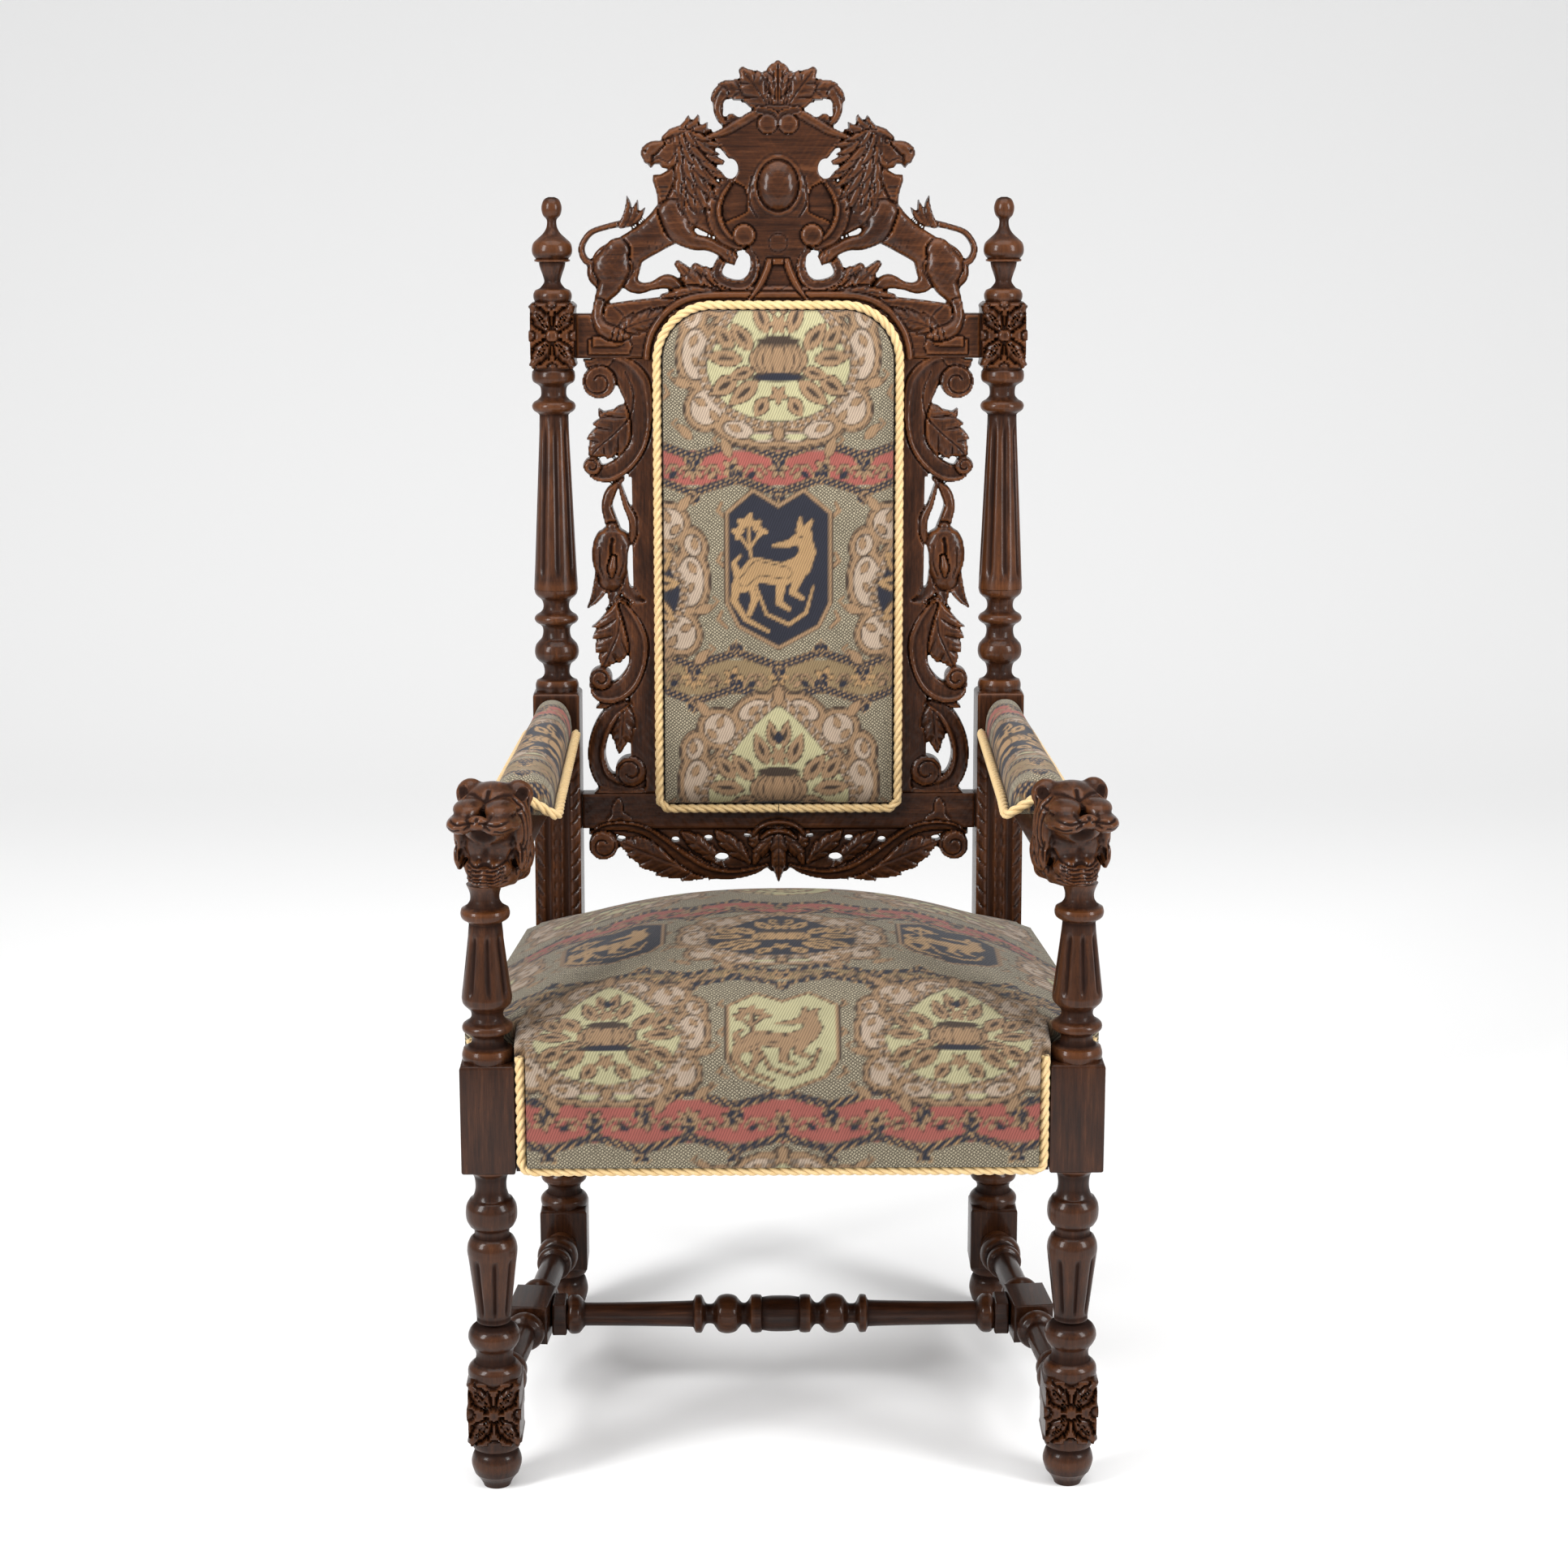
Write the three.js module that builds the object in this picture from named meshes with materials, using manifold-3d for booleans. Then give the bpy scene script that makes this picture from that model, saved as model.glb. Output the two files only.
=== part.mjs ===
// Carved oak throne armchair: turned and fluted posts, a pierced crest with two lions, and upholstery.
// Millimetres, +Z up. The front faces -Y and +X is at the right hand of someone who looks at the front.

import * as THREE from 'three';
import { mergeVertices } from 'three/addons/utils/BufferGeometryUtils.js';
import Module from 'manifold-3d';

const wasm = await Module();
wasm.setup();

// Plan of the frame, between the axes of the posts
const FRONT_HALF_WIDTH = 309;
const BACK_HALF_WIDTH = 260;
const SEAT_DEPTH = 478;
const GAP = 0.35;

// Front post: heights from the floor and section sizes
const POST_BLOCK = 57;
const FOOT_RADIUS = 14.5;
const FOOT_BLOCK_BOTTOM = 53;
const FOOT_BLOCK_TOP = 128;
const LEG_BULB_RADIUS = 27;
const LEG_FLUTES_BOTTOM = 196;
const LEG_FLUTES_TOP = 266;
const SEAT_BLOCK_BOTTOM = 362;
const SEAT_BLOCK_TOP = 482;
const SUPPORT_FLUTES_BOTTOM = 552;
const SUPPORT_FLUTES_TOP = 617;
const FRONT_POST_TOP = 672;
const FLUTE_COUNT = 8;
const FLUTE_DEPTH = 3.5;

// Back post: it bends backwards at the seat, and the heights above the bend are measured along it
const LEAN = THREE.MathUtils.degToRad(3.5);
const BEND_HEIGHT = 431;
const BACK_FOOT_BLOCK_BOTTOM = 65;
const BACK_FOOT_BLOCK_TOP = 143;
const BACK_LEG_RING = 190;
const BACK_BLOCK = 56;
const BACK_BLOCK_TOP = 344;
const SHAFT_BOTTOM = 467;
const SHAFT_TOP = 666;
const ROSETTE_BLOCK = 52;
const ROSETTE_BLOCK_BOTTOM = 719;
const ROSETTE_BLOCK_TOP = 796;
const FINIAL_HEIGHT = 119;
const PANEL_FLUTE_WIDTH = 15;
const PANEL_FLUTE_DEPTH = 4;
const PANEL_FLUTE_BOTTOM = 62;
const PANEL_FLUTE_TOP = 280;

// Carved boards of the back
const LOWER_RAIL_BOTTOM = 180;
const LOWER_RAIL_HEIGHT = 42;
const LOWER_RAIL_THICKNESS = 28;
const SIDE_BOARD_HEIGHT = 509;
const STILE_WIDTH = 32;
const STILE_INNER = 142;
const SIDE_BOARD_THICKNESS = 26;
const CREST_RAIL_THICKNESS = 30;
const CREST_RAIL_HEIGHT = 51;
const SHIELD_THICKNESS = 22;

// Upholstery
const BACK_PAD_HALF_WIDTH = 134;
const BACK_PAD_BOTTOM = 211.5;
const BACK_PAD_HEIGHT = 575;
const BACK_PAD_CORNER = 58;
const BACK_PAD_THICKNESS = 26;
const COVER_THICKNESS = 4;
const ROPE_RADIUS = 5.6;
const SEAT_RAIL_THICKNESS = 26;
const SEAT_RAIL_TOP = 462;
const SEAT_CROWN_HEIGHT = 582;
const SEAT_EDGE_HEIGHT = 500;
const SEAT_SKIRT = 14;
const SEAT_BASE_THICKNESS = 5;
const ARM_PAD_FRONT = 56;
const ARM_PAD_TO_POST = 1.65;
const ARM_PAD_TOP = 762;
const ARM_PAD_THICKNESS = 34;
const ARM_PAD_INNER = 230;
const ARM_PAD_FRONT_WIDTH = 88;
const ARM_PAD_BACK_WIDTH = 68;

// Arms
const ARM_RAIL_HEIGHT = 46;
const ARM_RAIL_WIDTH = 44;
const ARM_BACK_OFFSET = 4;
const LION_HEAD_HEIGHT = 112;

// Stretchers
const STRETCHER_HEIGHT = 97;
const STRETCHER_BLOCK = 45;
const STRETCHER_BLOCK_LENGTH = 70;

// How round the solids are
const TURNED_SIDES = 7;
const LIMB_SIDES = 4;
const ROPE_SIDES = 5;

const { BoxGeometry, CylinderGeometry, ExtrudeGeometry, LatheGeometry, SphereGeometry } = THREE;

const OAK = { color: 0x3f2415, roughness: 0.42, metalness: 0 };
const TAPESTRY = { color: 0xa48d6d, roughness: 0.95, metalness: 0 };
const ROPE = { color: 0xe6c98a, roughness: 0.7, metalness: 0 };
const LINING = { color: 0x2b2622, roughness: 0.95, metalness: 0 };

// Turns a three.js geometry into a closed solid: shared corners merged, flat slivers dropped, faces outwards
function solidOf(geometry) {
  const bare = geometry.clone();
  bare.deleteAttribute('normal');
  bare.deleteAttribute('uv');
  const merged = mergeVertices(bare, 1e-3);
  const places = merged.attributes.position.array;
  const corners = merged.index.array;
  const kept = [];
  let volume = 0;
  for (let i = 0; i < corners.length; i += 3) {
    const [a, b, c] = [corners[i], corners[i + 1], corners[i + 2]];
    if (a === b || b === c || c === a) continue;
    kept.push(a, b, c);
    const [p, q, r] = [a, b, c].map((n) => new THREE.Vector3().fromArray(places, 3 * n));
    volume += p.dot(q.cross(r));
  }
  if (volume < 0) kept.reverse();
  const mesh = new wasm.Mesh({
    numProp: 3,
    vertProperties: new Float32Array(places),
    triVerts: new Uint32Array(kept),
  });
  return new wasm.Manifold(mesh);
}

function join(solids) {
  return solids.reduce((whole, next) => whole.add(next));
}

function geometryOf(solid) {
  const mesh = solid.getMesh();
  const geometry = new THREE.BufferGeometry();
  geometry.setAttribute('position', new THREE.BufferAttribute(mesh.vertProperties.slice(), 3));
  geometry.setIndex(new THREE.BufferAttribute(mesh.triVerts.slice(), 1));
  geometry.computeVertexNormals();
  return geometry;
}

const throne = new THREE.Group();
const leaningBack = new THREE.Group();
leaningBack.position.set(0, SEAT_DEPTH, BEND_HEIGHT);
leaningBack.rotation.x = -LEAN;
leaningBack.updateMatrix();
throne.add(leaningBack);

function addPiece(name, solid, finish, parent = throne) {
  const mesh = new THREE.Mesh(geometryOf(solid), new THREE.MeshStandardMaterial(finish));
  mesh.name = name;
  parent.add(mesh);
  return mesh;
}

// Moves a geometry from the leaning back's own frame to the room's
function leaned(geometry) {
  return geometry.applyMatrix4(leaningBack.matrix);
}

// A turning about +Z from pairs of radius and height, closed on the axis at both ends
function turned(pairs, sides = TURNED_SIDES) {
  const outline = pairs.map(([radius, height]) => new THREE.Vector2(radius, height));
  outline.unshift(new THREE.Vector2(0, pairs[0][1]));
  outline.push(new THREE.Vector2(0, pairs.at(-1)[1]));
  return new LatheGeometry(outline, sides).rotateX(Math.PI / 2).rotateZ(Math.PI / sides);
}

// A square length of a post with its four shoulders cut back at both ends
function squareBlock(width, bottom, top, shoulder = 4) {
  const corner = width / Math.SQRT2;
  const cutBack = corner - shoulder * Math.SQRT2;
  const pairs = [
    [cutBack, bottom],
    [corner, bottom + shoulder],
    [corner, top - shoulder],
    [cutBack, top],
  ];
  const outline = pairs.map(([radius, height]) => new THREE.Vector2(radius, height));
  outline.unshift(new THREE.Vector2(0, bottom));
  outline.push(new THREE.Vector2(0, top));
  return new LatheGeometry(outline, 4).rotateX(Math.PI / 2).rotateZ(Math.PI / 4);
}

// A tapered length with hollow flutes round it
function fluted(radiusBottom, radiusTop, bottom, top) {
  const outline = new THREE.Shape();
  const stepAngle = (2 * Math.PI) / FLUTE_COUNT;
  for (let i = 0; i < FLUTE_COUNT; i++) {
    const places = [
      [1, 0],
      [1 - FLUTE_DEPTH / radiusBottom, 0.5],
    ];
    for (const [share, turn] of places) {
      const angle = (i + turn) * stepAngle;
      const point = [share * Math.cos(angle), share * Math.sin(angle)];
      if (i === 0 && turn === 0) outline.moveTo(...point);
      else outline.lineTo(...point);
    }
  }
  const geometry = new ExtrudeGeometry(outline, { depth: top - bottom, bevelEnabled: false, steps: 1 });
  const places = geometry.attributes.position;
  for (let i = 0; i < places.count; i++) {
    const share = places.getZ(i) / (top - bottom);
    const radius = THREE.MathUtils.lerp(radiusBottom, radiusTop, share);
    places.setXYZ(i, places.getX(i) * radius, places.getY(i) * radius, places.getZ(i) + bottom);
  }
  return geometry;
}

// Four leaves in a cross with a button in the middle, carved on a block's front face
function rosette(width, bottom, top, axisY) {
  const face = axisY - width / 2;
  const middle = (bottom + top) / 2;
  const leafLength = 0.38 * Math.hypot(width, top - bottom);
  const leaves = [45, 135, 225, 315].map((degrees) => {
    const leaf = new CylinderGeometry(0, width * 0.13, leafLength, 4).scale(1, 1, 0.5);
    leaf.translate(0, leafLength * 0.55, 0);
    leaf.rotateZ(THREE.MathUtils.degToRad(degrees));
    return leaf.rotateX(Math.PI / 2).translate(0, face, middle);
  });
  const button = new CylinderGeometry(width * 0.13, width * 0.1, width * 0.2, 6).translate(0, face, middle);
  return [...leaves, button].map((geometry) => solidOf(geometry));
}

function footAndBulb(blockBottom) {
  return [
    [FOOT_RADIUS, 0],
    [LEG_BULB_RADIUS - 3, 0.3 * blockBottom],
    [LEG_BULB_RADIUS, 0.5 * blockBottom],
    [LEG_BULB_RADIUS - 3, 0.75 * blockBottom],
    [LEG_BULB_RADIUS - 1, blockBottom + 5],
  ];
}

// Inside a fluted length the turning is only a core
function fluteCore(bottom, top) {
  return [
    [11, bottom + 1],
    [11, top - 1],
  ];
}

// The leg between its foot block and the seat block: ring, fluted vase and bulb
function legProfile(blockTop) {
  return [
    [27, blockTop - 5],
    [28.5, blockTop + 9],
    [20.5, blockTop + 22],
    [27.5, blockTop + 47],
    [19, blockTop + 58],
    [15.5, LEG_FLUTES_BOTTOM],
    ...fluteCore(LEG_FLUTES_BOTTOM, LEG_FLUTES_TOP),
    [22, LEG_FLUTES_TOP],
    [26.2, LEG_FLUTES_TOP + 9],
    [18.6, LEG_FLUTES_TOP + 21],
    [LEG_BULB_RADIUS - 1, LEG_FLUTES_TOP + 38],
    [LEG_BULB_RADIUS, LEG_FLUTES_TOP + 49],
    [16.4, SEAT_BLOCK_BOTTOM - 23],
    [24, SEAT_BLOCK_BOTTOM + 5],
  ];
}

function frontPost() {
  const support = [
    [25, SEAT_BLOCK_TOP - 4],
    [27.3, SEAT_BLOCK_TOP + 7],
    [17, SEAT_BLOCK_TOP + 18],
    [26.7, SEAT_BLOCK_TOP + 35],
    [16.6, SUPPORT_FLUTES_BOTTOM - 18],
    [25.5, SUPPORT_FLUTES_BOTTOM - 7],
    [26, SUPPORT_FLUTES_BOTTOM],
    [21, SUPPORT_FLUTES_BOTTOM],
    ...fluteCore(SUPPORT_FLUTES_BOTTOM, SUPPORT_FLUTES_TOP),
    [15.5, SUPPORT_FLUTES_TOP],
    [17.5, SUPPORT_FLUTES_TOP + 17],
    [25.5, SUPPORT_FLUTES_TOP + 24],
    [15.2, FRONT_POST_TOP - 13],
    [19, FRONT_POST_TOP],
  ];
  return join([
    solidOf(turned(footAndBulb(FOOT_BLOCK_BOTTOM))),
    solidOf(squareBlock(POST_BLOCK, FOOT_BLOCK_BOTTOM, FOOT_BLOCK_TOP)),
    ...rosette(POST_BLOCK, FOOT_BLOCK_BOTTOM, FOOT_BLOCK_TOP, 0),
    solidOf(turned(legProfile(FOOT_BLOCK_TOP))),
    solidOf(fluted(19.4, 26.6, LEG_FLUTES_BOTTOM, LEG_FLUTES_TOP)),
    solidOf(squareBlock(POST_BLOCK, SEAT_BLOCK_BOTTOM, SEAT_BLOCK_TOP)),
    solidOf(turned(support)),
    solidOf(fluted(26.4, 19.2, SUPPORT_FLUTES_BOTTOM, SUPPORT_FLUTES_TOP)),
  ]);
}

function finialProfile(bottom) {
  const shares = [
    [15, -0.02],
    [22, 0.07],
    [13, 0.14],
    [9.4, 0.2],
    [20.6, 0.39],
    [23.3, 0.5],
    [20, 0.58],
    [11, 0.64],
    [5.5, 0.76],
    [11.7, 0.89],
    [6, 0.98],
  ];
  return shares.map(([radius, share]) => [radius, bottom + share * FINIAL_HEIGHT]);
}

function backPost() {
  const upper = [
    [24, BACK_BLOCK_TOP - 4],
    [24.8, BACK_BLOCK_TOP + 9],
    [14.8, BACK_BLOCK_TOP + 18],
    [23, BACK_BLOCK_TOP + 35],
    [25.6, BACK_BLOCK_TOP + 46],
    [23, BACK_BLOCK_TOP + 57],
    [16, SHAFT_BOTTOM - 48],
    [25.3, SHAFT_BOTTOM - 38.4],
    [15, SHAFT_BOTTOM - 18],
    [24, SHAFT_BOTTOM - 8],
    [20.5, SHAFT_BOTTOM],
    ...fluteCore(SHAFT_BOTTOM, SHAFT_TOP),
    [13.5, SHAFT_TOP],
    [16.8, SHAFT_TOP + 3],
    [25.2, SHAFT_TOP + 10],
    [15, SHAFT_TOP + 19],
    [24.9, ROSETTE_BLOCK_BOTTOM - 10.5],
    [24, ROSETTE_BLOCK_BOTTOM + 4],
  ];
  const flutes = [-1, 1].map((side) => {
    const length = PANEL_FLUTE_TOP - PANEL_FLUTE_BOTTOM;
    const cutter = new CylinderGeometry(PANEL_FLUTE_WIDTH / 2, PANEL_FLUTE_WIDTH / 2, length, 6);
    cutter.scale(1, 1, PANEL_FLUTE_DEPTH / (PANEL_FLUTE_WIDTH / 2)).rotateX(Math.PI / 2);
    cutter.translate(side * BACK_BLOCK * 0.2, -BACK_BLOCK / 2, (PANEL_FLUTE_TOP + PANEL_FLUTE_BOTTOM) / 2);
    return solidOf(cutter);
  });
  const panelBlock = solidOf(squareBlock(BACK_BLOCK, 0, BACK_BLOCK_TOP)).subtract(join(flutes));
  const top = join([
    panelBlock,
    solidOf(turned(upper)),
    solidOf(fluted(25.2, 17.4, SHAFT_BOTTOM, SHAFT_TOP)),
    solidOf(squareBlock(ROSETTE_BLOCK, ROSETTE_BLOCK_BOTTOM, ROSETTE_BLOCK_TOP)),
    ...rosette(ROSETTE_BLOCK, ROSETTE_BLOCK_BOTTOM, ROSETTE_BLOCK_TOP, 0),
    solidOf(turned(finialProfile(ROSETTE_BLOCK_TOP))),
  ]);
  const leaningTop = solidOf(leaned(geometryOf(top)));
  const leg = [
    solidOf(turned(footAndBulb(BACK_FOOT_BLOCK_BOTTOM))),
    solidOf(squareBlock(BACK_BLOCK, BACK_FOOT_BLOCK_BOTTOM, BACK_FOOT_BLOCK_TOP)),
    solidOf(turned(legProfile(BACK_FOOT_BLOCK_TOP).filter(([, z], i) => i < 3 || z > BACK_LEG_RING))),
    solidOf(fluted(19.4, 26.6, LEG_FLUTES_BOTTOM, LEG_FLUTES_TOP)),
    solidOf(squareBlock(BACK_BLOCK, SEAT_BLOCK_BOTTOM, SEAT_BLOCK_TOP - 10)),
  ].map((solid) => solid.translate([0, SEAT_DEPTH, 0]));
  return join([...leg, leaningTop]);
}

const sides = [
  ['left', -1],
  ['right', 1],
];

const frontPostSolid = frontPost();
const backPostSolid = backPost();
for (const [word, side] of sides) {
  addPiece(`front_post_${word}`, frontPostSolid, OAK).position.x = side * FRONT_HALF_WIDTH;
  addPiece(`back_post_${word}`, backPostSolid, OAK).position.x = side * BACK_HALF_WIDTH;
}

// Carving. A board is drawn across (x), up (y) and forward (z), and stood up at the end.

function plank(outline, thickness, forward = 0, bevel = 2) {
  const shape = new THREE.Shape(outline.map((p) => (p.isVector2 ? p : new THREE.Vector2(...p))));
  const geometry = new ExtrudeGeometry(shape, {
    depth: thickness - 2 * bevel,
    bevelEnabled: bevel > 0,
    bevelThickness: bevel,
    bevelSize: bevel,
    bevelOffset: -bevel,
    bevelSegments: 1,
    curveSegments: 4,
  });
  return solidOf(geometry.translate(0, 0, forward + bevel - thickness / 2));
}

// A rounded limb along a curve. Each knot is across, up, half width, half depth and how far forward it lies.
function limb(knots, steps = 5, sideCount = LIMB_SIDES) {
  const path = new THREE.CatmullRomCurve3(knots.map(([x, y, , , z = 0]) => new THREE.Vector3(x, y, z)));
  const sizes = new THREE.CatmullRomCurve3(knots.map(([, , w, d]) => new THREE.Vector3(w, d, 0)));
  const geometry = new CylinderGeometry(1, 1, 1, sideCount, steps).rotateY(Math.PI / sideCount);
  const places = geometry.attributes.position;
  for (let i = 0; i < places.count; i++) {
    const along = places.getY(i) + 0.5;
    const place = path.getPoint(along);
    const tangent = path.getTangent(along);
    const size = sizes.getPoint(along);
    const sideways = new THREE.Vector3(tangent.y, -tangent.x, 0).normalize();
    place.addScaledVector(sideways, places.getX(i) * size.x);
    place.z += places.getZ(i) * size.y;
    places.setXYZ(i, place.x, place.y, place.z);
  }
  return solidOf(geometry);
}

// A disc with a raised round edge, such as the eye of a scroll
function disc(x, y, radius, forward, depth, sideCount = 7) {
  const geometry = new CylinderGeometry(radius * 0.78, radius, depth, sideCount).rotateX(Math.PI / 2);
  return solidOf(geometry.translate(x, y, forward));
}

// A leaf with notched edges from its base to its tip
function leaf(base, tip, halfWidth, lobes, thickness, forward) {
  const start = new THREE.Vector2(...base);
  const along = new THREE.Vector2(...tip).sub(start);
  const across = new THREE.Vector2(-along.y, along.x).normalize();
  const outline = [];
  for (const edge of [1, -1]) {
    const half = [];
    for (let i = 0; i <= 2 * lobes; i++) {
      const share = (i + 0.5) / (2 * lobes + 1);
      const swell = Math.sin(Math.PI * Math.min(1, 0.12 + 0.88 * share)) ** 0.6;
      const notch = i % 2 ? 0.72 : 1;
      const place = start.clone().addScaledVector(along, share + (i % 2 ? -0.04 : 0.04));
      half.push(place.addScaledVector(across, edge * halfWidth * swell * notch));
    }
    if (edge < 0) half.reverse();
    else half.push(new THREE.Vector2(...tip));
    outline.push(...half);
  }
  return plank(outline, thickness, forward, 0);
}

function mirrored(solids) {
  return solids.flatMap((solid) => [solid, solid.mirror([1, 0, 0])]);
}

// Stands a board's solid up: across stays, up becomes +Z, forward becomes -Y
function stoodUp(solid, height) {
  return solidOf(geometryOf(solid).rotateX(Math.PI / 2).translate(0, 0, height));
}

// One lion of the crest, on the side where across is negative, rearing against the shield
function crestLion() {
  return [
    // body from the chest to the rump
    limb([[-112, 172, 20, 9, 2], [-118, 156, 26, 12, 3], [-142, 138, 21, 11, 3], [-168, 122, 19, 10, 3],
      [-192, 108, 25, 12, 3], [-205, 96, 17, 8, 3]], 5),
    // neck and mane
    limb([[-108, 165, 24, 10, 2], [-98, 190, 30, 12, 3], [-100, 215, 34, 13, 3], [-104, 238, 27, 12, 3],
      [-102, 253, 14, 7, 3]], 4),
    limb([[-80, 245, 6, 5, 0], [-68, 226, 11, 7, 2], [-60, 206, 8, 6, 2], [-52, 198, 2, 3, 2]], 3),
    // skull, muzzle, jaw and the tufts of the ear
    limb([[-98, 262, 4, 4, 4], [-112, 250, 14, 10, 4], [-126, 243, 15, 11, 5], [-136, 240, 11, 10, 5]], 3),
    limb([[-128, 240, 11, 9, 5], [-143, 235, 10, 9, 5], [-153, 230, 8, 7, 5], [-154, 222, 3, 3, 5]], 3),
    limb([[-124, 218, 8, 6, 4], [-139, 206, 5, 6, 4], [-138, 192, 5, 5, 3], [-128, 168, 4, 4, 2]], 3),
    limb([[-104, 250, 9, 7, 3], [-92, 261, 6, 5, 3], [-86, 268, 1, 2, 3]], 2),
    // fore leg that rests on the scroll, and the one behind it
    limb([[-116, 150, 17, 9, 6], [-108, 134, 11, 8, 7], [-92, 131, 8, 7, 8], [-74, 127, 7, 6, 8],
      [-58, 118, 8, 7, 8], [-48, 114, 5, 5, 8]], 4),
    limb([[-96, 178, 16, 8, 0], [-88, 160, 11, 7, 0], [-80, 146, 5, 5, 0]], 2),
    // near hind leg down to the foot on the rail
    limb([[-188, 118, 14, 8, 4], [-194, 98, 22, 11, 5], [-198, 78, 13, 9, 6], [-208, 64, 6.5, 7, 7],
      [-207, 48, 7, 7, 8], [-201, 34, 8, 7, 9], [-186, 27, 8, 6, 9], [-178, 25, 4, 4, 9]], 5),
    // far hind leg, its foot forward on the rail
    limb([[-170, 112, 13, 7, -2], [-170, 84, 9, 6, -2], [-150, 81, 5, 5, -1], [-126, 84, 8, 6, 0],
      [-114, 81, 5, 5, 0]], 4),
    // tail, curled up over the back, and its tuft
    limb([[-212, 104, 4, 4, 2], [-224, 112, 3.5, 4, 2], [-225, 128, 3, 3.5, 2], [-213, 144, 3, 3.5, 2],
      [-194, 150, 3, 3.5, 2], [-176, 153, 4, 4, 2]], 5),
    limb([[-182, 150, 3, 3, 2], [-168, 158, 8, 6, 2], [-158, 168, 6, 5, 2], [-150, 178, 1, 2, 2]], 3),
  ];
}

function crestRail() {
  const railEnd = BACK_HALF_WIDTH - ROSETTE_BLOCK / 2 - GAP;
  const railHalf = [
    [railEnd, 0], [railEnd, CREST_RAIL_HEIGHT], [216, CREST_RAIL_HEIGHT], [196, 64], [140, 69], [112, 74],
    [86, 80], [60, 80],
  ];
  const rail = [...railHalf.map(([x, y]) => [-x, y]), ...railHalf.toReversed()];
  const shieldHalf = [
    [24, 281], [45, 268], [62, 256], [76, 250], [64, 233], [46, 219], [52, 203], [64, 190], [72, 172],
    [69, 152], [56, 134], [30, 124], [28, 107], [34, 92], [52, 84], [60, 60],
  ];
  const shield = [...shieldHalf.map(([x, y]) => [-x, y]), ...shieldHalf.toReversed()];
  const oneSide = [
    ...crestLion(),
    // moulding along the top of the shield, and the twin scrolls under the palmette
    limb([[-14, 282, 4, 7, 8], [-44, 268, 4, 7, 8], [-60, 257, 4, 7, 8], [-80, 249, 3, 6, 7]], 3),
    disc(-12, 263, 11, 9, 12),
    // scroll at the shield's side and its volute
    limb([[-58, 200, 4, 6, 8], [-68, 186, 6, 8, 8], [-73, 168, 6, 8, 8], [-68, 148, 6, 8, 8],
      [-57, 134, 6, 8, 8], [-42, 129, 5, 7, 8]], 4),
    disc(-39, 140, 12.6, 9, 16),
    // hooked scroll under the fore paw
    limb([[-52, 122, 5, 6, 5], [-66, 108, 5, 6, 5], [-69, 95, 5, 6, 5], [-58, 86, 5, 6, 5],
      [-42, 84, 6, 6, 5], [-30, 96, 4, 6, 5]], 4),
    // leg of the strap that opens downwards
    limb([[-11, 111, 3, 4, 12], [-18, 88, 3, 4, 13], [-32, 68, 2, 3, 15]], 2),
    // leaf that springs from the rail
    leaf([-66, 78], [-114, 106], 12, 2, 16, 4),
    leaf([-60, 76], [-90, 102], 10, 1, 18, 3),
    leaf([-76, 72], [-126, 79], 8, 2, 20, 4),
    // palmette: two leaves, and the outer one that ends in a curl
    leaf([-6, 281], [-39, 322], 13, 1, 14, 4),
    leaf([-16, 284], [-64, 308], 12, 2, 10, 0),
    limb([[-22, 291, 5, 5, 0], [-48, 298, 7, 5, 0], [-66, 290, 6, 5, 0], [-67, 274, 4, 4, 0],
      [-58, 264, 4, 4, 0], [-50, 271, 5, 5, 0]], 4),
    // carved pads at the ends of the rail
    plank([[-216, 4], [-172, 4], [-172, 14], [-180, 22], [-214, 22]], 8, CREST_RAIL_THICKNESS / 2 + 2, 1),
  ];
  const boss = new SphereGeometry(1, 8, 4).scale(22.6, 28, 9).translate(0, 196, SHIELD_THICKNESS / 2 + 1);
  return join([
    plank(rail, CREST_RAIL_THICKNESS, 0, 0),
    plank(shield, SHIELD_THICKNESS, 0, 0),
    solidOf(boss),
    leaf([0, 272], [0, 337], 19, 2, 16, 2),
    plank([[-13, 107], [13, 107], [13, 113], [-13, 113]], 8, 12, 0.8),
    ...mirrored(oneSide),
  ]);
}

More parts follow.
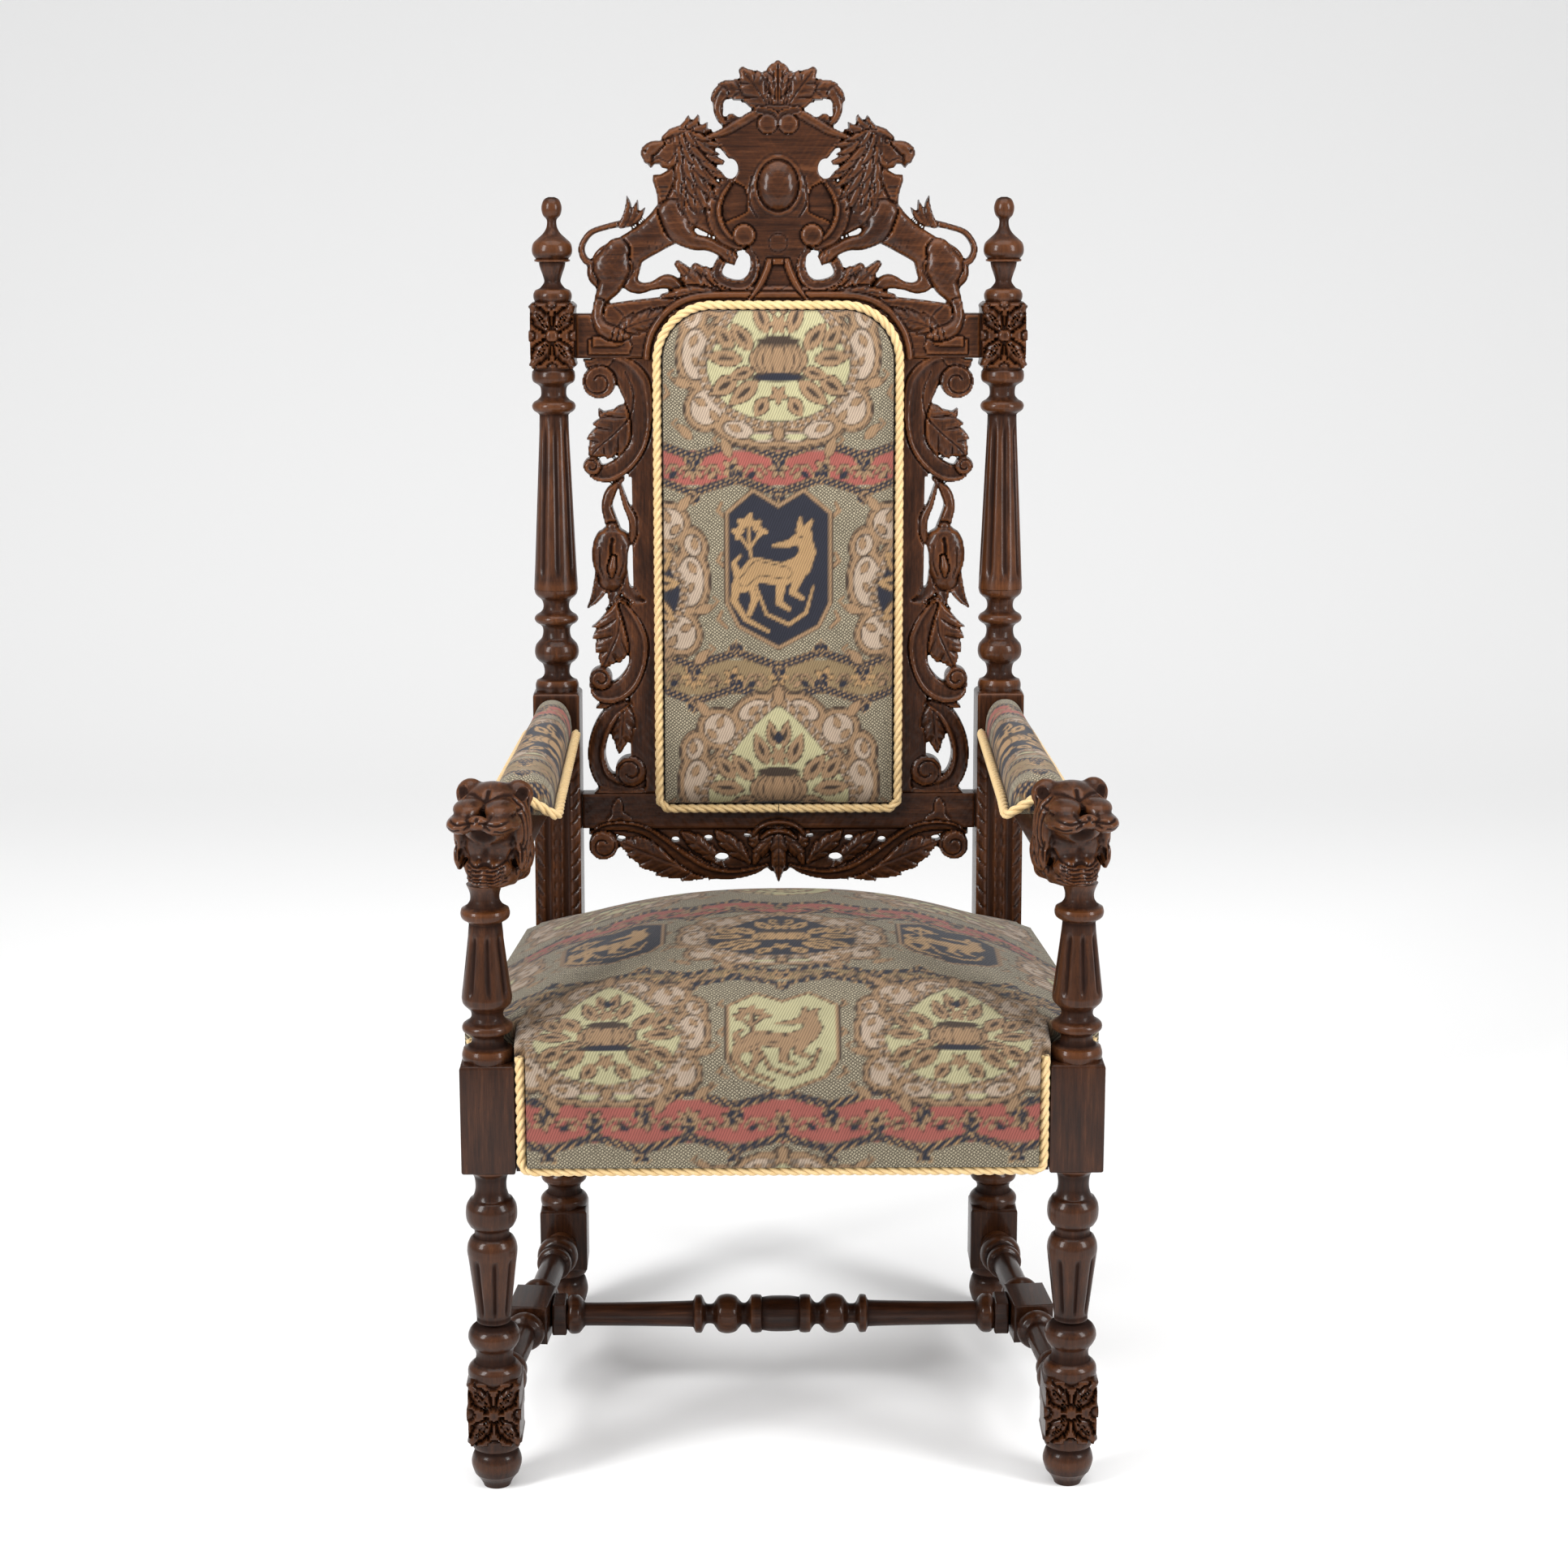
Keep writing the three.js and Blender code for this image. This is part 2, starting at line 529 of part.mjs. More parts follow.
// Stile with its pierced scrollwork, at the side where across is negative, from the board's lower end
function sideScroll() {
  const outer = STILE_INNER + STILE_WIDTH;
  const stile = [
    [-STILE_INNER, 0], [-STILE_INNER, SIDE_BOARD_HEIGHT], [-outer, SIDE_BOARD_HEIGHT], [-outer, 0],
  ];
  const across = (reach) => -(outer + reach);
  return join([
    plank(stile, SIDE_BOARD_THICKNESS, 0, 0),
    // upper scroll: large volute, band, leaf and small volute
    plank([[across(-8), 509], [across(48), 509], [across(44), 500], [across(20), 497], [across(-8), 480]],
      20, 0, 0),
    disc(across(33), 481, 19, 2, 22, 9),
    limb([[across(26), 500, 6, 9], [across(10), 494, 11, 9], [across(-8), 474, 12, 9],
      [across(-16), 448, 11, 9], [across(-10), 420, 9, 9], [across(6), 392, 8, 9],
      [across(26), 377, 8, 9], [across(40), 380, 6, 9]], 6),
    disc(across(42), 384, 9.6, 2, 20),
    limb([[across(-2), 462, 8, 8], [across(12), 446, 8, 7], [across(28), 441, 6, 6], [across(35), 452, 2, 3]],
      4),
    leaf([across(-8), 446], [across(42), 402], 17, 3, 18, 1),
    // stems
    limb([[across(12), 372, 4, 7], [across(25), 342, 4, 7], [across(22), 312, 6, 8]], 3),
    limb([[across(10), 372, 3, 6], [across(6), 350, 3, 6], [across(-6), 327, 4, 6], [across(0), 298, 3, 6]],
      5, 5),
    // bellflower and its petals
    limb([[across(21), 318, 4, 6], [across(21), 308, 14, 10], [across(21), 284, 18.5, 12],
      [across(21), 258, 16, 11], [across(22), 228, 5, 6]], 4),
    limb([[across(32), 262, 8, 8], [across(38), 242, 7, 6], [across(50), 219, 1, 2]], 2),
    limb([[across(12), 262, 8, 8], [across(2), 243, 8, 6], [across(-17), 226, 1, 2]], 2),
    // middle scroll
    limb([[across(16), 232, 4, 7], [across(0), 208, 7, 8], [across(-12), 172, 8, 9],
      [across(-4), 138, 8, 9], [across(16), 118, 8, 9], [across(36), 122, 6, 9]], 5),
    disc(across(35), 136, 12.8, 2, 20),
    leaf([across(12), 226], [across(36), 150], 17, 3, 18, 1),
    // lower scroll, which turns the other way
    limb([[across(10), 108, 6, 8], [across(34), 84, 7, 8], [across(44), 48, 6, 9], [across(38), 16, 6, 9],
      [across(16), 4.5, 4, 8], [across(-4), 12, 4, 8]], 5),
    disc(across(0), 31, 16, 2, 20),
    leaf([across(8), 116], [across(4), 52], 12, 2, 16, 1),
    leaf([across(0), 112], [across(38), 103], 8, 1, 14, 1),
    plank([[across(-2), 0], [across(44), 0], [across(40), 12], [across(10), 8]], 18, 0, 0),
  ]);
}

// Lower rail and its apron, measured up from the rail's lower edge
function lowerRail() {
  const end = BACK_HALF_WIDTH - BACK_BLOCK / 2 - GAP;
  const rail = [[-end, 0], [end, 0], [end, LOWER_RAIL_HEIGHT], [-end, LOWER_RAIL_HEIGHT]];
  const apronHalf = [
    [206, 4], [186, -18], [166, -42], [150, -50], [128, -58], [90, -59], [50, -63], [24, -55], [14, -52],
    [0, -66],
  ];
  const apron = [...apronHalf.map(([x, y]) => [-x, y]), ...apronHalf.slice(0, -1).toReversed()];
  const holes = [
    [72, -37, 8, 5],
    [192, -24, 5, 3],
    [102, -30, 4, 3],
  ].flatMap(([x, y, w, h]) => [-1, 1].map((side) => {
    const drill = new CylinderGeometry(1, 1, 60, 6).rotateX(Math.PI / 2).scale(w, h, 1);
    return solidOf(drill.translate(side * x, y, 0));
  }));
  const oneSide = [
    disc(-207, -19, 17.5, 3, 18, 8),
    limb([[-212, -4, 9, 7, 4], [-184, 2, 5, 7, 5], [-148, -6, 5, 7, 5], [-120, -22, 6, 7, 5],
      [-92, -44, 7, 7, 5], [-60, -50, 6, 6, 5], [-26, -44, 4, 5, 5]], 5),
    leaf([-34, -40], [-76, -6], 12, 2, 14, 4),
  ];
  return join([
    plank(apron, 14, 0, 0).subtract(join(holes)),
    plank(rail, LOWER_RAIL_THICKNESS, 0, 0),
    leaf([0, 8], [0, -67], 21, 2, 18, 3),
    limb([[-30, -8, 4, 5, 8], [0, 6, 6, 7, 8], [30, -8, 4, 5, 8]], 3),
    ...mirrored(oneSide),
  ]);
}

const lowerRailTop = LOWER_RAIL_BOTTOM + LOWER_RAIL_HEIGHT;
const sideBoardBottom = lowerRailTop + GAP;
const crestBottom = sideBoardBottom + SIDE_BOARD_HEIGHT + GAP;
const sideScrollSolid = sideScroll();
addPiece('crest_rail', stoodUp(crestRail(), crestBottom), OAK, leaningBack);
addPiece('side_scroll_left', stoodUp(sideScrollSolid, sideBoardBottom), OAK, leaningBack);
addPiece('side_scroll_right', stoodUp(sideScrollSolid.mirror([1, 0, 0]), sideBoardBottom), OAK, leaningBack);
addPiece('lower_rail', stoodUp(lowerRail(), LOWER_RAIL_BOTTOM), OAK, leaningBack);

// Stretchers, turned about their own length. Pairs of radius and distance from the middle, for one half.

// A turning along +X that is the same on both sides of its middle
function turnedBothWays(half) {
  const otherHalf = half.toReversed().map(([radius, place]) => [radius, -place]);
  return turned([...otherHalf, ...half]).rotateY(Math.PI / 2);
}

const plan = new THREE.Vector2(BACK_HALF_WIDTH - FRONT_HALF_WIDTH, SEAT_DEPTH);
const sideTurn = Math.atan2(-plan.x, plan.y);
const stretcherMiddle = (FRONT_HALF_WIDTH + BACK_HALF_WIDTH) / 2;

function crossStretcher() {
  const end = stretcherMiddle - STRETCHER_BLOCK / 2 - 2 * GAP;
  const stub = new BoxGeometry(17, 37, 37);
  return join([
    solidOf(turnedBothWays([[20.3, 12], [18.5, 22], [21.4, 25], [21.4, 33], [12.5, 38], [12.8, 46],
      [21.5, 52], [22.4, 61], [21.5, 70], [11.2, 76], [11.5, 85], [21.4, 90], [21.4, 98], [14.9, 102],
      [13.5, end - 34], [22, end - 30], [22, end - 19], [17, end - 16.5]])),
    solidOf(stub.clone().translate(end - 8.5, 0, 0)),
    solidOf(stub.clone().translate(8.5 - end, 0, 0)),
  ]).translate([0, SEAT_DEPTH / 2, STRETCHER_HEIGHT]);
}

function sideStretcher(side) {
  const reach = plan.length() / 2;
  const half = STRETCHER_BLOCK_LENGTH / 2;
  const outline = [[13, half - 1], [14, half + 4], [21, half + 10], [22.5, half + 17], [20, half + 25],
    [14, half + 30], [14.5, reach - 88], [20, reach - 82], [20, reach - 77], [15, reach - 72],
    [24, reach - 62], [24, reach - 50], [16, reach - 44], [19, reach - 34], [19, reach - 20]];
  const middle = new BoxGeometry(STRETCHER_BLOCK_LENGTH, STRETCHER_BLOCK, STRETCHER_BLOCK);
  const whole = solidOf(turnedBothWays(outline)).add(solidOf(middle));
  const placed = geometryOf(whole).rotateZ(Math.PI / 2 - sideTurn * -side);
  placed.translate(side * stretcherMiddle, SEAT_DEPTH / 2, STRETCHER_HEIGHT);
  return solidOf(placed).subtract(postRoom(side));
}

// The room that the blocks of the two posts on one side take, with the gap round them
function postRoom(side, frontWidth = POST_BLOCK, backWidth = BACK_BLOCK) {
  const tall = 2 * BACK_BLOCK_TOP;
  const front = new BoxGeometry(frontWidth + 2 * GAP, frontWidth + 2 * GAP, 2 * SEAT_BLOCK_TOP);
  const back = new BoxGeometry(backWidth + 2 * GAP, backWidth + 2 * GAP, 2 * BEND_HEIGHT);
  const leaningRoom = leaned(new BoxGeometry(backWidth + 2 * GAP, backWidth + 2 * GAP, tall));
  return join([
    solidOf(front.translate(side * FRONT_HALF_WIDTH, 0, 0)),
    solidOf(back.translate(side * BACK_HALF_WIDTH, SEAT_DEPTH, 0)),
    solidOf(leaningRoom.translate(side * BACK_HALF_WIDTH, 0, 0)),
  ]);
}

addPiece('cross_stretcher', crossStretcher().subtract(join([-1, 1].map((side) => {
  const wide = STRETCHER_BLOCK + 2 * GAP;
  const block = new BoxGeometry(wide, STRETCHER_BLOCK_LENGTH + 2 * GAP, STRETCHER_BLOCK);
  block.rotateZ(sideTurn * side);
  return solidOf(block.translate(side * stretcherMiddle, SEAT_DEPTH / 2, STRETCHER_HEIGHT));
}))), OAK);

// Seat. An offset is how far a line lies outside the axes of the posts.
function sideLine(y, offset) {
  return FRONT_HALF_WIDTH - ((FRONT_HALF_WIDTH - BACK_HALF_WIDTH) * y) / SEAT_DEPTH + offset;
}

function slab(outline, bottom, top) {
  const shape = new THREE.Shape(outline.map(([x, y]) => new THREE.Vector2(x, y)));
  const geometry = new ExtrudeGeometry(shape, { depth: top - bottom, bevelEnabled: false });
  return solidOf(geometry.translate(0, 0, bottom));
}

const railBottom = SEAT_BLOCK_BOTTOM + 2;
const railFront = -POST_BLOCK / 2 + 8;
const railOutside = 18;
const frontCorner = POST_BLOCK / 2 + GAP;
const backCorner = BACK_BLOCK / 2 + GAP;

function frontRail(spare = 0) {
  const end = FRONT_HALF_WIDTH - frontCorner + spare;
  const back = railFront + SEAT_RAIL_THICKNESS + spare;
  const front = railFront - spare;
  const outline = [[-end, front], [end, front], [end, back], [-end, back]];
  return slab(outline, railBottom - spare, SEAT_RAIL_TOP + spare);
}

function backRail(spare = 0) {
  const end = BACK_HALF_WIDTH - backCorner + spare;
  const front = SEAT_DEPTH - SEAT_RAIL_THICKNESS / 2 - spare;
  const back = SEAT_DEPTH + SEAT_RAIL_THICKNESS / 2 + spare;
  const outline = [[-end, front], [end, front], [end, back], [-end, back]];
  return slab(outline, railBottom - spare, SEAT_RAIL_TOP + spare);
}

function sideRail(side, spare = 0) {
  const front = frontCorner - spare;
  const back = SEAT_DEPTH - backCorner + spare;
  const inside = railOutside - SEAT_RAIL_THICKNESS - spare;
  const outside = railOutside + spare;
  const outline = [[sideLine(front, inside), front], [sideLine(front, outside), front],
    [sideLine(back, outside), back], [sideLine(back, inside), back]];
  return slab(outline.map(([x, y]) => [side * x, y]), railBottom - spare, SEAT_RAIL_TOP + spare);
}

// The floor of the seat, webbing and lining, let in between the rails
function seatBase() {
  const front = railFront + SEAT_RAIL_THICKNESS + GAP;
  const back = SEAT_DEPTH - SEAT_RAIL_THICKNESS / 2 - GAP;
  const inside = railOutside - SEAT_RAIL_THICKNESS - GAP;
  const besideFront = sideLine(frontCorner, 0) - frontCorner;
  const besideBack = BACK_HALF_WIDTH - backCorner;
  const beforeBack = SEAT_DEPTH - backCorner;
  const half = [[besideFront, front], [besideFront, frontCorner],
    [sideLine(frontCorner, inside), frontCorner], [sideLine(beforeBack, inside), beforeBack],
    [besideBack, beforeBack], [besideBack, back]];
  const outline = [...half, ...half.toReversed().map(([x, y]) => [-x, y])];
  return slab(outline, railBottom, railBottom + SEAT_BASE_THICKNESS);
}

const cushionBottom = railBottom + 8;
const cushionFront = railFront - SEAT_SKIRT;
const cushionBack = SEAT_DEPTH + SEAT_RAIL_THICKNESS / 2 + 6;
const ropeRoom = 2 * ROPE_RADIUS + 2 * GAP;

function seatCushion() {
  const geometry = new BoxGeometry(2, 1, 1, 6, 5, 2);
  const places = geometry.attributes.position;
  for (let i = 0; i < places.count; i++) {
    const across = places.getX(i);
    const deep = places.getY(i) + 0.5;
    const high = places.getZ(i) + 0.5;
    const y = THREE.MathUtils.lerp(cushionFront, cushionBack, deep);
    const bulge = 1 - 0.02 * Math.max(0, high - 0.4) ** 2;
    const x = across * sideLine(Math.max(0, y), railOutside + SEAT_SKIRT) * bulge;
    const crown = (1 - Math.abs(across) ** 2.4) * (1 - Math.abs(2 * deep - 1) ** 2.6);
    const top = SEAT_EDGE_HEIGHT + (SEAT_CROWN_HEIGHT - SEAT_EDGE_HEIGHT) * crown;
    places.setXYZ(i, x, y, THREE.MathUtils.lerp(cushionBottom, top, high));
  }
  const big = 200;
  const cutAway = (x, y) => solidOf(new BoxGeometry(big, big, 3 * big).translate(x, y, SEAT_RAIL_TOP));
  const bite = 0.1;
  const cornerCuts = [-1, 1].flatMap((side) => {
    const frontX = FRONT_HALF_WIDTH - frontCorner;
    const backX = BACK_HALF_WIDTH - backCorner;
    const backY = SEAT_DEPTH - backCorner;
    const ropeFrontX = sideLine(frontCorner, railOutside + GAP - bite);
    const ropeBackX = sideLine(backY - ropeRoom, railOutside + GAP - bite);
    return [
      cutAway(side * (frontX + big / 2), frontCorner - big / 2),
      cutAway(side * (backX + big / 2), backY + big / 2),
      cutAway(side * (frontX - ropeRoom + big / 2), railFront - GAP + bite - big / 2),
      cutAway(side * (ropeFrontX + big / 2), frontCorner + ropeRoom - big / 2),
      cutAway(side * (ropeBackX + big / 2), backY - ropeRoom + big / 2),
    ];
  });
  const rails = [frontRail(GAP), backRail(GAP), sideRail(-1, GAP), sideRail(1, GAP)];
  const ropes = [frontSeatRope(GAP), sideSeatRope(-1, GAP), sideSeatRope(1, GAP)];
  return solidOf(geometry).subtract(join([...cornerCuts, ...rails, ...ropes]));
}

// A twisted cord trim, as a plain tube along its route with rounded corners
function rope(points, spare = 0, cornerRadius = 14) {
  const knots = points.map((point) => new THREE.Vector3(...point));
  const route = [knots[0]];
  for (let i = 1; i < knots.length - 1; i++) {
    const before = knots[i - 1].clone().sub(knots[i]).setLength(cornerRadius);
    const after = knots[i + 1].clone().sub(knots[i]).setLength(cornerRadius);
    const bend = new THREE.QuadraticBezierCurve3(before.add(knots[i]), knots[i], after.add(knots[i]));
    route.push(...bend.getPoints(2));
  }
  route.push(knots.at(-1));
  return tube(route, spare);
}

// Sweeps a rope's section through the route's own points
function tube(route, spare = 0) {
  const section = new THREE.Shape();
  for (let i = 0; i < ROPE_SIDES; i++) {
    const angle = (2 * i * Math.PI) / ROPE_SIDES;
    const point = [(ROPE_RADIUS + spare) * Math.cos(angle), (ROPE_RADIUS + spare) * Math.sin(angle)];
    if (i === 0) section.moveTo(...point);
    else section.lineTo(...point);
  }
  const knotCurve = new THREE.Curve();
  knotCurve.getPoint = (share, target = new THREE.Vector3()) => {
    const place = share * (route.length - 1);
    const index = Math.min(Math.floor(place), route.length - 2);
    return target.lerpVectors(route[index], route[index + 1], place - index);
  };
  knotCurve.getPointAt = knotCurve.getPoint;
  knotCurve.getTangent = (share, target = new THREE.Vector3()) => {
    const place = Math.round(share * (route.length - 1));
    const before = route[Math.max(0, place - 1)];
    const after = route[Math.min(route.length - 1, place + 1)];
    return target.subVectors(after, before).normalize();
  };
  knotCurve.getTangentAt = knotCurve.getTangent;
  return solidOf(new ExtrudeGeometry(section, { extrudePath: knotCurve, steps: route.length - 1 }));
}

const ropeOut = ROPE_RADIUS + GAP;
const seatRopeHeight = cushionBottom - ropeOut;
const seatRopeTop = SEAT_EDGE_HEIGHT - 8;

function frontSeatRope(spare = 0) {
  const x = FRONT_HALF_WIDTH - frontCorner - ropeOut;
  const y = railFront - ropeOut;
  return rope([[-x, y, seatRopeTop], [-x, y, seatRopeHeight], [x, y, seatRopeHeight], [x, y, seatRopeTop]],
    spare);
}

function sideSeatRope(side, spare = 0) {
  const front = frontCorner + ropeOut;
  const back = SEAT_DEPTH - backCorner - ropeOut;
  const frontX = side * (sideLine(front, railOutside) + ropeOut);
  const backX = side * (sideLine(back, railOutside) + ropeOut);
  return rope([[frontX, front, seatRopeTop], [frontX, front, seatRopeHeight],
    [backX, back, seatRopeHeight], [backX, back, seatRopeTop]], spare);
}

addPiece('seat_rail_front', frontRail(), OAK);
addPiece('seat_rail_back', backRail(), OAK);
addPiece('seat_base', seatBase(), LINING);
addPiece('seat_cushion', seatCushion(), TAPESTRY);
addPiece('seat_rope_front', frontSeatRope(), ROPE);
for (const [word, side] of sides) {
  addPiece(`side_stretcher_${word}`, sideStretcher(side), OAK);
  addPiece(`seat_rail_${word}`, sideRail(side), OAK);
  addPiece(`seat_rope_${word}`, sideSeatRope(side), ROPE);
}

// Back pad, its rope and the cloth over the outside of the back, in the leaning frame
const boardFront = CREST_RAIL_THICKNESS / 2 + GAP;

function roundedTop(halfWidth, bottom, height, corner, stepCount) {
  const outline = [[halfWidth, bottom]];
  for (let i = 0; i <= stepCount; i++) {
    const angle = (Math.PI / 2) * (i / stepCount);
    const [inwards, down] = [1 - Math.cos(angle), 1 - Math.sin(angle)];
    outline.push([halfWidth - corner * inwards, bottom + height - corner * down]);
  }
  return [...outline, ...outline.toReversed().map(([x, y]) => [-x, y])];
}

function backPad() {
  const outline = roundedTop(BACK_PAD_HALF_WIDTH, BACK_PAD_BOTTOM, BACK_PAD_HEIGHT, BACK_PAD_CORNER, 5);
  const middle = boardFront + BACK_PAD_THICKNESS / 2;
  return plank(outline, BACK_PAD_THICKNESS, middle, 9);
}

function backCover() {
  const outline = roundedTop(STILE_INNER + 6, BACK_PAD_BOTTOM - 10, BACK_PAD_HEIGHT + 16, 12, 2);
  return plank(outline, COVER_THICKNESS, -boardFront - COVER_THICKNESS / 2, 0);
}

function backRope() {
  const half = BACK_PAD_HALF_WIDTH + ropeOut;
  const outline = roundedTop(half, BACK_PAD_BOTTOM - ropeOut, BACK_PAD_HEIGHT + 2 * ropeOut,
    BACK_PAD_CORNER + ropeOut, 6).map(([x, y]) => [x, -boardFront - ROPE_RADIUS, y]);
  const bottom = BACK_PAD_BOTTOM - ropeOut;
  const meet = [[GAP, -boardFront - ROPE_RADIUS, bottom], [half, -boardFront - ROPE_RADIUS, bottom]];
  const route = [meet[0], ...outline, meet[0].map((value, i) => (i === 0 ? -value : value))];
  return tube(route.map((point) => new THREE.Vector3(...point)));
}

addPiece('back_pad', stoodUp(backPad(), 0), TAPESTRY, leaningBack);
addPiece('back_cover', stoodUp(backCover(), 0), TAPESTRY, leaningBack);
addPiece('back_rope', backRope(), ROPE, leaningBack);

// Arms. The head's sizes are shares of its height, and it looks a little outwards.
const armTop = ARM_PAD_TOP - ARM_PAD_THICKNESS - GAP;
const armPadBack = SEAT_DEPTH - backCorner - ARM_PAD_TO_POST;

function lionHead(side) {
  const unit = LION_HEAD_HEIGHT;
  const ball = (x, y, z, wide, deep, tall, sideCount = 6, rings = 4) => {
    const geometry = new SphereGeometry(unit, sideCount, rings).rotateY(Math.PI / 2).scale(wide, deep, tall);
    return solidOf(geometry.translate(x * unit, y * unit, z * unit));
  };
  // a form that runs forward from back to front, wider or narrower at the front
  const snout = (z, back, front, wideBack, wideFront, tall) => {
    const geometry = new CylinderGeometry(wideBack, wideFront, back - front, 6, 1);
    geometry.scale(1, 1, tall / wideBack).translate(0, (back + front) / 2, z);
    return solidOf(geometry.scale(unit, unit, unit));
  };
  const head = join([
    ball(0, -0.12, 0.68, 0.33, 0.34, 0.32),
    ball(-0.23, -0.02, 0.9, 0.11, 0.13, 0.11, 5, 3),
    ball(0.23, -0.02, 0.9, 0.11, 0.13, 0.11, 5, 3),
    snout(0.72, -0.2, -0.72, 0.27, 0.31, 0.14),
    snout(0.76, -0.6, -0.8, 0.12, 0.1, 0.09),
    snout(0.27, -0.1, -0.52, 0.24, 0.17, 0.13),
    snout(0.5, 0.1, -0.4, 0.22, 0.14, 0.2),
    ball(0, -0.04, 0.28, 0.28, 0.28, 0.34),
    ball(-0.3, -0.06, 0.42, 0.08, 0.17, 0.26, 5, 3),
    ball(0.3, -0.06, 0.42, 0.08, 0.17, 0.26, 5, 3),
  ]);
  const floor = new BoxGeometry(3 * unit, 3 * unit, unit).translate(0, 0, -unit / 2);
  const placed = geometryOf(head.subtract(solidOf(floor))).rotateZ(side * 0.14);
  return solidOf(placed.translate(side * (FRONT_HALF_WIDTH - 12), 0, FRONT_POST_TOP + GAP));
}

function arm(side) {
  const back = SEAT_DEPTH;
  const geometry = new BoxGeometry(ARM_RAIL_WIDTH, 1, ARM_RAIL_HEIGHT, 1, 3, 1);
  const places = geometry.attributes.position;
  for (let i = 0; i < places.count; i++) {
    const deep = places.getY(i) + 0.5;
    const y = THREE.MathUtils.lerp(6, back, deep);
    const x = THREE.MathUtils.lerp(FRONT_HALF_WIDTH - 16, BACK_HALF_WIDTH + ARM_BACK_OFFSET, deep);
    places.setXYZ(i, side * x + places.getX(i), y, armTop - ARM_RAIL_HEIGHT / 2 + places.getZ(i));
  }
  return solidOf(geometry).add(lionHead(side)).subtract(postRoom(side));
}

// Plan of the pad: the inner edge runs straight, the outer edge closes in towards the back
function padEdges(share) {
  const width = THREE.MathUtils.lerp(ARM_PAD_FRONT_WIDTH, ARM_PAD_BACK_WIDTH, share);
  return [ARM_PAD_INNER, ARM_PAD_INNER + width];
}

function armPad(side) {
  const geometry = new BoxGeometry(2, 1, 1, 4, 3, 2);
  const places = geometry.attributes.position;
  const padFront = ARM_PAD_FRONT + ropeOut + ROPE_RADIUS;
  for (let i = 0; i < places.count; i++) {
    const across = places.getX(i);
    const deep = places.getY(i) + 0.5;
    const high = places.getZ(i) + 0.5;
    const [inner, outer] = padEdges(deep);
    const half = (outer - inner) / 2 - ropeOut - ROPE_RADIUS;
    const x = (inner + outer) / 2 + across * half;
    const ends = 1 - Math.abs(2 * deep - 1) ** 6;
    const crown = (1 - across ** 4 * 0.55) * (0.6 + 0.4 * ends);
    places.setXYZ(i, side * x, padFront + deep * (armPadBack - ARM_PAD_FRONT),
      ARM_PAD_TOP - ARM_PAD_THICKNESS * (1 - high * crown));
  }
  return solidOf(geometry).subtract(postRoom(side)).subtract(armRope(side, GAP));
}

function armRope(side, spare = 0) {
  const z = ARM_PAD_TOP - ARM_PAD_THICKNESS + ROPE_RADIUS;
  const back = armPadBack - ropeOut;
  const [frontInner, frontOuter] = padEdges(0).map((x, i) => x + (i ? -ROPE_RADIUS : ROPE_RADIUS));
  const [backInner, backOuter] = padEdges(1).map((x, i) => x + (i ? -ROPE_RADIUS : ROPE_RADIUS));
  const y = ARM_PAD_FRONT + ROPE_RADIUS;
  return rope([[side * backOuter, back, z], [side * frontOuter, y, z], [side * frontInner, y, z],
    [side * backInner, back, z]], spare);
}

for (const [word, side] of sides) {
  addPiece(`arm_${word}`, arm(side), OAK);
  addPiece(`arm_pad_${word}`, armPad(side), TAPESTRY);
  addPiece(`arm_rope_${word}`, armRope(side), ROPE);
}

// The origin is in the middle of the whole throne's plan, at the floor
throne.updateMatrixWorld(true);
const reach = new THREE.Box3().setFromObject(throne, true);
const centre = reach.getCenter(new THREE.Vector3());
throne.position.set(-centre.x, -centre.y, -reach.min.z);
throne.updateMatrixWorld(true);

export default throne;
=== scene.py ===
# %% [markdown]
# # Dressing a carved oak throne
# The solids of the chair are already made and packed. This lesson loads them as a fixed frame and builds
# what is seen on top of them: fine turnings, the carved boards of the back, padded tapestry and twisted
# cord. Every piece is made in the frame's own coordinates, so nothing has to be fitted by eye.

# %% Load the frame
import math

import bmesh
import bpy
import numpy as np
from mathutils import Matrix, Vector


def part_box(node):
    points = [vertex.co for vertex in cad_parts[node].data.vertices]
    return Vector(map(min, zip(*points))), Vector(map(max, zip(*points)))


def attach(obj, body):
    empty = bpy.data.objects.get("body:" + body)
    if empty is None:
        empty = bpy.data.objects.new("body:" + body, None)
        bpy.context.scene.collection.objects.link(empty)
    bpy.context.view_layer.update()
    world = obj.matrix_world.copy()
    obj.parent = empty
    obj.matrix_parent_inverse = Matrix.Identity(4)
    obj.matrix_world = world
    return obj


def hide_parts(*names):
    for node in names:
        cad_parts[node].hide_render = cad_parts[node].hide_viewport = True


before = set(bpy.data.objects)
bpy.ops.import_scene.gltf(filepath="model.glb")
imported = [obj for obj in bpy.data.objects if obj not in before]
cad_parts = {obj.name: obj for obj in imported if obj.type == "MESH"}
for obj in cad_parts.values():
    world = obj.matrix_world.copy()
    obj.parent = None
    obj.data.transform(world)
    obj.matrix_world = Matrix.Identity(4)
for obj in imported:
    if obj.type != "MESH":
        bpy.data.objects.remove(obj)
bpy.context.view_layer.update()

# %% [markdown]
# ## Where things are
# The chair is drawn in millimetres with its front legs on the line y = 0. The back leans a little, so it
# has a frame of its own: across, up the back, and forward. Two matrices turn those drawings into the
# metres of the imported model, and every piece below goes through one of them.

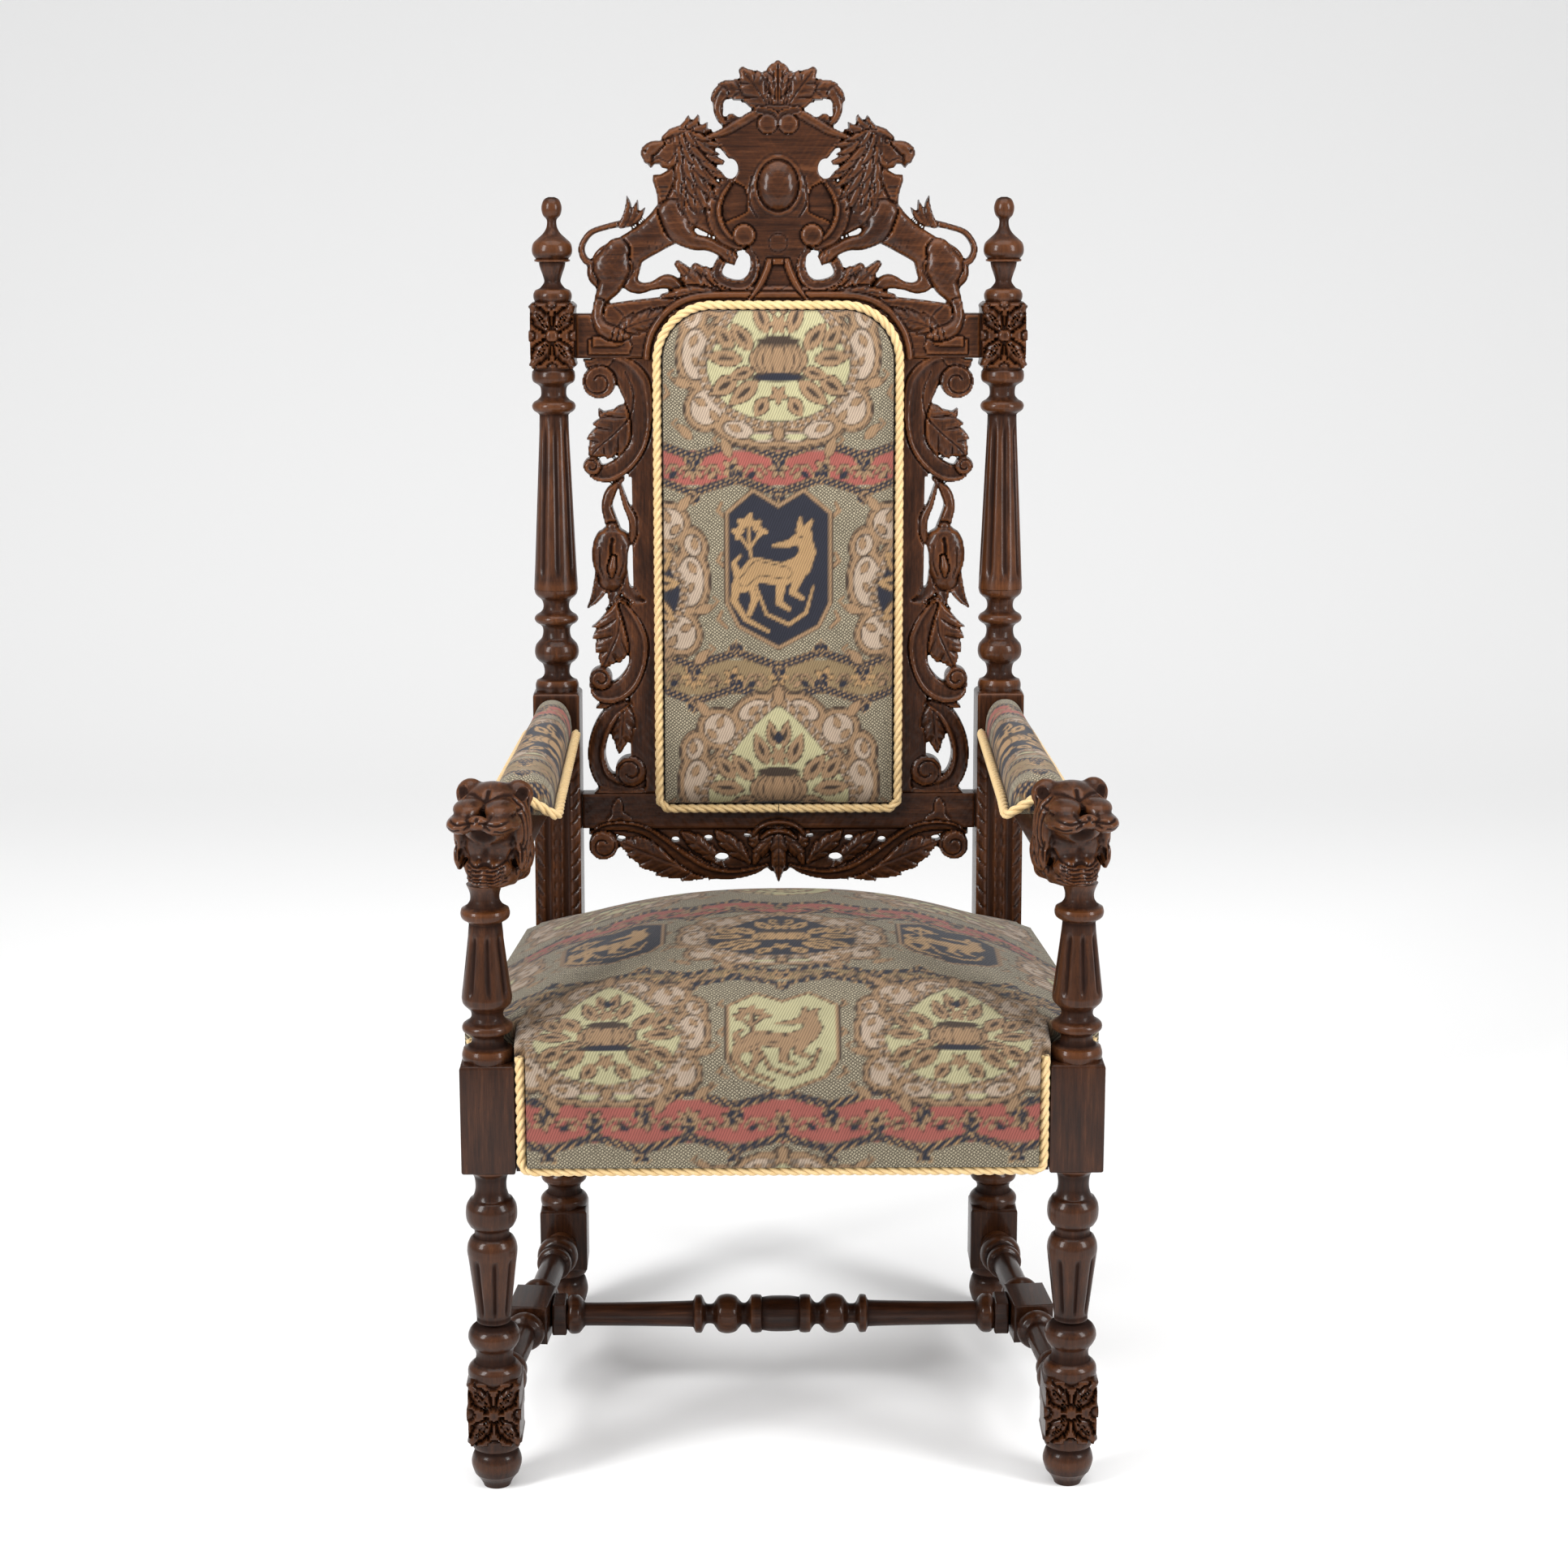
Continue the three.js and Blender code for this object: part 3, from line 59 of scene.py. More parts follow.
# %% The two drawing frames
MM = 0.001
LEAN = math.radians(3.5)
HALF_POST, FRONT_POST_X, BACK_POST_X = 28.5, 309, 260
BACK_LINE, LEAN_FROM = 478, 431
front_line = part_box("front_post_left")[1].y / MM - HALF_POST
room = Matrix.Scale(MM, 4) @ Matrix.Translation((0, front_line, 0))
leaning = room @ Matrix.Translation((0, BACK_LINE, LEAN_FROM)) @ Matrix.Rotation(-LEAN, 4, "X")
board_frame = leaning @ Matrix.Rotation(math.radians(90), 4, "X")
print("front legs stand at y =", round(front_line, 1), "mm")


# %% [markdown]
# ## The room around the chair
# A photograph of furniture is taken on a pale sweep: the floor runs back and curves up without a corner.
# One plane with a raised back edge does that. Three large soft lamps stand in for the studio's boxes.

# %% Floor, lamps and camera
def finish_mesh(name, cut):
    mesh = bpy.data.meshes.new(name)
    cut.to_mesh(mesh)
    cut.free()
    mesh.polygons.foreach_set("use_smooth", [True] * len(mesh.polygons))
    piece = bpy.data.objects.new(name, mesh)
    bpy.context.scene.collection.objects.link(piece)
    return piece


sweep = bmesh.new()
bmesh.ops.create_grid(sweep, x_segments=4, y_segments=60, size=7.0)
for corner in sweep.verts:
    past = max(0.0, corner.co.y - 3.0)
    corner.co.z = 0.22 * past ** 2
floor = finish_mesh("studio_floor", sweep)
pale = bpy.data.materials.new("studio_paper")
pale.use_nodes = True
paper = pale.node_tree.nodes["Principled BSDF"].inputs
paper["Base Color"].default_value = (0.95, 0.95, 0.95, 1)
paper["Roughness"].default_value = 0.9
floor.data.materials.append(pale)


def soft_lamp(name, place, aim, size, power):
    light = bpy.data.lights.new(name, "AREA")
    light.shape = "RECTANGLE"
    light.size, light.size_y = size
    light.energy = power
    lamp = bpy.data.objects.new(name, light)
    lamp.location = place
    lamp.rotation_euler = (Vector(aim) - Vector(place)).to_track_quat("-Z", "Y").to_euler()
    bpy.context.scene.collection.objects.link(lamp)


soft_lamp("left_box", (-2.6, -2.0, 2.2), (0, 0, 0.8), (1.0, 2.2), 125)
soft_lamp("right_box", (2.7, -1.8, 2.0), (0, 0, 0.8), (1.0, 2.2), 95)
soft_lamp("top_box", (0, -0.6, 3.4), (0, 0, 0.6), (3.0, 2.2), 55)
world = bpy.data.worlds.new("studio")
world.use_nodes = True
glow = world.node_tree.nodes["Background"].inputs
glow["Color"].default_value = (1, 1, 1, 1)
glow["Strength"].default_value = 0.56
bpy.context.scene.world = world
bpy.context.scene.view_settings.view_transform = "Standard"

FOCAL_LENGTH, LOOK_DOWN, LOOK_ASIDE = 76.4, math.radians(13.26), math.radians(0.57)
lens = bpy.data.cameras.new("view")
lens.lens = FOCAL_LENGTH
lens.sensor_width = 36
camera = bpy.data.objects.new("view", lens)
camera.location = (-0.0316, front_line * MM - 3.339, 1.5643)
camera.rotation_euler = (math.radians(90) - LOOK_DOWN, 0, -LOOK_ASIDE)
bpy.context.scene.collection.objects.link(camera)
bpy.context.scene.camera = camera
print("camera at", [round(v, 3) for v in camera.location])

# %% [markdown]
# ## Writing shaders as sums
# A shader is a small calculation. Linking dozens of nodes by hand hides what it works out, so one class
# wraps a socket and gives it the arithmetic signs. `bench` makes any other node in one call.

# %% A socket that can be added and multiplied
class Flow:
    def __init__(self, bench, socket):
        self.bench, self.socket = bench, socket

    def _maths(self, operation, first, second):
        return self.bench.node("ShaderNodeMath", {"operation": operation}, {0: first, 1: second})

    def __add__(self, other): return self._maths("ADD", self, other)
    def __radd__(self, other): return self._maths("ADD", other, self)
    def __sub__(self, other): return self._maths("SUBTRACT", self, other)
    def __rsub__(self, other): return self._maths("SUBTRACT", other, self)
    def __mul__(self, other): return self._maths("MULTIPLY", self, other)


class Bench:
    def __init__(self, name):
        self.material = bpy.data.materials.new(name)
        self.material.use_nodes = True
        self.tree = self.material.node_tree
        self.shader = self.tree.nodes["Principled BSDF"]

    def plug(self, socket, value):
        if isinstance(value, Flow):
            self.tree.links.new(value.socket, socket)
        else:
            socket.default_value = value

    def node(self, kind, settings=None, inputs=None, output=0):
        made = self.tree.nodes.new(kind)
        for key, value in (settings or {}).items():
            if key == "stops":
                ramp = made.color_ramp
                while len(ramp.elements) < len(value):
                    ramp.elements.new(0.5)
                for element, (place, colour) in zip(ramp.elements, value):
                    element.position = place
                    element.color = colour if len(colour) == 4 else (*colour, 1)
            else:
                setattr(made, key, value)
        for key, value in (inputs or {}).items():
            self.plug(made.inputs[key], value)
        return Flow(self, made.outputs[output])

    def shade(self, **sockets):
        for name, value in sockets.items():
            self.plug(self.shader.inputs[name.replace("_", " ")], value)

    def noise(self, place, scale, detail=4.0, roughness=0.6):
        return self.node("ShaderNodeTexNoise", None, {"Vector": place, "Scale": scale, "Detail": detail,
                                                      "Roughness": roughness})

    def stretch(self, place, scale, turn=(0, 0, 0)):
        return self.node("ShaderNodeMapping", None, {"Vector": place, "Scale": scale, "Rotation": turn})

    def mix(self, share, first, second, blend="MIX"):
        made = self.tree.nodes.new("ShaderNodeMix")
        made.data_type = "RGBA"
        made.blend_type = blend
        for key, value in ((0, share), (6, first), (7, second)):
            self.plug(made.inputs[key], value)
        return Flow(self, made.outputs[2])

    def clamp(self, value, low, high, to_low=0.0, to_high=1.0):
        return self.node("ShaderNodeMapRange", None, {"Value": value, "From Min": low, "From Max": high,
                                                      "To Min": to_low, "To Max": to_high})


# %% [markdown]
# ## Old waxed oak
# The wood is dark brown oak under a century of wax. Its grain runs along each piece: long pale and dark
# streaks, with short dark pores between them. Raised edges are painted lighter and more reddish, partly
# rubbed wear and partly painted highlight. The hollows of the carving are painted dark, partly dark wax
# and partly painted shade. Lower down, towards the floor, the colour is painted darker as painted shade.
# The grain is noise drawn out along one axis. Ridges and hollows come from `wear`, a number
# that each carved mesh stores at its points: above zero on ridges, below in hollows.

# %% Oak for the three directions of the grain
def oak(name, along):
    bench = Bench(name)
    place = bench.node("ShaderNodeTexCoord", output=3)
    drawn_out = [1.0, 1.0, 1.0]
    drawn_out[along] = 0.07
    streaks = bench.noise(bench.stretch(place, tuple(drawn_out)), 190.0, 5.0, 0.65)
    drawn_out[along] = 0.03
    fine = bench.noise(bench.stretch(place, tuple(drawn_out)), 900.0, 3.0, 0.7)
    drawn_out[along] = 0.12
    pores = bench.noise(bench.stretch(place, tuple(drawn_out)), 1500.0, 2.0, 0.5)
    cloud = bench.noise(place, 14.0, 3.0, 0.55)
    wear = bench.node("ShaderNodeAttribute", {"attribute_name": "wear"}, output=2)
    ridge = bench.clamp(wear + (cloud - 0.5) * 0.5, 0.05, 0.75)
    hollow = bench.clamp(wear * -1.0, 0.05, 0.7)
    tone = bench.node("ShaderNodeValToRGB", {"stops": [
        (0.2, (0.005, 0.0017, 0.0008)), (0.42, (0.017, 0.0055, 0.0022)),
        (0.56, (0.044, 0.0145, 0.0055)), (0.75, (0.130, 0.048, 0.0190))]},
        {"Fac": streaks * 0.55 + fine * 0.25 + cloud * 0.25 - 0.02})
    # Ridges are painted lighter and redder: partly rubbed wear, partly painted highlight.
    worn_and_shaded = bench.mix(ridge * 0.4, tone, (0.180, 0.060, 0.017, 1))
    pore = bench.clamp(pores, 0.36, 0.3)
    pitted = bench.mix(pore * 0.6, worn_and_shaded, (0.008, 0.003, 0.002, 1))
    # Hollows are painted near black: partly dark wax, partly painted shade.
    waxed_and_shaded = bench.mix(hollow * 0.8, pitted, (0.008, 0.0024, 0.0012, 1))
    # Painted shade: the colour is mixed towards near black lower down, towards the floor.
    above_floor = bench.node("ShaderNodeSeparateXYZ", None, {"Vector": place}, 2)
    waxed_and_shaded = bench.mix(bench.clamp(above_floor, 0.4, 0.95, 0.38, 0.0), waxed_and_shaded, (0.009, 0.003, 0.0015, 1))
    height = streaks * 0.4 + fine * 0.5 - pore * 0.5
    bump = bench.node("ShaderNodeBump", None, {"Height": height, "Strength": 0.35, "Distance": 0.0006})
    bench.shade(Base_Color=waxed_and_shaded, Roughness=0.25 + fine * 0.16 + hollow * 0.45 + pore * 0.12, Normal=bump,
                Coat_Weight=bench.clamp(hollow, 0.0, 0.6, 0.24, 0.0), Coat_Roughness=0.12)
    bench.shader.inputs["Specular IOR Level"].default_value = 0.1
    return bench.material


oak_upright = oak("oak_upright", 2)
oak_across = oak("oak_across", 0)
oak_deep = oak("oak_deep", 1)


def dress(piece, *materials):
    piece.data.materials.clear()
    for material in materials:
        piece.data.materials.append(material)


grain_across = ("crest_rail", "lower_rail", "cross_stretcher", "seat_rail_front", "seat_rail_back")
grain_deep = ("side_stretcher_left", "side_stretcher_right", "seat_rail_left", "seat_rail_right", "arm_left",
              "arm_right")
for node_name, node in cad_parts.items():
    if node_name in grain_across:
        dress(node, oak_across)
    elif node_name in grain_deep:
        dress(node, oak_deep)
    else:
        dress(node, oak_upright)
print("oak in three directions on", len(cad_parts), "solids")

# %% [markdown]
# ## Carving as a landscape
# The boards of the back are sawn to an outline and then carved from the front, so one height over each
# point of the board describes them. A fine grid is laid over the board. Each carved form, such as a limb,
# a leaf or a button, says how far a point lies inside it and how high it stands there, and is laid over the
# forms before it with a parting cut round its edge. Cells outside the outline are deleted, the rim is drawn
# onto the outline, and the rim is extruded to the back and filled.

# %% A smooth line through knots, and soft steps
def spline(knots, count):
    points = np.array(knots, float)
    points = np.vstack([2 * points[0] - points[1], points, 2 * points[-1] - points[-2]])
    places = np.linspace(0, len(knots) - 1, count)
    first = np.minimum(places.astype(int), len(knots) - 2)
    part = (places - first)[:, None]
    a, b, c, d = points[first], points[first + 1], points[first + 2], points[first + 3]
    return 0.5 * (2 * b + (c - a) * part + (2 * a - 5 * b + 4 * c - d) * part ** 2
                  + (3 * b - a - 3 * c + d) * part ** 3)


def ease(value, low, high):
    share = np.clip((value - low) / (high - low), 0, 1)
    return share * share * (3 - 2 * share)


def blurred(values, reach):
    out = values.copy()
    for _ in range(2):
        for axis in (0, 1):
            total = np.cumsum(np.insert(out, 0, 0, axis=axis), axis=axis)
            size = out.shape[axis]
            low = np.clip(np.arange(size) - reach, 0, size)
            high = np.clip(np.arange(size) + reach + 1, 0, size)
            share = (high - low).reshape((-1, 1) if axis == 0 else (1, -1))
            out = (np.take(total, high, axis) - np.take(total, low, axis)) / share
    return out


# %% The relief and the forms that are laid on it
VEIN_SLANT = 0.85
OUTSIDE, GROUND = -9.0, -3.0


class Relief:
    def __init__(self, low, high, cell, fold=False):
        self.cells = [int(round((high[i] - low[i]) / cell)) for i in (0, 1)]
        self.xs = np.linspace(low[0], high[0], self.cells[0] + 1)
        self.ys = np.linspace(low[1], high[1], self.cells[1] + 1)
        self.x, self.y = np.meshgrid(self.xs, self.ys)
        if fold:
            self.x = -np.abs(self.x)
        self.cell = cell
        self.inside = np.full(self.x.shape, OUTSIDE)
        self.height = np.full(self.x.shape, GROUND)

    def near(self, points, reach):
        low, high = points.min(0) - reach, points.max(0) + reach
        return np.nonzero((self.x > low[0]) & (self.x < high[0]) & (self.y > low[1]) & (self.y < high[1]))

    def lay(self, spot, inside, height, groove=1.0, blend=0.0):
        old, on = self.height[spot], self.inside[spot] > 0
        parting = groove * np.clip(1 + inside / 1.8, 0, 1) * (inside < 0) * on
        if blend:
            gap = np.clip(0.5 + 0.5 * (height - old) / blend, 0, 1)
            joined = old * (1 - gap) + height * gap + blend * gap * (1 - gap)
            new = np.where(on, joined, height)
        else:
            new = height
        self.height[spot] = np.where(inside > 0, new, old - parting)
        self.inside[spot] = np.maximum(self.inside[spot], inside)

    def along(self, knots, reach=4.0):
        count = max(24, int(8 * len(knots)))
        path = spline(knots, count)
        tangent = np.gradient(path[:, :2], axis=0)
        tangent /= np.linalg.norm(tangent, axis=1)[:, None] + 1e-9
        length = np.insert(np.cumsum(np.linalg.norm(np.diff(path[:, :2], axis=0), axis=1)), 0, 0)
        spot = self.near(path[:, :2], path[:, 2].max() + reach)
        away = np.stack([self.x[spot], self.y[spot]], 1)[:, None, :] - path[None, :, :2]
        nearest = (away ** 2).sum(2).argmin(1)
        away = away[np.arange(len(nearest)), nearest]
        forward = (away * tangent[nearest]).sum(1)
        side = away[:, 1] * tangent[nearest, 0] - away[:, 0] * tangent[nearest, 1]
        past_end = ((nearest == 0) & (forward < 0)) | ((nearest == count - 1) & (forward > 0))
        distance = np.where(past_end, np.hypot(away[:, 0], away[:, 1]), np.abs(side))
        width = np.maximum(path[nearest, 2], 0.3)
        return spot, distance, np.sign(side), length[nearest] + forward, length[-1], width, path[nearest, 3]

    def limb(self, knots, style="round", groove=1.0, blend=0.0, root=0.45):
        spot, distance, side, _, _, width, top = self.along(knots)
        share = np.clip(distance / width, 0, 1)
        dome = np.sqrt(1 - share ** 2)
        if style == "round":
            level = root + (1 - root) * dome
        elif style == "band":
            level = 0.86 + 0.14 * ease(share, 0.35, 0.75) - 0.22 * ease(share, 0.86, 1.0)
        elif style == "cove":
            level = 0.62 + 0.38 * share ** 2 - 0.2 * ease(share, 0.9, 1.0)
        else:
            outer = ease(side * share, 0.25, 0.6)
            level = 0.74 + 0.26 * outer - 0.25 * ease(share, 0.88, 1.0) - 0.1 * ease(-side * share, 0.3, 0.9)
        self.lay(spot, width - distance, top * level, groove, blend)

    def leaf(self, knots, lobes, groove=1.0, notch=0.36, depth=1.6):
        spot, distance, _, run, whole, width, top = self.along(knots)
        phase = np.clip((run - VEIN_SLANT * distance) / whole, -0.2, 1.0) * lobes
        part = phase - np.floor(phase)
        swell = (0.25 + 0.75 * part ** 0.8) * (1 - ease(part, 0.9, 1.0)) + 0.25 * ease(part, 0.9, 1.0)
        edge = width * (1 - notch * (1 - swell))
        share = np.clip(distance / edge, 0, 1)
        midrib = np.exp(-(distance / 1.1) ** 2)
        cut = np.exp(-((phase - np.round(phase)) * whole / lobes / 1.7) ** 2) * ease(share, 0.08, 0.4)
        fine = 0.35 * np.cos(2 * math.pi * phase * 3) * ease(share, 0.15, 0.5)
        level = top * (1 - 0.30 * share ** 2) - depth * midrib * 0.8 - depth * cut + fine
        self.lay(spot, edge - distance, level, groove)

    def button(self, x, y, radius, top, groove=1.4, flat=5.0, drop=0.16, tall=1.0):
        spot = self.near(np.array([[x, y]]), radius * max(1, tall) + 4)
        distance = np.hypot(self.x[spot] - x, (self.y[spot] - y) / tall)
        share = np.clip(distance / radius, 0, 1)
        self.lay(spot, radius - distance, top * (1 - drop * share ** flat), groove)

    def volute(self, x, y, radius, top, hand=1, start=0.0, **cuts):
        self.button(x, y, radius, top, **cuts)
        turns = start + hand * np.linspace(0, 2.3 * math.pi, 22)
        reach = radius * np.linspace(0.96, 0.30, 22)
        self.incise([(x + r * math.cos(t), y + r * math.sin(t)) for r, t in zip(reach, turns)], 1.4, 2.0)

    def outline_depth(self, outline):
        corners = np.array(outline, float)
        spot = self.near(corners, 4)
        px, py = self.x[spot], self.y[spot]
        nearest = np.full(px.shape, 1e9)
        within = np.zeros(px.shape, bool)
        for (ax, ay), (bx, by) in zip(corners, np.roll(corners, -1, axis=0)):
            dx, dy = bx - ax, by - ay
            share = np.clip(((px - ax) * dx + (py - ay) * dy) / (dx * dx + dy * dy + 1e-9), 0, 1)
            nearest = np.minimum(nearest, np.hypot(px - ax - share * dx, py - ay - share * dy))
            crossed = ((ay > py) != (by > py)) & (px < (bx - ax) * (py - ay) / (by - ay + 1e-12) + ax)
            within ^= crossed
        return spot, np.where(within, nearest, -nearest)

    def slab(self, outline, top, groove=0.0, edge=2.0, drop=1.2, smooth=0, tilt=None):
        if smooth:
            outline = spline([*outline, outline[0]], smooth)[:-1]
        spot, inside = self.outline_depth(outline)
        level = top - drop * (1 - ease(inside, 0, edge))
        if tilt:
            level = level + tilt(self.x[spot], self.y[spot])
        self.lay(spot, inside, level, groove)

    def pierce(self, outline):
        spot, inside = self.outline_depth(outline)
        self.inside[spot] = np.minimum(self.inside[spot], -inside)
        self.height[spot] -= 0.8 * np.clip(1 + inside / 2.0, 0, 1) * (inside < 0)

    def incise(self, knots, width, depth):
        spot, distance, *_ = self.along([(*knot, width, 0) for knot in knots], 2)
        self.height[spot] -= depth * np.clip(1 - (distance / width) ** 2, 0, 1)

    def hand_worn(self, amount=0.22):
        x, y = self.x, self.y
        self.height += amount * (np.sin(x * 0.31 + 1.7 * np.sin(y * 0.13)) * np.sin(y * 0.27 + 1.3)
                                 + 0.5 * np.sin(x * 0.83 + y * 0.57))


# %% From a relief to a closed mesh
def carve(relief, back, place, extra=None):
    cut = bmesh.new()
    across, up = relief.cells
    bmesh.ops.create_grid(cut, x_segments=across, y_segments=up, size=0.5)
    wear = cut.verts.layers.float.new("wear")
    solid = np.where(relief.inside > -1.5, relief.height, np.nan)
    filled = np.where(np.isnan(solid), back + 3, solid)
    # Convexity of the carving, stored for the colour: ridges painted lighter (rubbed wear and painted highlight),
    # hollows painted darker (wax and painted shade).
    ridge = np.clip((filled - blurred(filled, max(1, int(2.4 / relief.cell)))) / 1.1, -1, 1)
    ridge = np.where(relief.inside < 2.4, np.maximum(ridge, -0.15) * 0.2, ridge)
    indices = {}
    for corner in cut.verts:
        column = int(round((corner.co.x + 0.5) * across))
        row = int(round((corner.co.y + 0.5) * up))
        indices[corner] = (row, column)
        corner[wear] = ridge[row, column]
        corner.co = (relief.xs[column], relief.ys[row], relief.height[row, column])
    gone = [cell for cell in cut.faces if all(relief.inside[indices[v]] <= 0 for v in cell.verts)]
    bmesh.ops.delete(cut, geom=gone, context="FACES")
    for corner in cut.verts:
        row, column = indices[corner]
        depth = relief.inside[row, column]
        if depth >= 0:
            continue
        inner = [v for face in corner.link_faces for v in face.verts if relief.inside[indices[v]] > 0]
        share = Vector((0, 0, 0))
        for other in inner:
            other_depth = relief.inside[indices[other]]
            share += corner.co.lerp(Vector((relief.xs[indices[other][1]], relief.ys[indices[other][0]],
                                            relief.height[indices[other]])), -depth / (other_depth - depth))
        corner.co = share / len(inner)
        corner[wear] = 0.1
    rim = [edge for edge in cut.edges if edge.is_boundary]
    for edge in rim:
        for corner in edge.verts:
            inner = [v.co.z for face in corner.link_faces for v in face.verts if not v.is_boundary]
            if inner:
                corner.co.z = min(corner.co.z, sum(inner) / len(inner) - 0.35)
    copied = bmesh.ops.duplicate(cut, geom=list(cut.faces))["geom"]
    back_corners = [part for part in copied if isinstance(part, bmesh.types.BMVert)]
    walls = bmesh.ops.extrude_edge_only(cut, edges=rim)["geom"]
    for corner in [part for part in walls if isinstance(part, bmesh.types.BMVert)] + back_corners:
        corner.co.z = back
        corner[wear] = -0.1
    joined = [v for v in cut.verts if abs(v.co.z - back) < 1e-6]
    bmesh.ops.remove_doubles(cut, verts=joined, dist=1e-4)
    bmesh.ops.recalc_face_normals(cut, faces=cut.faces)
    if extra:
        extra(cut)
    bmesh.ops.transform(cut, matrix=place, verts=cut.verts)
    return cut


def wooden(name, cut, material):
    piece = finish_mesh(name, cut)
    dress(piece, material)
    piece.data.set_sharp_from_angle(angle=math.radians(42))
    print(name, "has", sum(len(face.vertices) - 2 for face in piece.data.polygons), "triangles")
    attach(piece, "root")
    return piece


def wooden_at(name, cut, place, material):
    bmesh.ops.transform(cut, matrix=place, verts=cut.verts)
    bmesh.ops.recalc_face_normals(cut, faces=cut.faces)
    return wooden(name, cut, material)


# adds the mesh `made` to the mesh `cut`
def pour(made, cut):
    scratch = bpy.data.meshes.new("scratch")
    made.to_mesh(scratch)
    made.free()
    cut.from_mesh(scratch)
    bpy.data.meshes.remove(scratch)


# %% [markdown]
# ## Turning on a lathe
# The posts and stretchers were squared, then turned where they are round. A turner thinks in beads, coves
# and small square steps, so a profile here is a list of radius and height, with a 1 behind a point where
# the tool leaves a crisp corner. Between crisp corners the line is a smooth spline. `spin` turns it round
# the axis. Flutes are pressed into the skin afterwards by moving its points towards the axis.

# %% Profile, spin and flutes
def profile_line(pairs):
    line = []
    run = []
    for pair in pairs:
        run.append(pair[:2])
        if len(pair) > 2 or pair is pairs[-1]:
            if len(run) > 2:
                line += [tuple(p) for p in spline(run, 3 * len(run) + 1)[:-1]]
            else:
                line += run[:-1]
            run = [pair[:2]]
    return np.array(line + run)


FLUTES, FLUTE_TURN = 8, 0.3


def add_turning(cut, pairs, steps=40, flutes=None, depth=3.0):
    line = profile_line(pairs)
    smooth = np.array([line[max(0, i - 5):i + 6, 0].mean() for i in range(len(line))])
    wear = cut.verts.layers.float.get("wear") or cut.verts.layers.float.new("wear")
    if flutes:
        below, above = line[:, 1] <= flutes[0], line[:, 1] >= flutes[1]
        low, high = line[below][-1], line[above][0]
        between = np.linspace(0, 1, 26)[1:-1, None] * (high - low) + low
        smooth = np.concatenate([smooth[below], between[:, 0], smooth[above]])
        line = np.concatenate([line[below], between, line[above]])
    points = [(0.0, line[0][1])] + [tuple(p) for p in line] + [(0.0, line[-1][1])]
    # Beads get higher values and coves lower, for lighter and darker colour: wear and wax, partly painted
    # highlight and painted shade.
    worn_and_shaded = [0.0] + [float(np.clip((r - s) / 3.5, -0.8, 0.8)) for (r, _), s in zip(line, smooth)] + [0.0]
    before = set(cut.verts)
    corners = []
    for (radius, height), value in zip(points, worn_and_shaded):
        corner = cut.verts.new((radius, 0, height))
        corner[wear] = value
        corners.append(corner)
    edges = [cut.edges.new(pair) for pair in zip(corners, corners[1:])]
    bmesh.ops.spin(cut, geom=corners + edges, cent=(0, 0, 0), axis=(0, 0, 1), dvec=(0, 0, 0),
                   angle=2 * math.pi, steps=steps, use_merge=True, use_normal_flip=False,
                   use_duplicate=False)
    made = [corner for corner in cut.verts if corner not in before]
    poles = [corner for corner in made if math.hypot(corner.co.x, corner.co.y) < 1e-4]
    bmesh.ops.remove_doubles(cut, verts=poles, dist=1e-4)
    made = [corner for corner in cut.verts if corner not in before]
    if flutes:
        step = 2 * math.pi / FLUTES
        for corner in made:
            if not flutes[0] < corner.co.z < flutes[1]:
                continue
            radius = math.hypot(corner.co.x, corner.co.y)
            angle = (math.atan2(corner.co.y, corner.co.x) / step + FLUTE_TURN) % 1.0 - 0.5
            near_end = min(corner.co.z - flutes[0], flutes[1] - corner.co.z)
            rounded = math.sqrt(max(0.0, 1 - max(0.0, 1 - near_end / 9.0) ** 2))
            groove = math.exp(-(angle * step * radius / (0.5 + 1.9 * rounded)) ** 2) * rounded
            scale = (radius - depth * groove) / radius
            corner.co.x *= scale
            corner.co.y *= scale
            # The grooves of the flutes are painted darker: wax and painted shade.
            corner[wear] = 0.25 - 1.1 * groove
    return made


def add_block(cut, width, low, high, shoulder=4.0):
    made = bmesh.ops.create_cube(cut, size=1.0)["verts"]
    bmesh.ops.scale(cut, vec=(width, width, high - low), verts=made)
    bmesh.ops.translate(cut, vec=(0, 0, (low + high) / 2), verts=made)
    ends = list({edge for corner in made for edge in corner.link_edges
                 if abs(edge.verts[0].co.z - edge.verts[1].co.z) < 1e-6})
    bmesh.ops.bevel(cut, geom=ends, offset=shoulder, offset_type="OFFSET", affect="EDGES", segments=3,
                    profile=0.5, material=-1)
    uprights = [edge for edge in cut.edges if edge.is_valid and edge.calc_length() > 0.5 * (high - low)
                and low - 1 < edge.verts[0].co.z < high + 1]
    bmesh.ops.bevel(cut, geom=uprights, offset=1.0, offset_type="OFFSET", affect="EDGES", segments=2,
                    profile=0.5, material=-1)


def add_carved_block(cut, width, low, high, draw):
    half, margin, shoulder = width / 2, 0.8, 3.5
    relief = Relief((-half - margin, low - margin), (half + margin, high + margin), 1.8)
    relief.slab([(-half, low), (half, low), (half, high), (-half, high)], half, edge=1.4, drop=1.0)
    draw(relief, half, (low + high) / 2, (high - low) / 2)
    made = carve(relief, -half, Matrix.Identity(4))
    marks = made.verts.layers.float["wear"]
    for corner in made.verts:
        near_end = min(corner.co.y - low, high - corner.co.y)
        if near_end < shoulder:
            shrink = 1 - (shoulder - max(0, near_end)) / half
            corner.co.x *= shrink
            corner.co.z *= shrink
        corner[marks] *= 0.55
    bmesh.ops.rotate(made, cent=(0, 0, 0), matrix=Matrix.Rotation(math.radians(90), 3, "X"), verts=made.verts)
    pour(made, cut)


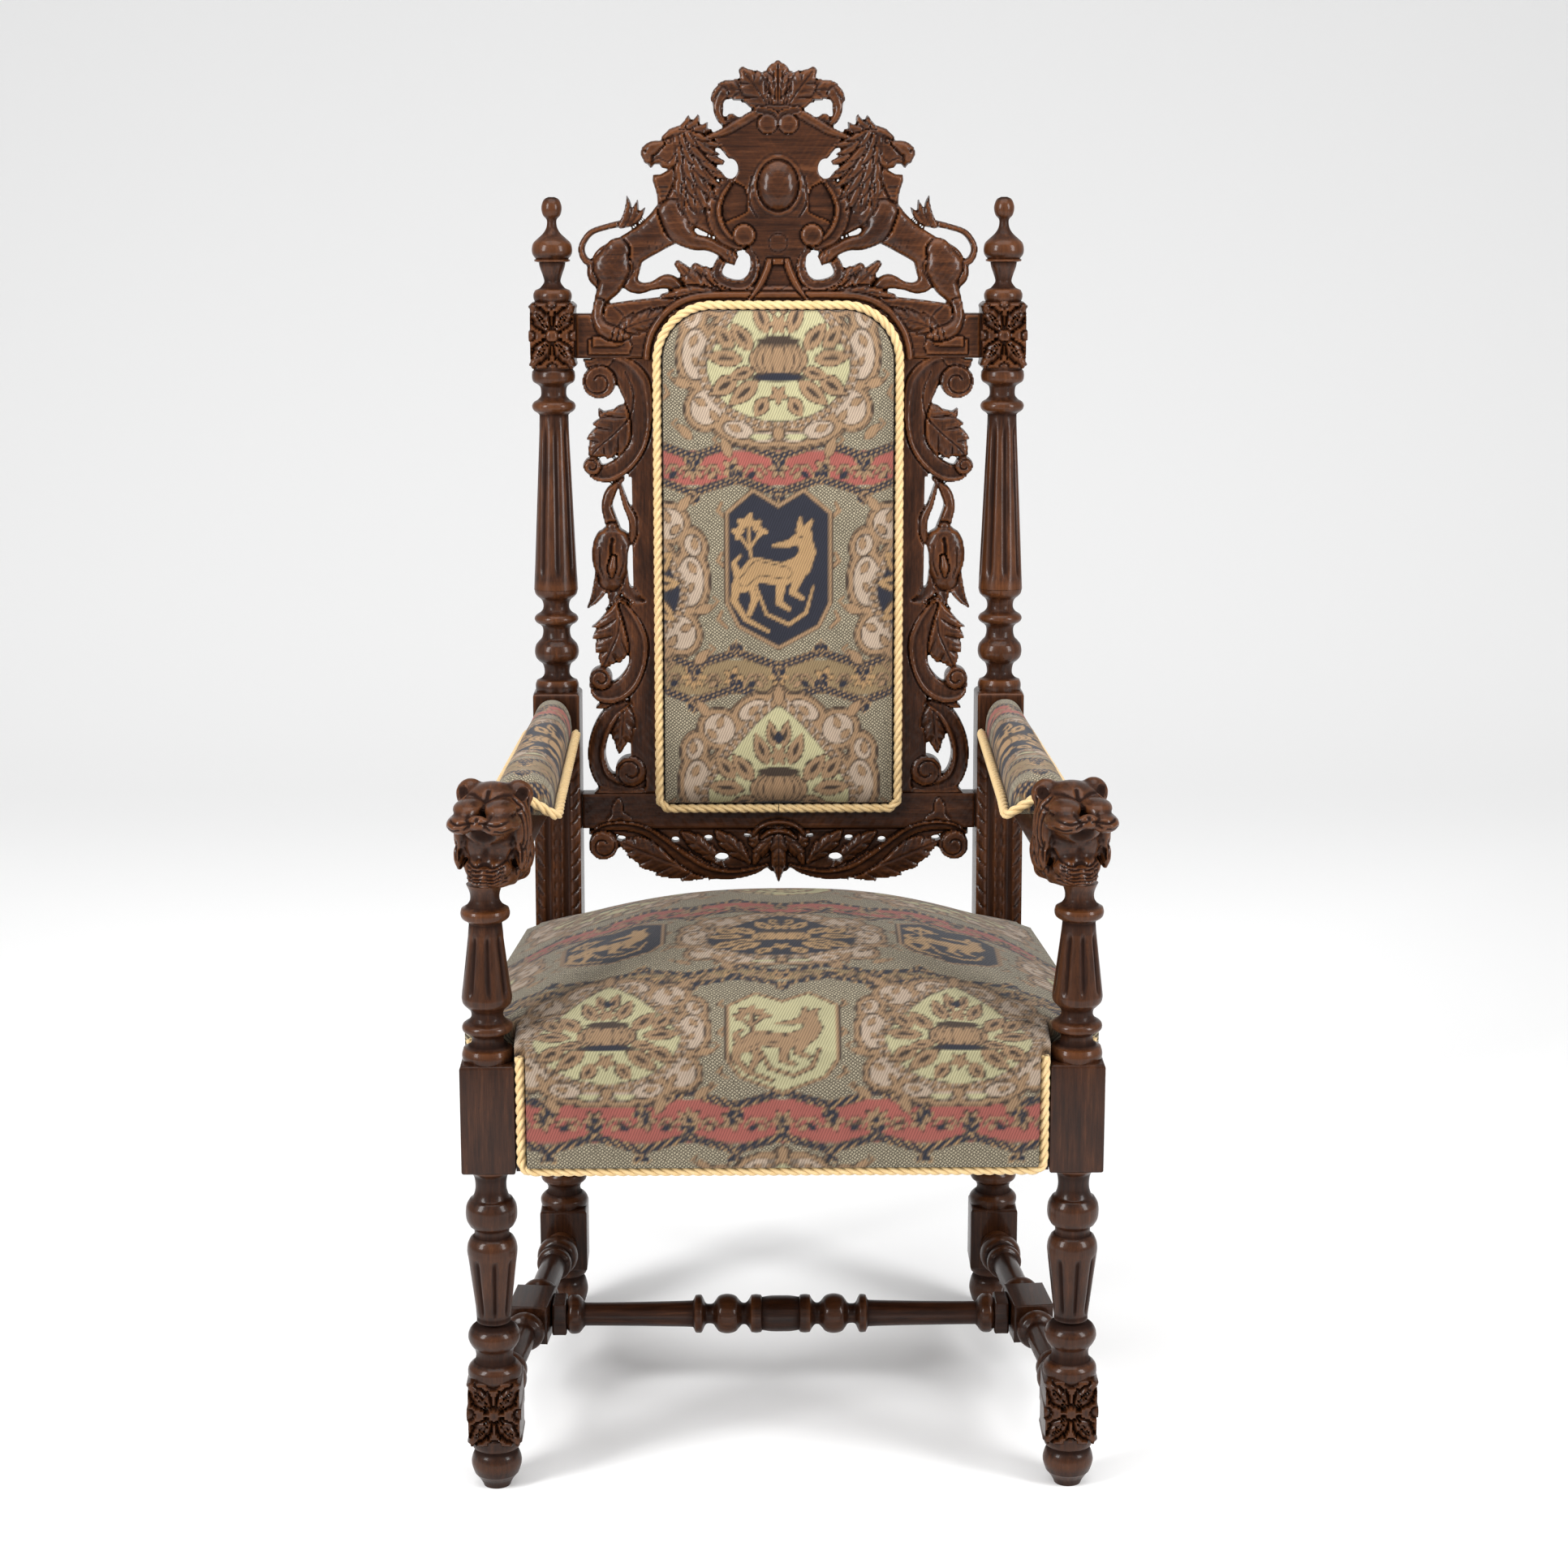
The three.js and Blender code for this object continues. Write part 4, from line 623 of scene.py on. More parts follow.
def rosette(relief, top, middle, reach):
    for sx in (-1, 1):
        for sy in (-1, 1):
            def spoke(out, wide, rise, sx=sx, sy=sy):
                return (sx * out * top * 0.86, middle + sy * out * reach * 0.86, wide, top + rise)
            relief.leaf([spoke(0.12, 5, -0.3), spoke(0.55, 13, 0.1), spoke(1.02, 5, -0.5)], 3, depth=1.0,
                        groove=0.6)
            relief.limb([spoke(0.18, 1.2, 0.4), spoke(0.5, 2.2, 1.2), spoke(0.86, 0.9, 0.2)], "round",
                        groove=0.3)
    for sx, sy in ((1, 0), (-1, 0), (0, 1), (0, -1)):
        relief.button(sx * top * 0.96, middle + sy * reach * 0.96, 0.26 * top, top - 1.0, groove=0.9, flat=2)
    relief.button(0, middle, 6.6, top + 1.8, groove=1.5, flat=3, drop=0.05)


def flute_panel(relief, *_):
    for side in (-1, 1):
        relief.incise([(side * 11.2, 66), (side * 11.2, 170), (side * 11.2, 276)], 5.2, 4.2)
        for height in range(70, 276, 17):
            relief.incise([(side * 17.5, height), (side * 21, height + 3), (side * 25, height + 10)], 1.6, 1.7)
            relief.incise([(side * 4.5, height + 6), (side * 2.6, height + 14)], 1.2, 1.2)
    relief.incise([(-27, 56), (27, 56)], 1.2, 1.4)
    relief.incise([(-15, 296), (0, 312), (15, 296)], 1.5, 1.3)


# %% [markdown]
# ## The four posts
# A front post runs from its foot through a carved block, a fluted vase, a bulb and the seat block to the
# turned support of the arm. A back post does the same below the seat, then leans back with a fluted panel,
# rings, a long fluted shaft, a carved block and a finial.

# %% Profiles of the posts
def foot(low):
    return [(14.5, 0, 1), (15.4, 2.5), (18, 0.14 * low), (23, 0.27 * low, 1), (24.2, 0.3 * low),
            (27.2, 0.5 * low), (25.4, 0.68 * low), (22.4, 0.78 * low, 1), (22.6, 0.82 * low, 1),
            (25.6, 0.86 * low, 1), (26.6, 0.94 * low), (26.4, low + 5, 1)]


def leg(top):
    return [(26.5, top - 5, 1), (28.4, top - 1), (28.9, top + 3), (28.2, top + 8), (25.5, top + 12, 1),
            (21, top + 15, 1), (19.6, top + 22), (21, top + 29), (24.5, top + 34, 1), (27.3, top + 40),
            (27.6, top + 46), (25.2, top + 52), (20, top + 57, 1)]


VASE = [(18.2, 189, 1), (18.4, 196), (22.6, 232), (26.2, 262), (26.8, 270), (25.8, 277), (23, 283, 1),
        (19, 286, 1), (18.5, 290), (19.5, 294), (23.4, 297.5, 1), (26.6, 304), (27.4, 312), (26.4, 320),
        (22.8, 326.5, 1), (19.5, 329), (16.8, 337), (16.6, 346), (18.4, 354), (23.6, 360, 1), (24, 369, 1)]
SUPPORT = [(25, 477, 1), (26.8, 482), (27.4, 488), (25.6, 494.5, 1), (18.6, 498, 1), (16.8, 503), (17.2, 508),
           (20.5, 511, 1), (25.4, 513.5), (26.7, 517), (25.2, 521), (19.5, 524.5, 1), (16.8, 529), (17.4, 535),
           (22, 540, 1), (25.4, 544), (26.4, 549), (26, 555), (22.6, 585), (19, 612), (18, 622), (17.2, 630, 1),
           (19, 632.5, 1), (24.4, 636), (25.8, 641), (24.8, 645.5, 1), (19, 649, 1), (15.8, 654), (15.2, 660),
           (16.6, 666), (19.2, 672, 1)]
UPPER = [(24, 341, 1), (25, 345), (25.3, 351), (23.6, 356, 1), (18, 358.5, 1), (15.2, 362.5), (14.8, 368),
         (16.6, 375), (20.8, 378.5, 1), (24.4, 383), (25.8, 390), (24.4, 397.5), (20.6, 402.5, 1), (17.4, 406),
         (15.8, 412), (16.2, 418), (18.8, 421.5, 1), (23.6, 424.5), (25.6, 428.6), (23.6, 432.8),
         (18.6, 436, 1), (15.6, 440), (15.2, 446), (17.2, 451), (21.4, 454.5, 1), (24.2, 458), (25.4, 464),
         (25.2, 472), (21.6, 560), (18, 630), (17, 658), (16.8, 666, 1), (18.6, 668, 1), (23.4, 671.3),
         (25.3, 676), (23.4, 680.6), (18.6, 683.6, 1), (15.2, 687.5), (14.6, 692.5), (15.6, 698.5),
         (19.2, 701.5, 1), (23.6, 704.5), (25.1, 710), (24.6, 716, 1), (22.8, 718, 1), (23.4, 722, 1)]


def finial(base):
    shares = [(18, -0.03, 1), (21.6, 0.02), (22.2, 0.07), (20, 0.11, 1), (14.4, 0.13, 1), (11, 0.165),
              (9.4, 0.20), (11.4, 0.26), (14.4, 0.33), (15.2, 0.375, 1), (20.4, 0.385, 1), (20.8, 0.40, 1),
              (18.8, 0.41, 1), (22.4, 0.45), (23.3, 0.50), (21.6, 0.56), (15.6, 0.61), (10.4, 0.65),
              (6.6, 0.70), (5.4, 0.755), (6.2, 0.79), (9.6, 0.82), (11.5, 0.87), (11.4, 0.92), (8.6, 0.975),
              (3.5, 0.998)]
    return [(pair[0], base + pair[1] * 119, *pair[2:]) for pair in shares]


# %% Build the posts
def front_post():
    cut = bmesh.new()
    add_turning(cut, foot(53))
    add_carved_block(cut, 57, 53, 128, rosette)
    add_turning(cut, leg(128))
    add_turning(cut, VASE, 64, flutes=(197, 264))
    add_block(cut, 57, 362, 482)
    add_turning(cut, SUPPORT, 64, flutes=(553, 619))
    return cut


def back_post():
    cut = bmesh.new()
    add_carved_block(cut, 52, 719, 796, rosette)
    add_carved_block(cut, 56, 0, 344, flute_panel)
    add_turning(cut, UPPER, 64, flutes=(476, 652), depth=3.2)
    add_turning(cut, finial(796))
    upright = leaning.inverted() @ room @ Matrix.Translation((0, BACK_LINE, 0))
    standing = bmesh.new()
    add_turning(standing, foot(65))
    add_block(standing, 56, 65, 143)
    add_turning(standing, [(26, 138, 1), (28.4, 147), (28, 152), (25, 156, 1), (20.5, 159, 1), (19.4, 165),
                           (21.5, 171, 1), (26.4, 175), (27.5, 180), (25.4, 186), (20, 190, 1)])
    add_turning(standing, VASE, 64, flutes=(197, 264))
    add_block(standing, 55.2, 362, 452)
    bmesh.ops.transform(standing, matrix=upright, verts=standing.verts)
    pour(standing, cut)
    return cut


SIDES = (("left", -1), ("right", 1))
for word, side in SIDES:
    post = wooden_at("turned_front_post_" + word, front_post(),
                     room @ Matrix.Translation((side * FRONT_POST_X, 0, 0)), oak_upright)
    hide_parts("front_post_" + word)
    post = wooden_at("turned_back_post_" + word, back_post(),
                     leaning @ Matrix.Translation((side * BACK_POST_X, 0, 0)), oak_upright)
    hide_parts("back_post_" + word)

# %% [markdown]
# ## The stretchers
# They are turned too, about a level axis: the profile is spun upright and then laid down. The middle one
# is drawn as one half, and the other half is the same list read backwards with its heights below zero.

# %% Turned stretchers with their square parts
def both_ways(half):
    return [(radius, -height, *crisp) for radius, height, *crisp in half[::-1]] + half


def lay_down(name, half, blocks, turn, place, material):
    cut = bmesh.new()
    add_turning(cut, both_ways(half), 36)
    for width, low, high in blocks:
        add_block(cut, width, low, high, 2.5)
    lying = place @ Matrix.Rotation(turn, 4, "Z") @ Matrix.Rotation(math.radians(90), 4, "Y")
    return wooden_at(name, cut, lying, material)


STRETCHER_Y, STRETCHER_HEIGHT = BACK_LINE / 2, 97
reach = 261.3
cross_half = [(20.6, 1), (20.4, 11), (18.8, 21, 1), (21.3, 22.5, 1), (22, 28), (21.3, 33.5, 1), (16.5, 36, 1),
              (12.7, 39.5), (12.6, 44), (16, 47.5, 1), (20.6, 52), (22.6, 61), (20.6, 70), (15.6, 74.5, 1),
              (12, 77), (11.2, 81), (12, 85.5), (16.6, 88, 1), (21.2, 90.5), (21.8, 94), (21.2, 97.5, 1),
              (15.6, 100, 1), (14.9, 106), (13.8, 160), (13.2, reach - 42), (14, reach - 37),
              (18.6, reach - 33.5, 1), (21.6, reach - 30), (22.4, reach - 25), (21.6, reach - 20.5),
              (17.4, reach - 17, 1), (17, reach - 16.5, 1)]
cross = lay_down("turned_cross_stretcher", cross_half, [(37, reach - 17, reach), (37, -reach, 17 - reach)], 0,
                 room @ Matrix.Translation((0, STRETCHER_Y, STRETCHER_HEIGHT)), oak_across)
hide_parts("cross_stretcher")
side_half = [(13.5, 34, 1), (14, 38), (18, 42, 1), (21.4, 46), (22.6, 52), (21, 58), (17, 61.5, 1), (14, 65),
             (14.4, 75), (14.8, 110), (14.4, 146), (16, 151, 1), (20, 154), (20.4, 160), (19.6, 164, 1),
             (15, 167, 1), (15.4, 171, 1), (21.6, 174), (24, 180), (24, 188), (21.6, 193.5), (16.6, 197, 1),
             (16, 200), (18.6, 205, 1), (19.2, 211.6, 1)]
for word, side in SIDES:
    splay = math.radians(90) + side * math.atan2(FRONT_POST_X - BACK_POST_X, BACK_LINE)
    middle = (side * (FRONT_POST_X + BACK_POST_X) / 2, STRETCHER_Y, STRETCHER_HEIGHT)
    stretcher = lay_down("turned_side_stretcher_" + word, side_half, [(45, -35, 35)], splay,
                         room @ Matrix.Translation(middle), oak_deep)
    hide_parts("side_stretcher_" + word)

# %% [markdown]
# ## The crest
# Two lions rear against a shield with an oval boss, under a palmette of five leaves. The lions' bodies are
# round limbs that melt into each other. The manes are locks laid over one another like tiles, which is how
# a carver cuts them: each lock is one curved stroke with a parting cut round it.

# %% Heights of the crest, and one lion
RAIL_TOP = 15.0
SHIELD_TOP = 11.0
CREST_BOTTOM = 731.7


def lock(relief, x, y, angle, length, width, top, curl=0.5):
    turn = math.radians(angle)
    knots = []
    for share, wide in ((0, 0.8), (0.35, 1.0), (0.7, 0.75), (1.0, 0.12)):
        bend = turn + curl * share
        knots.append((x + length * share * math.cos(bend), y + length * share * math.sin(bend),
                      width * wide, top * (1 - 0.12 * share)))
    relief.limb(knots, "round", groove=1.1, root=0.72)


def carve_lion(relief):
    flesh = {"groove": 0.5, "blend": 2.2, "root": 0.30}
    # far legs and the tail, which lie behind
    relief.limb([(-170, 114, 14, 9), (-171, 88, 10, 8), (-160, 80, 7, 7.5), (-146, 82, 5, 7),
                 (-128, 87, 8.5, 10), (-116, 82, 7, 9), (-110, 79, 3, 7)], **flesh)
    relief.limb([(-98, 176, 14, 8), (-90, 160, 12, 8), (-80, 148, 7, 7), (-76, 142, 3, 6)], **flesh)
    relief.limb([(-210, 106, 4.5, 7), (-222, 112, 4, 7), (-226, 126, 3.6, 7), (-216, 142, 3.4, 7),
                 (-198, 149, 3.4, 7.5), (-176, 154, 4, 8)], **flesh)
    for bend, width in ((-10, 4.5), (10, 5.0), (32, 4.5)):
        lock(relief, -180, 151, bend + 18, 34, width, 9.0, 0.5)
    # body, haunch and shoulder
    relief.limb([(-110, 176, 22, 12), (-120, 158, 25, 13.5), (-144, 139, 20, 12), (-168, 124, 19, 11.5),
                 (-190, 108, 23, 12.5), (-200, 98, 20, 11)], **flesh)
    relief.limb([(-184, 122, 15, 12), (-191, 104, 22, 15), (-194, 84, 15, 13), (-204, 66, 8, 11),
                 (-208, 50, 7, 11)], groove=1.0, root=0.35)
    relief.limb([(-206, 62, 7, 11), (-208, 50, 6.5, 15), (-205, 38, 7.5, 19), (-196, 30, 9, 21),
                 (-182, 26, 8, 21), (-174, 25, 4, 18)], groove=1.4, root=0.6)
    for toe in (-189, -182.5, -176):
        relief.incise([(toe, 34), (toe - 3, 20)], 1.1, 2.2)
    # fore leg, its elbow, and the paw on the hook
    relief.limb([(-122, 166, 16, 13), (-114, 146, 15, 14), (-98, 133, 10, 12.5), (-82, 130, 8, 12),
                 (-68, 124, 7, 12), (-56, 116, 8.5, 13), (-49, 111, 6, 12)], groove=1.0, root=0.35)
    for toe in (-58, -53, -48):
        relief.incise([(toe, 122), (toe + 2, 110)], 0.9, 1.3)
    for rib in (-150, -142, -134):
        relief.incise([(rib, 134), (rib + 3, 124)], 0.8, 0.9)
    relief.incise([(-172, 118), (-166, 104), (-172, 90), (-184, 78)], 1.4, 1.6)
    relief.incise([(-104, 160), (-96, 148), (-94, 138)], 1.3, 1.5)
    # neck, then jaw and beard
    relief.limb([(-104, 170, 19, 11), (-100, 192, 24, 12), (-100, 214, 26, 12), (-106, 236, 24, 12),
                 (-104, 248, 16, 12)], **flesh)
    relief.slab([(-143, 208), (-134, 209), (-127, 213), (-121, 221), (-116, 213), (-117, 201), (-122, 191),
                 (-128, 178), (-138, 174), (-139, 186), (-142, 196), (-144, 202)], 9.5, 0.8, 3.5, 4.0)
    relief.pierce([(-121, 196), (-118.5, 206), (-116, 214), (-113.5, 210), (-113, 202), (-117, 197)])
    relief.pierce([(-152, 216), (-146, 213), (-142, 218), (-136.5, 218.5), (-133, 214.5), (-134.5, 208.6),
                   (-152, 208.6)])
    for beard in (178, 183, 188, 193):
        relief.incise([(-140, beard + 3), (-132, beard + 1), (-125, beard + 2)], 0.9, 1.0)
    # skull with brow and muzzle, and the open mouth
    relief.slab([(-84, 262), (-98, 268), (-112, 264), (-124, 260), (-130, 253), (-134, 247), (-146, 244),
                 (-154, 240), (-156, 233), (-154, 226), (-150, 221), (-145.5, 215), (-142, 220), (-136, 220),
                 (-133, 216), (-124, 214), (-112, 218), (-98, 226), (-88, 240)], 13.5, 0.7, 5.0, 5.0,
                tilt=lambda x, y: -0.035 * (x + 112) ** 2 * (x < -112) * 0.12)
    relief.limb([(-133, 243, 4, 13.5), (-142, 239, 7.5, 15.5), (-149, 233, 8, 15.5), (-149, 225, 5, 13.5)],
                groove=0.9, root=0.5)
    relief.button(-153, 237, 3.2, 16.5, groove=0.6, flat=2.5, drop=0.4)
    relief.limb([(-112, 258, 5, 14), (-122, 255, 4, 15), (-130, 250, 3, 14)], groove=0.6, blend=1.5,
                root=0.6)
    relief.button(-124.5, 246.5, 2.9, 14.0, groove=1.6, flat=2.0, drop=0.3)
    relief.incise([(-146, 222), (-138, 226), (-130, 224), (-124, 218)], 1.2, 1.3)
    relief.incise([(-154, 236), (-151, 233)], 1.0, 1.5)
    relief.incise([(-120, 252), (-118, 240), (-120, 228), (-126, 222)], 1.3, 1.2)
    # the mane: locks from the chest up, the upper ones over the lower
    rows = [
        [(-108, 190, 248, 26, 4.6), (-100, 192, 262, 28, 4.8), (-91, 194, 276, 28, 4.6), (-84, 198, 290, 24, 4.2)],
        [(-112, 206, 250, 26, 4.6), (-103, 208, 268, 28, 4.8), (-94, 210, 284, 28, 4.8), (-86, 213, 300, 28, 4.6),
         (-78, 214, 318, 26, 4.2)],
        [(-113, 222, 256, 24, 4.4), (-106, 224, 272, 27, 4.6), (-97, 226, 288, 29, 4.8), (-88, 228, 304, 30, 4.6),
         (-80, 230, 320, 26, 4.2)],
        [(-113, 238, 262, 20, 4.2), (-107, 240, 280, 24, 4.4), (-99, 242, 296, 28, 4.6), (-91, 244, 312, 28, 4.4),
         (-84, 246, 328, 22, 4.0)],
        [(-110, 252, 270, 16, 3.8), (-104, 254, 292, 20, 4.0), (-96, 256, 314, 22, 4.0), (-92, 260, 336, 16, 3.4)],
    ]
    for step, row in enumerate(rows):
        for x, y, angle, length, width in row:
            lock(relief, x, y, angle, length, width, 11.0 + 0.8 * step, 0.35)
    for x, y, angle, length in ((-110, 261, 22, 16), (-102, 262, 12, 18), (-94, 259, -8, 16)):
        lock(relief, x, y, angle, length, 4.4, 12.5, 0.7)


# %% Shield, scrolls, palmette and rail
def carve_crest():
    relief = Relief((-236.3, -1.7), (236.3, 339), 1.7, fold=True)
    rail = [(-233.65, 0), (-233.65, 51), (-216, 51), (-196, 62), (-168, 66), (-140, 69), (-112, 74), (-86, 80),
            (-60, 82), (12, 82), (12, 0)]
    # palmette behind everything: outer curled leaves, inner leaves, middle lobe
    relief.leaf([(-18, 286, 6, 8), (-36, 300, 12, 9), (-56, 304, 12, 9), (-68, 296, 9, 9), (-68, 282, 6, 9)], 5,
                notch=0.28)
    relief.limb([(-62, 300, 6, 9), (-69, 286, 5, 9.5), (-66, 272, 4.5, 9.5), (-57, 265, 4, 9.5),
                 (-50, 270, 5, 10)], "round", root=0.6)
    relief.button(-53, 271, 6.0, 11.0)
    relief.leaf([(-6, 276, 10, 11), (-17, 294, 21, 13), (-30, 312, 17, 13), (-41, 326, 4, 11)], 3, notch=0.3,
                depth=2.2)
    relief.leaf([(0, 270, 10, 12), (0, 296, 13, 15), (0, 318, 19, 14), (0, 330, 12, 12), (0, 334.5, 3, 11)], 3,
                notch=0.3, depth=2.4)
    for rib in (-9, -3.5, 3.5, 9):
        relief.incise([(rib * 0.4, 276), (rib, 300), (rib * 1.5, 324)], 1.2, 1.6)
    # shield
    relief.slab([(12, 283), (-24, 281), (-44, 268), (-60, 258), (-76, 251), (-68, 240), (-58, 228), (-48, 219),
                 (-50, 206), (-62, 192), (-72, 172), (-69, 152), (-58, 136), (-36, 128), (-28, 118),
                 (-28, 104), (-36, 92), (-52, 82), (-60, 60), (12, 60)], SHIELD_TOP, 0.6, 2.5, 2.0)
    relief.slab([(-50, 200), (-62, 190), (-66, 170), (-64, 152), (-52, 158), (-34, 166), (-34, 182),
                 (-38, 194)], SHIELD_TOP - 3.0, 0.0, 2.0, 1.0)
    relief.incise([(-30, 206), (-33, 190), (-32, 174), (-24, 160)], 1.6, 1.8)
    relief.limb([(0, 282, 5.5, 13), (-20, 279, 5.5, 14), (-44, 266, 5.5, 14), (-60, 257, 5, 14),
                 (-80, 250, 3, 12)], "round", root=0.7)
    relief.limb([(-22, 280, 5, 13.5), (-6, 276, 5, 14.5), (0, 268, 5, 14.5)], "band", groove=1.2)
    relief.button(-12, 265, 11.2, 14.5)
    relief.button(0, 196, 29.5, SHIELD_TOP + 1.5, tall=1.22, groove=0.8, flat=9, drop=0.2)
    relief.button(0, 196, 24.0, SHIELD_TOP + 0.5, tall=1.25, groove=1.8, flat=9, drop=0.2)
    relief.button(0, 196, 22.6, SHIELD_TOP + 8.0, tall=1.24, groove=2.0, flat=3.2, drop=0.45)
    relief.button(0, 131, 10.5, SHIELD_TOP + 0.3, groove=1.6, flat=9, drop=0.1)
    # rail, its leaves and pads
    relief.slab(rail, RAIL_TOP, 0.6, 3.0, 2.2)
    relief.leaf([(-60, 76, 7, 16), (-74, 88, 13, 17.5), (-96, 104, 5, 14)], 3, notch=0.3)
    relief.leaf([(-70, 74, 7, 16), (-92, 84, 14, 17.5), (-116, 108, 4, 13)], 3, notch=0.3)
    relief.leaf([(-64, 70, 6, 16.5), (-96, 76, 9, 17.5), (-134, 70, 3, 15)], 4, notch=0.3)
    relief.leaf([(-186, 22, 4, 16.5), (-172, 36, 12, 17.2), (-140, 46, 13, 17.2), (-112, 54, 3, 16)], 4,
                notch=0.3, groove=1.6)
    relief.incise([(-190, 60), (-178, 48), (-176, 30), (-186, 14)], 1.6, 1.4)
    relief.slab([(-219, 22), (-172, 22), (-168, 14), (-172, 4), (-219, 4)], RAIL_TOP + 2.5, 1.4, 2.0, 1.2)
    relief.slab([(-214, 24), (-196, 26), (-180, 22), (-178, 16), (-186, 13), (-214, 13)], RAIL_TOP + 5.0, 1.2,
                2.0, 1.2)
    moulding = [(-151.5, 0), (-150, 14), (-144, 32), (-132, 49), (-116, 62), (-96, 69.5), (-70, 72), (8, 72)]
    relief.limb([(x, y, 4.2, 18.5) for x, y in moulding], "round", root=0.75, groove=1.4)
    # hooks, side scrolls, volutes and the strap with its two legs
    relief.limb([(-52, 123, 5.5, 13), (-66, 109, 6, 14), (-70, 95, 6, 14), (-60, 86, 6, 14.5),
                 (-42, 83, 6.5, 14.5), (-30, 92, 6, 14), (-27, 108, 5, 13), (-34, 122, 4, 12)], "band",
                groove=1.4)
    relief.limb([(-58, 201, 6, 13), (-69, 186, 8, 15.5), (-74, 168, 8.5, 16), (-69, 148, 8.5, 16),
                 (-58, 134, 8, 15.5), (-44, 128, 6, 14.5)], "lip", groove=1.6)
    relief.button(-39, 140, 12.6, 17.0, groove=2.0)
    relief.slab([(-13, 106.5), (12, 106.5), (12, 113.5), (-13, 113.5)], 16.5, 1.0, 1.5, 1.0)
    relief.limb([(-10, 110, 4.2, 15.5), (-14, 98, 4.2, 16), (-23, 80, 4, 17), (-33, 67, 2.6, 17.5)], "round",
                root=0.6, groove=1.2)
    relief.incise([(0, 76), (-10, 82)], 1.0, 1.0)
    carve_lion(relief)
    for hole in ([(-54.6 + 9 * math.cos(t), 215 + 11.5 * math.sin(t)) for t in np.linspace(0, 6.0, 18)],
                 [(-41 + 8.5 * math.cos(t) + 0.25 * 13 * math.sin(t), 107 + 13 * math.sin(t))
                  for t in np.linspace(0, 6.0, 18)]):
        relief.pierce(hole)
    relief.hand_worn(0.2)
    return relief


def rail_back(low, high, top, bottom):
    def add(cut):
        made = bmesh.ops.create_cube(cut, size=1.0)["verts"]
        size = (high[0] - low[0], high[1] - low[1], top - bottom)
        bmesh.ops.scale(cut, vec=size, verts=made)
        bmesh.ops.translate(cut, vec=((high[0] + low[0]) / 2, (high[1] + low[1]) / 2, (top + bottom) / 2),
                            verts=made)
    return add


crest_place = board_frame @ Matrix.Translation((0, CREST_BOTTOM, 0))
crest_rail_back = rail_back((-233.6, 0.2), (233.6, 50.8), 13.0, -15.0)
crest = wooden("carved_crest", carve(carve_crest(), -10.0, crest_place, crest_rail_back), oak_across)
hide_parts("crest_rail")

# %% [markdown]
# ## The pierced sides
# Beside the tapestry runs a plain stile, and outside it one board of scrolls: a large volute, a C-shaped
# band with a leaf, two stems, a hanging bellflower, and two more scrolls with their leaves. Left and right
# are mirror images, so the second one is the first with its across axis turned round.

# %% One pierced side board
SIDE_BOTTOM = 222.35


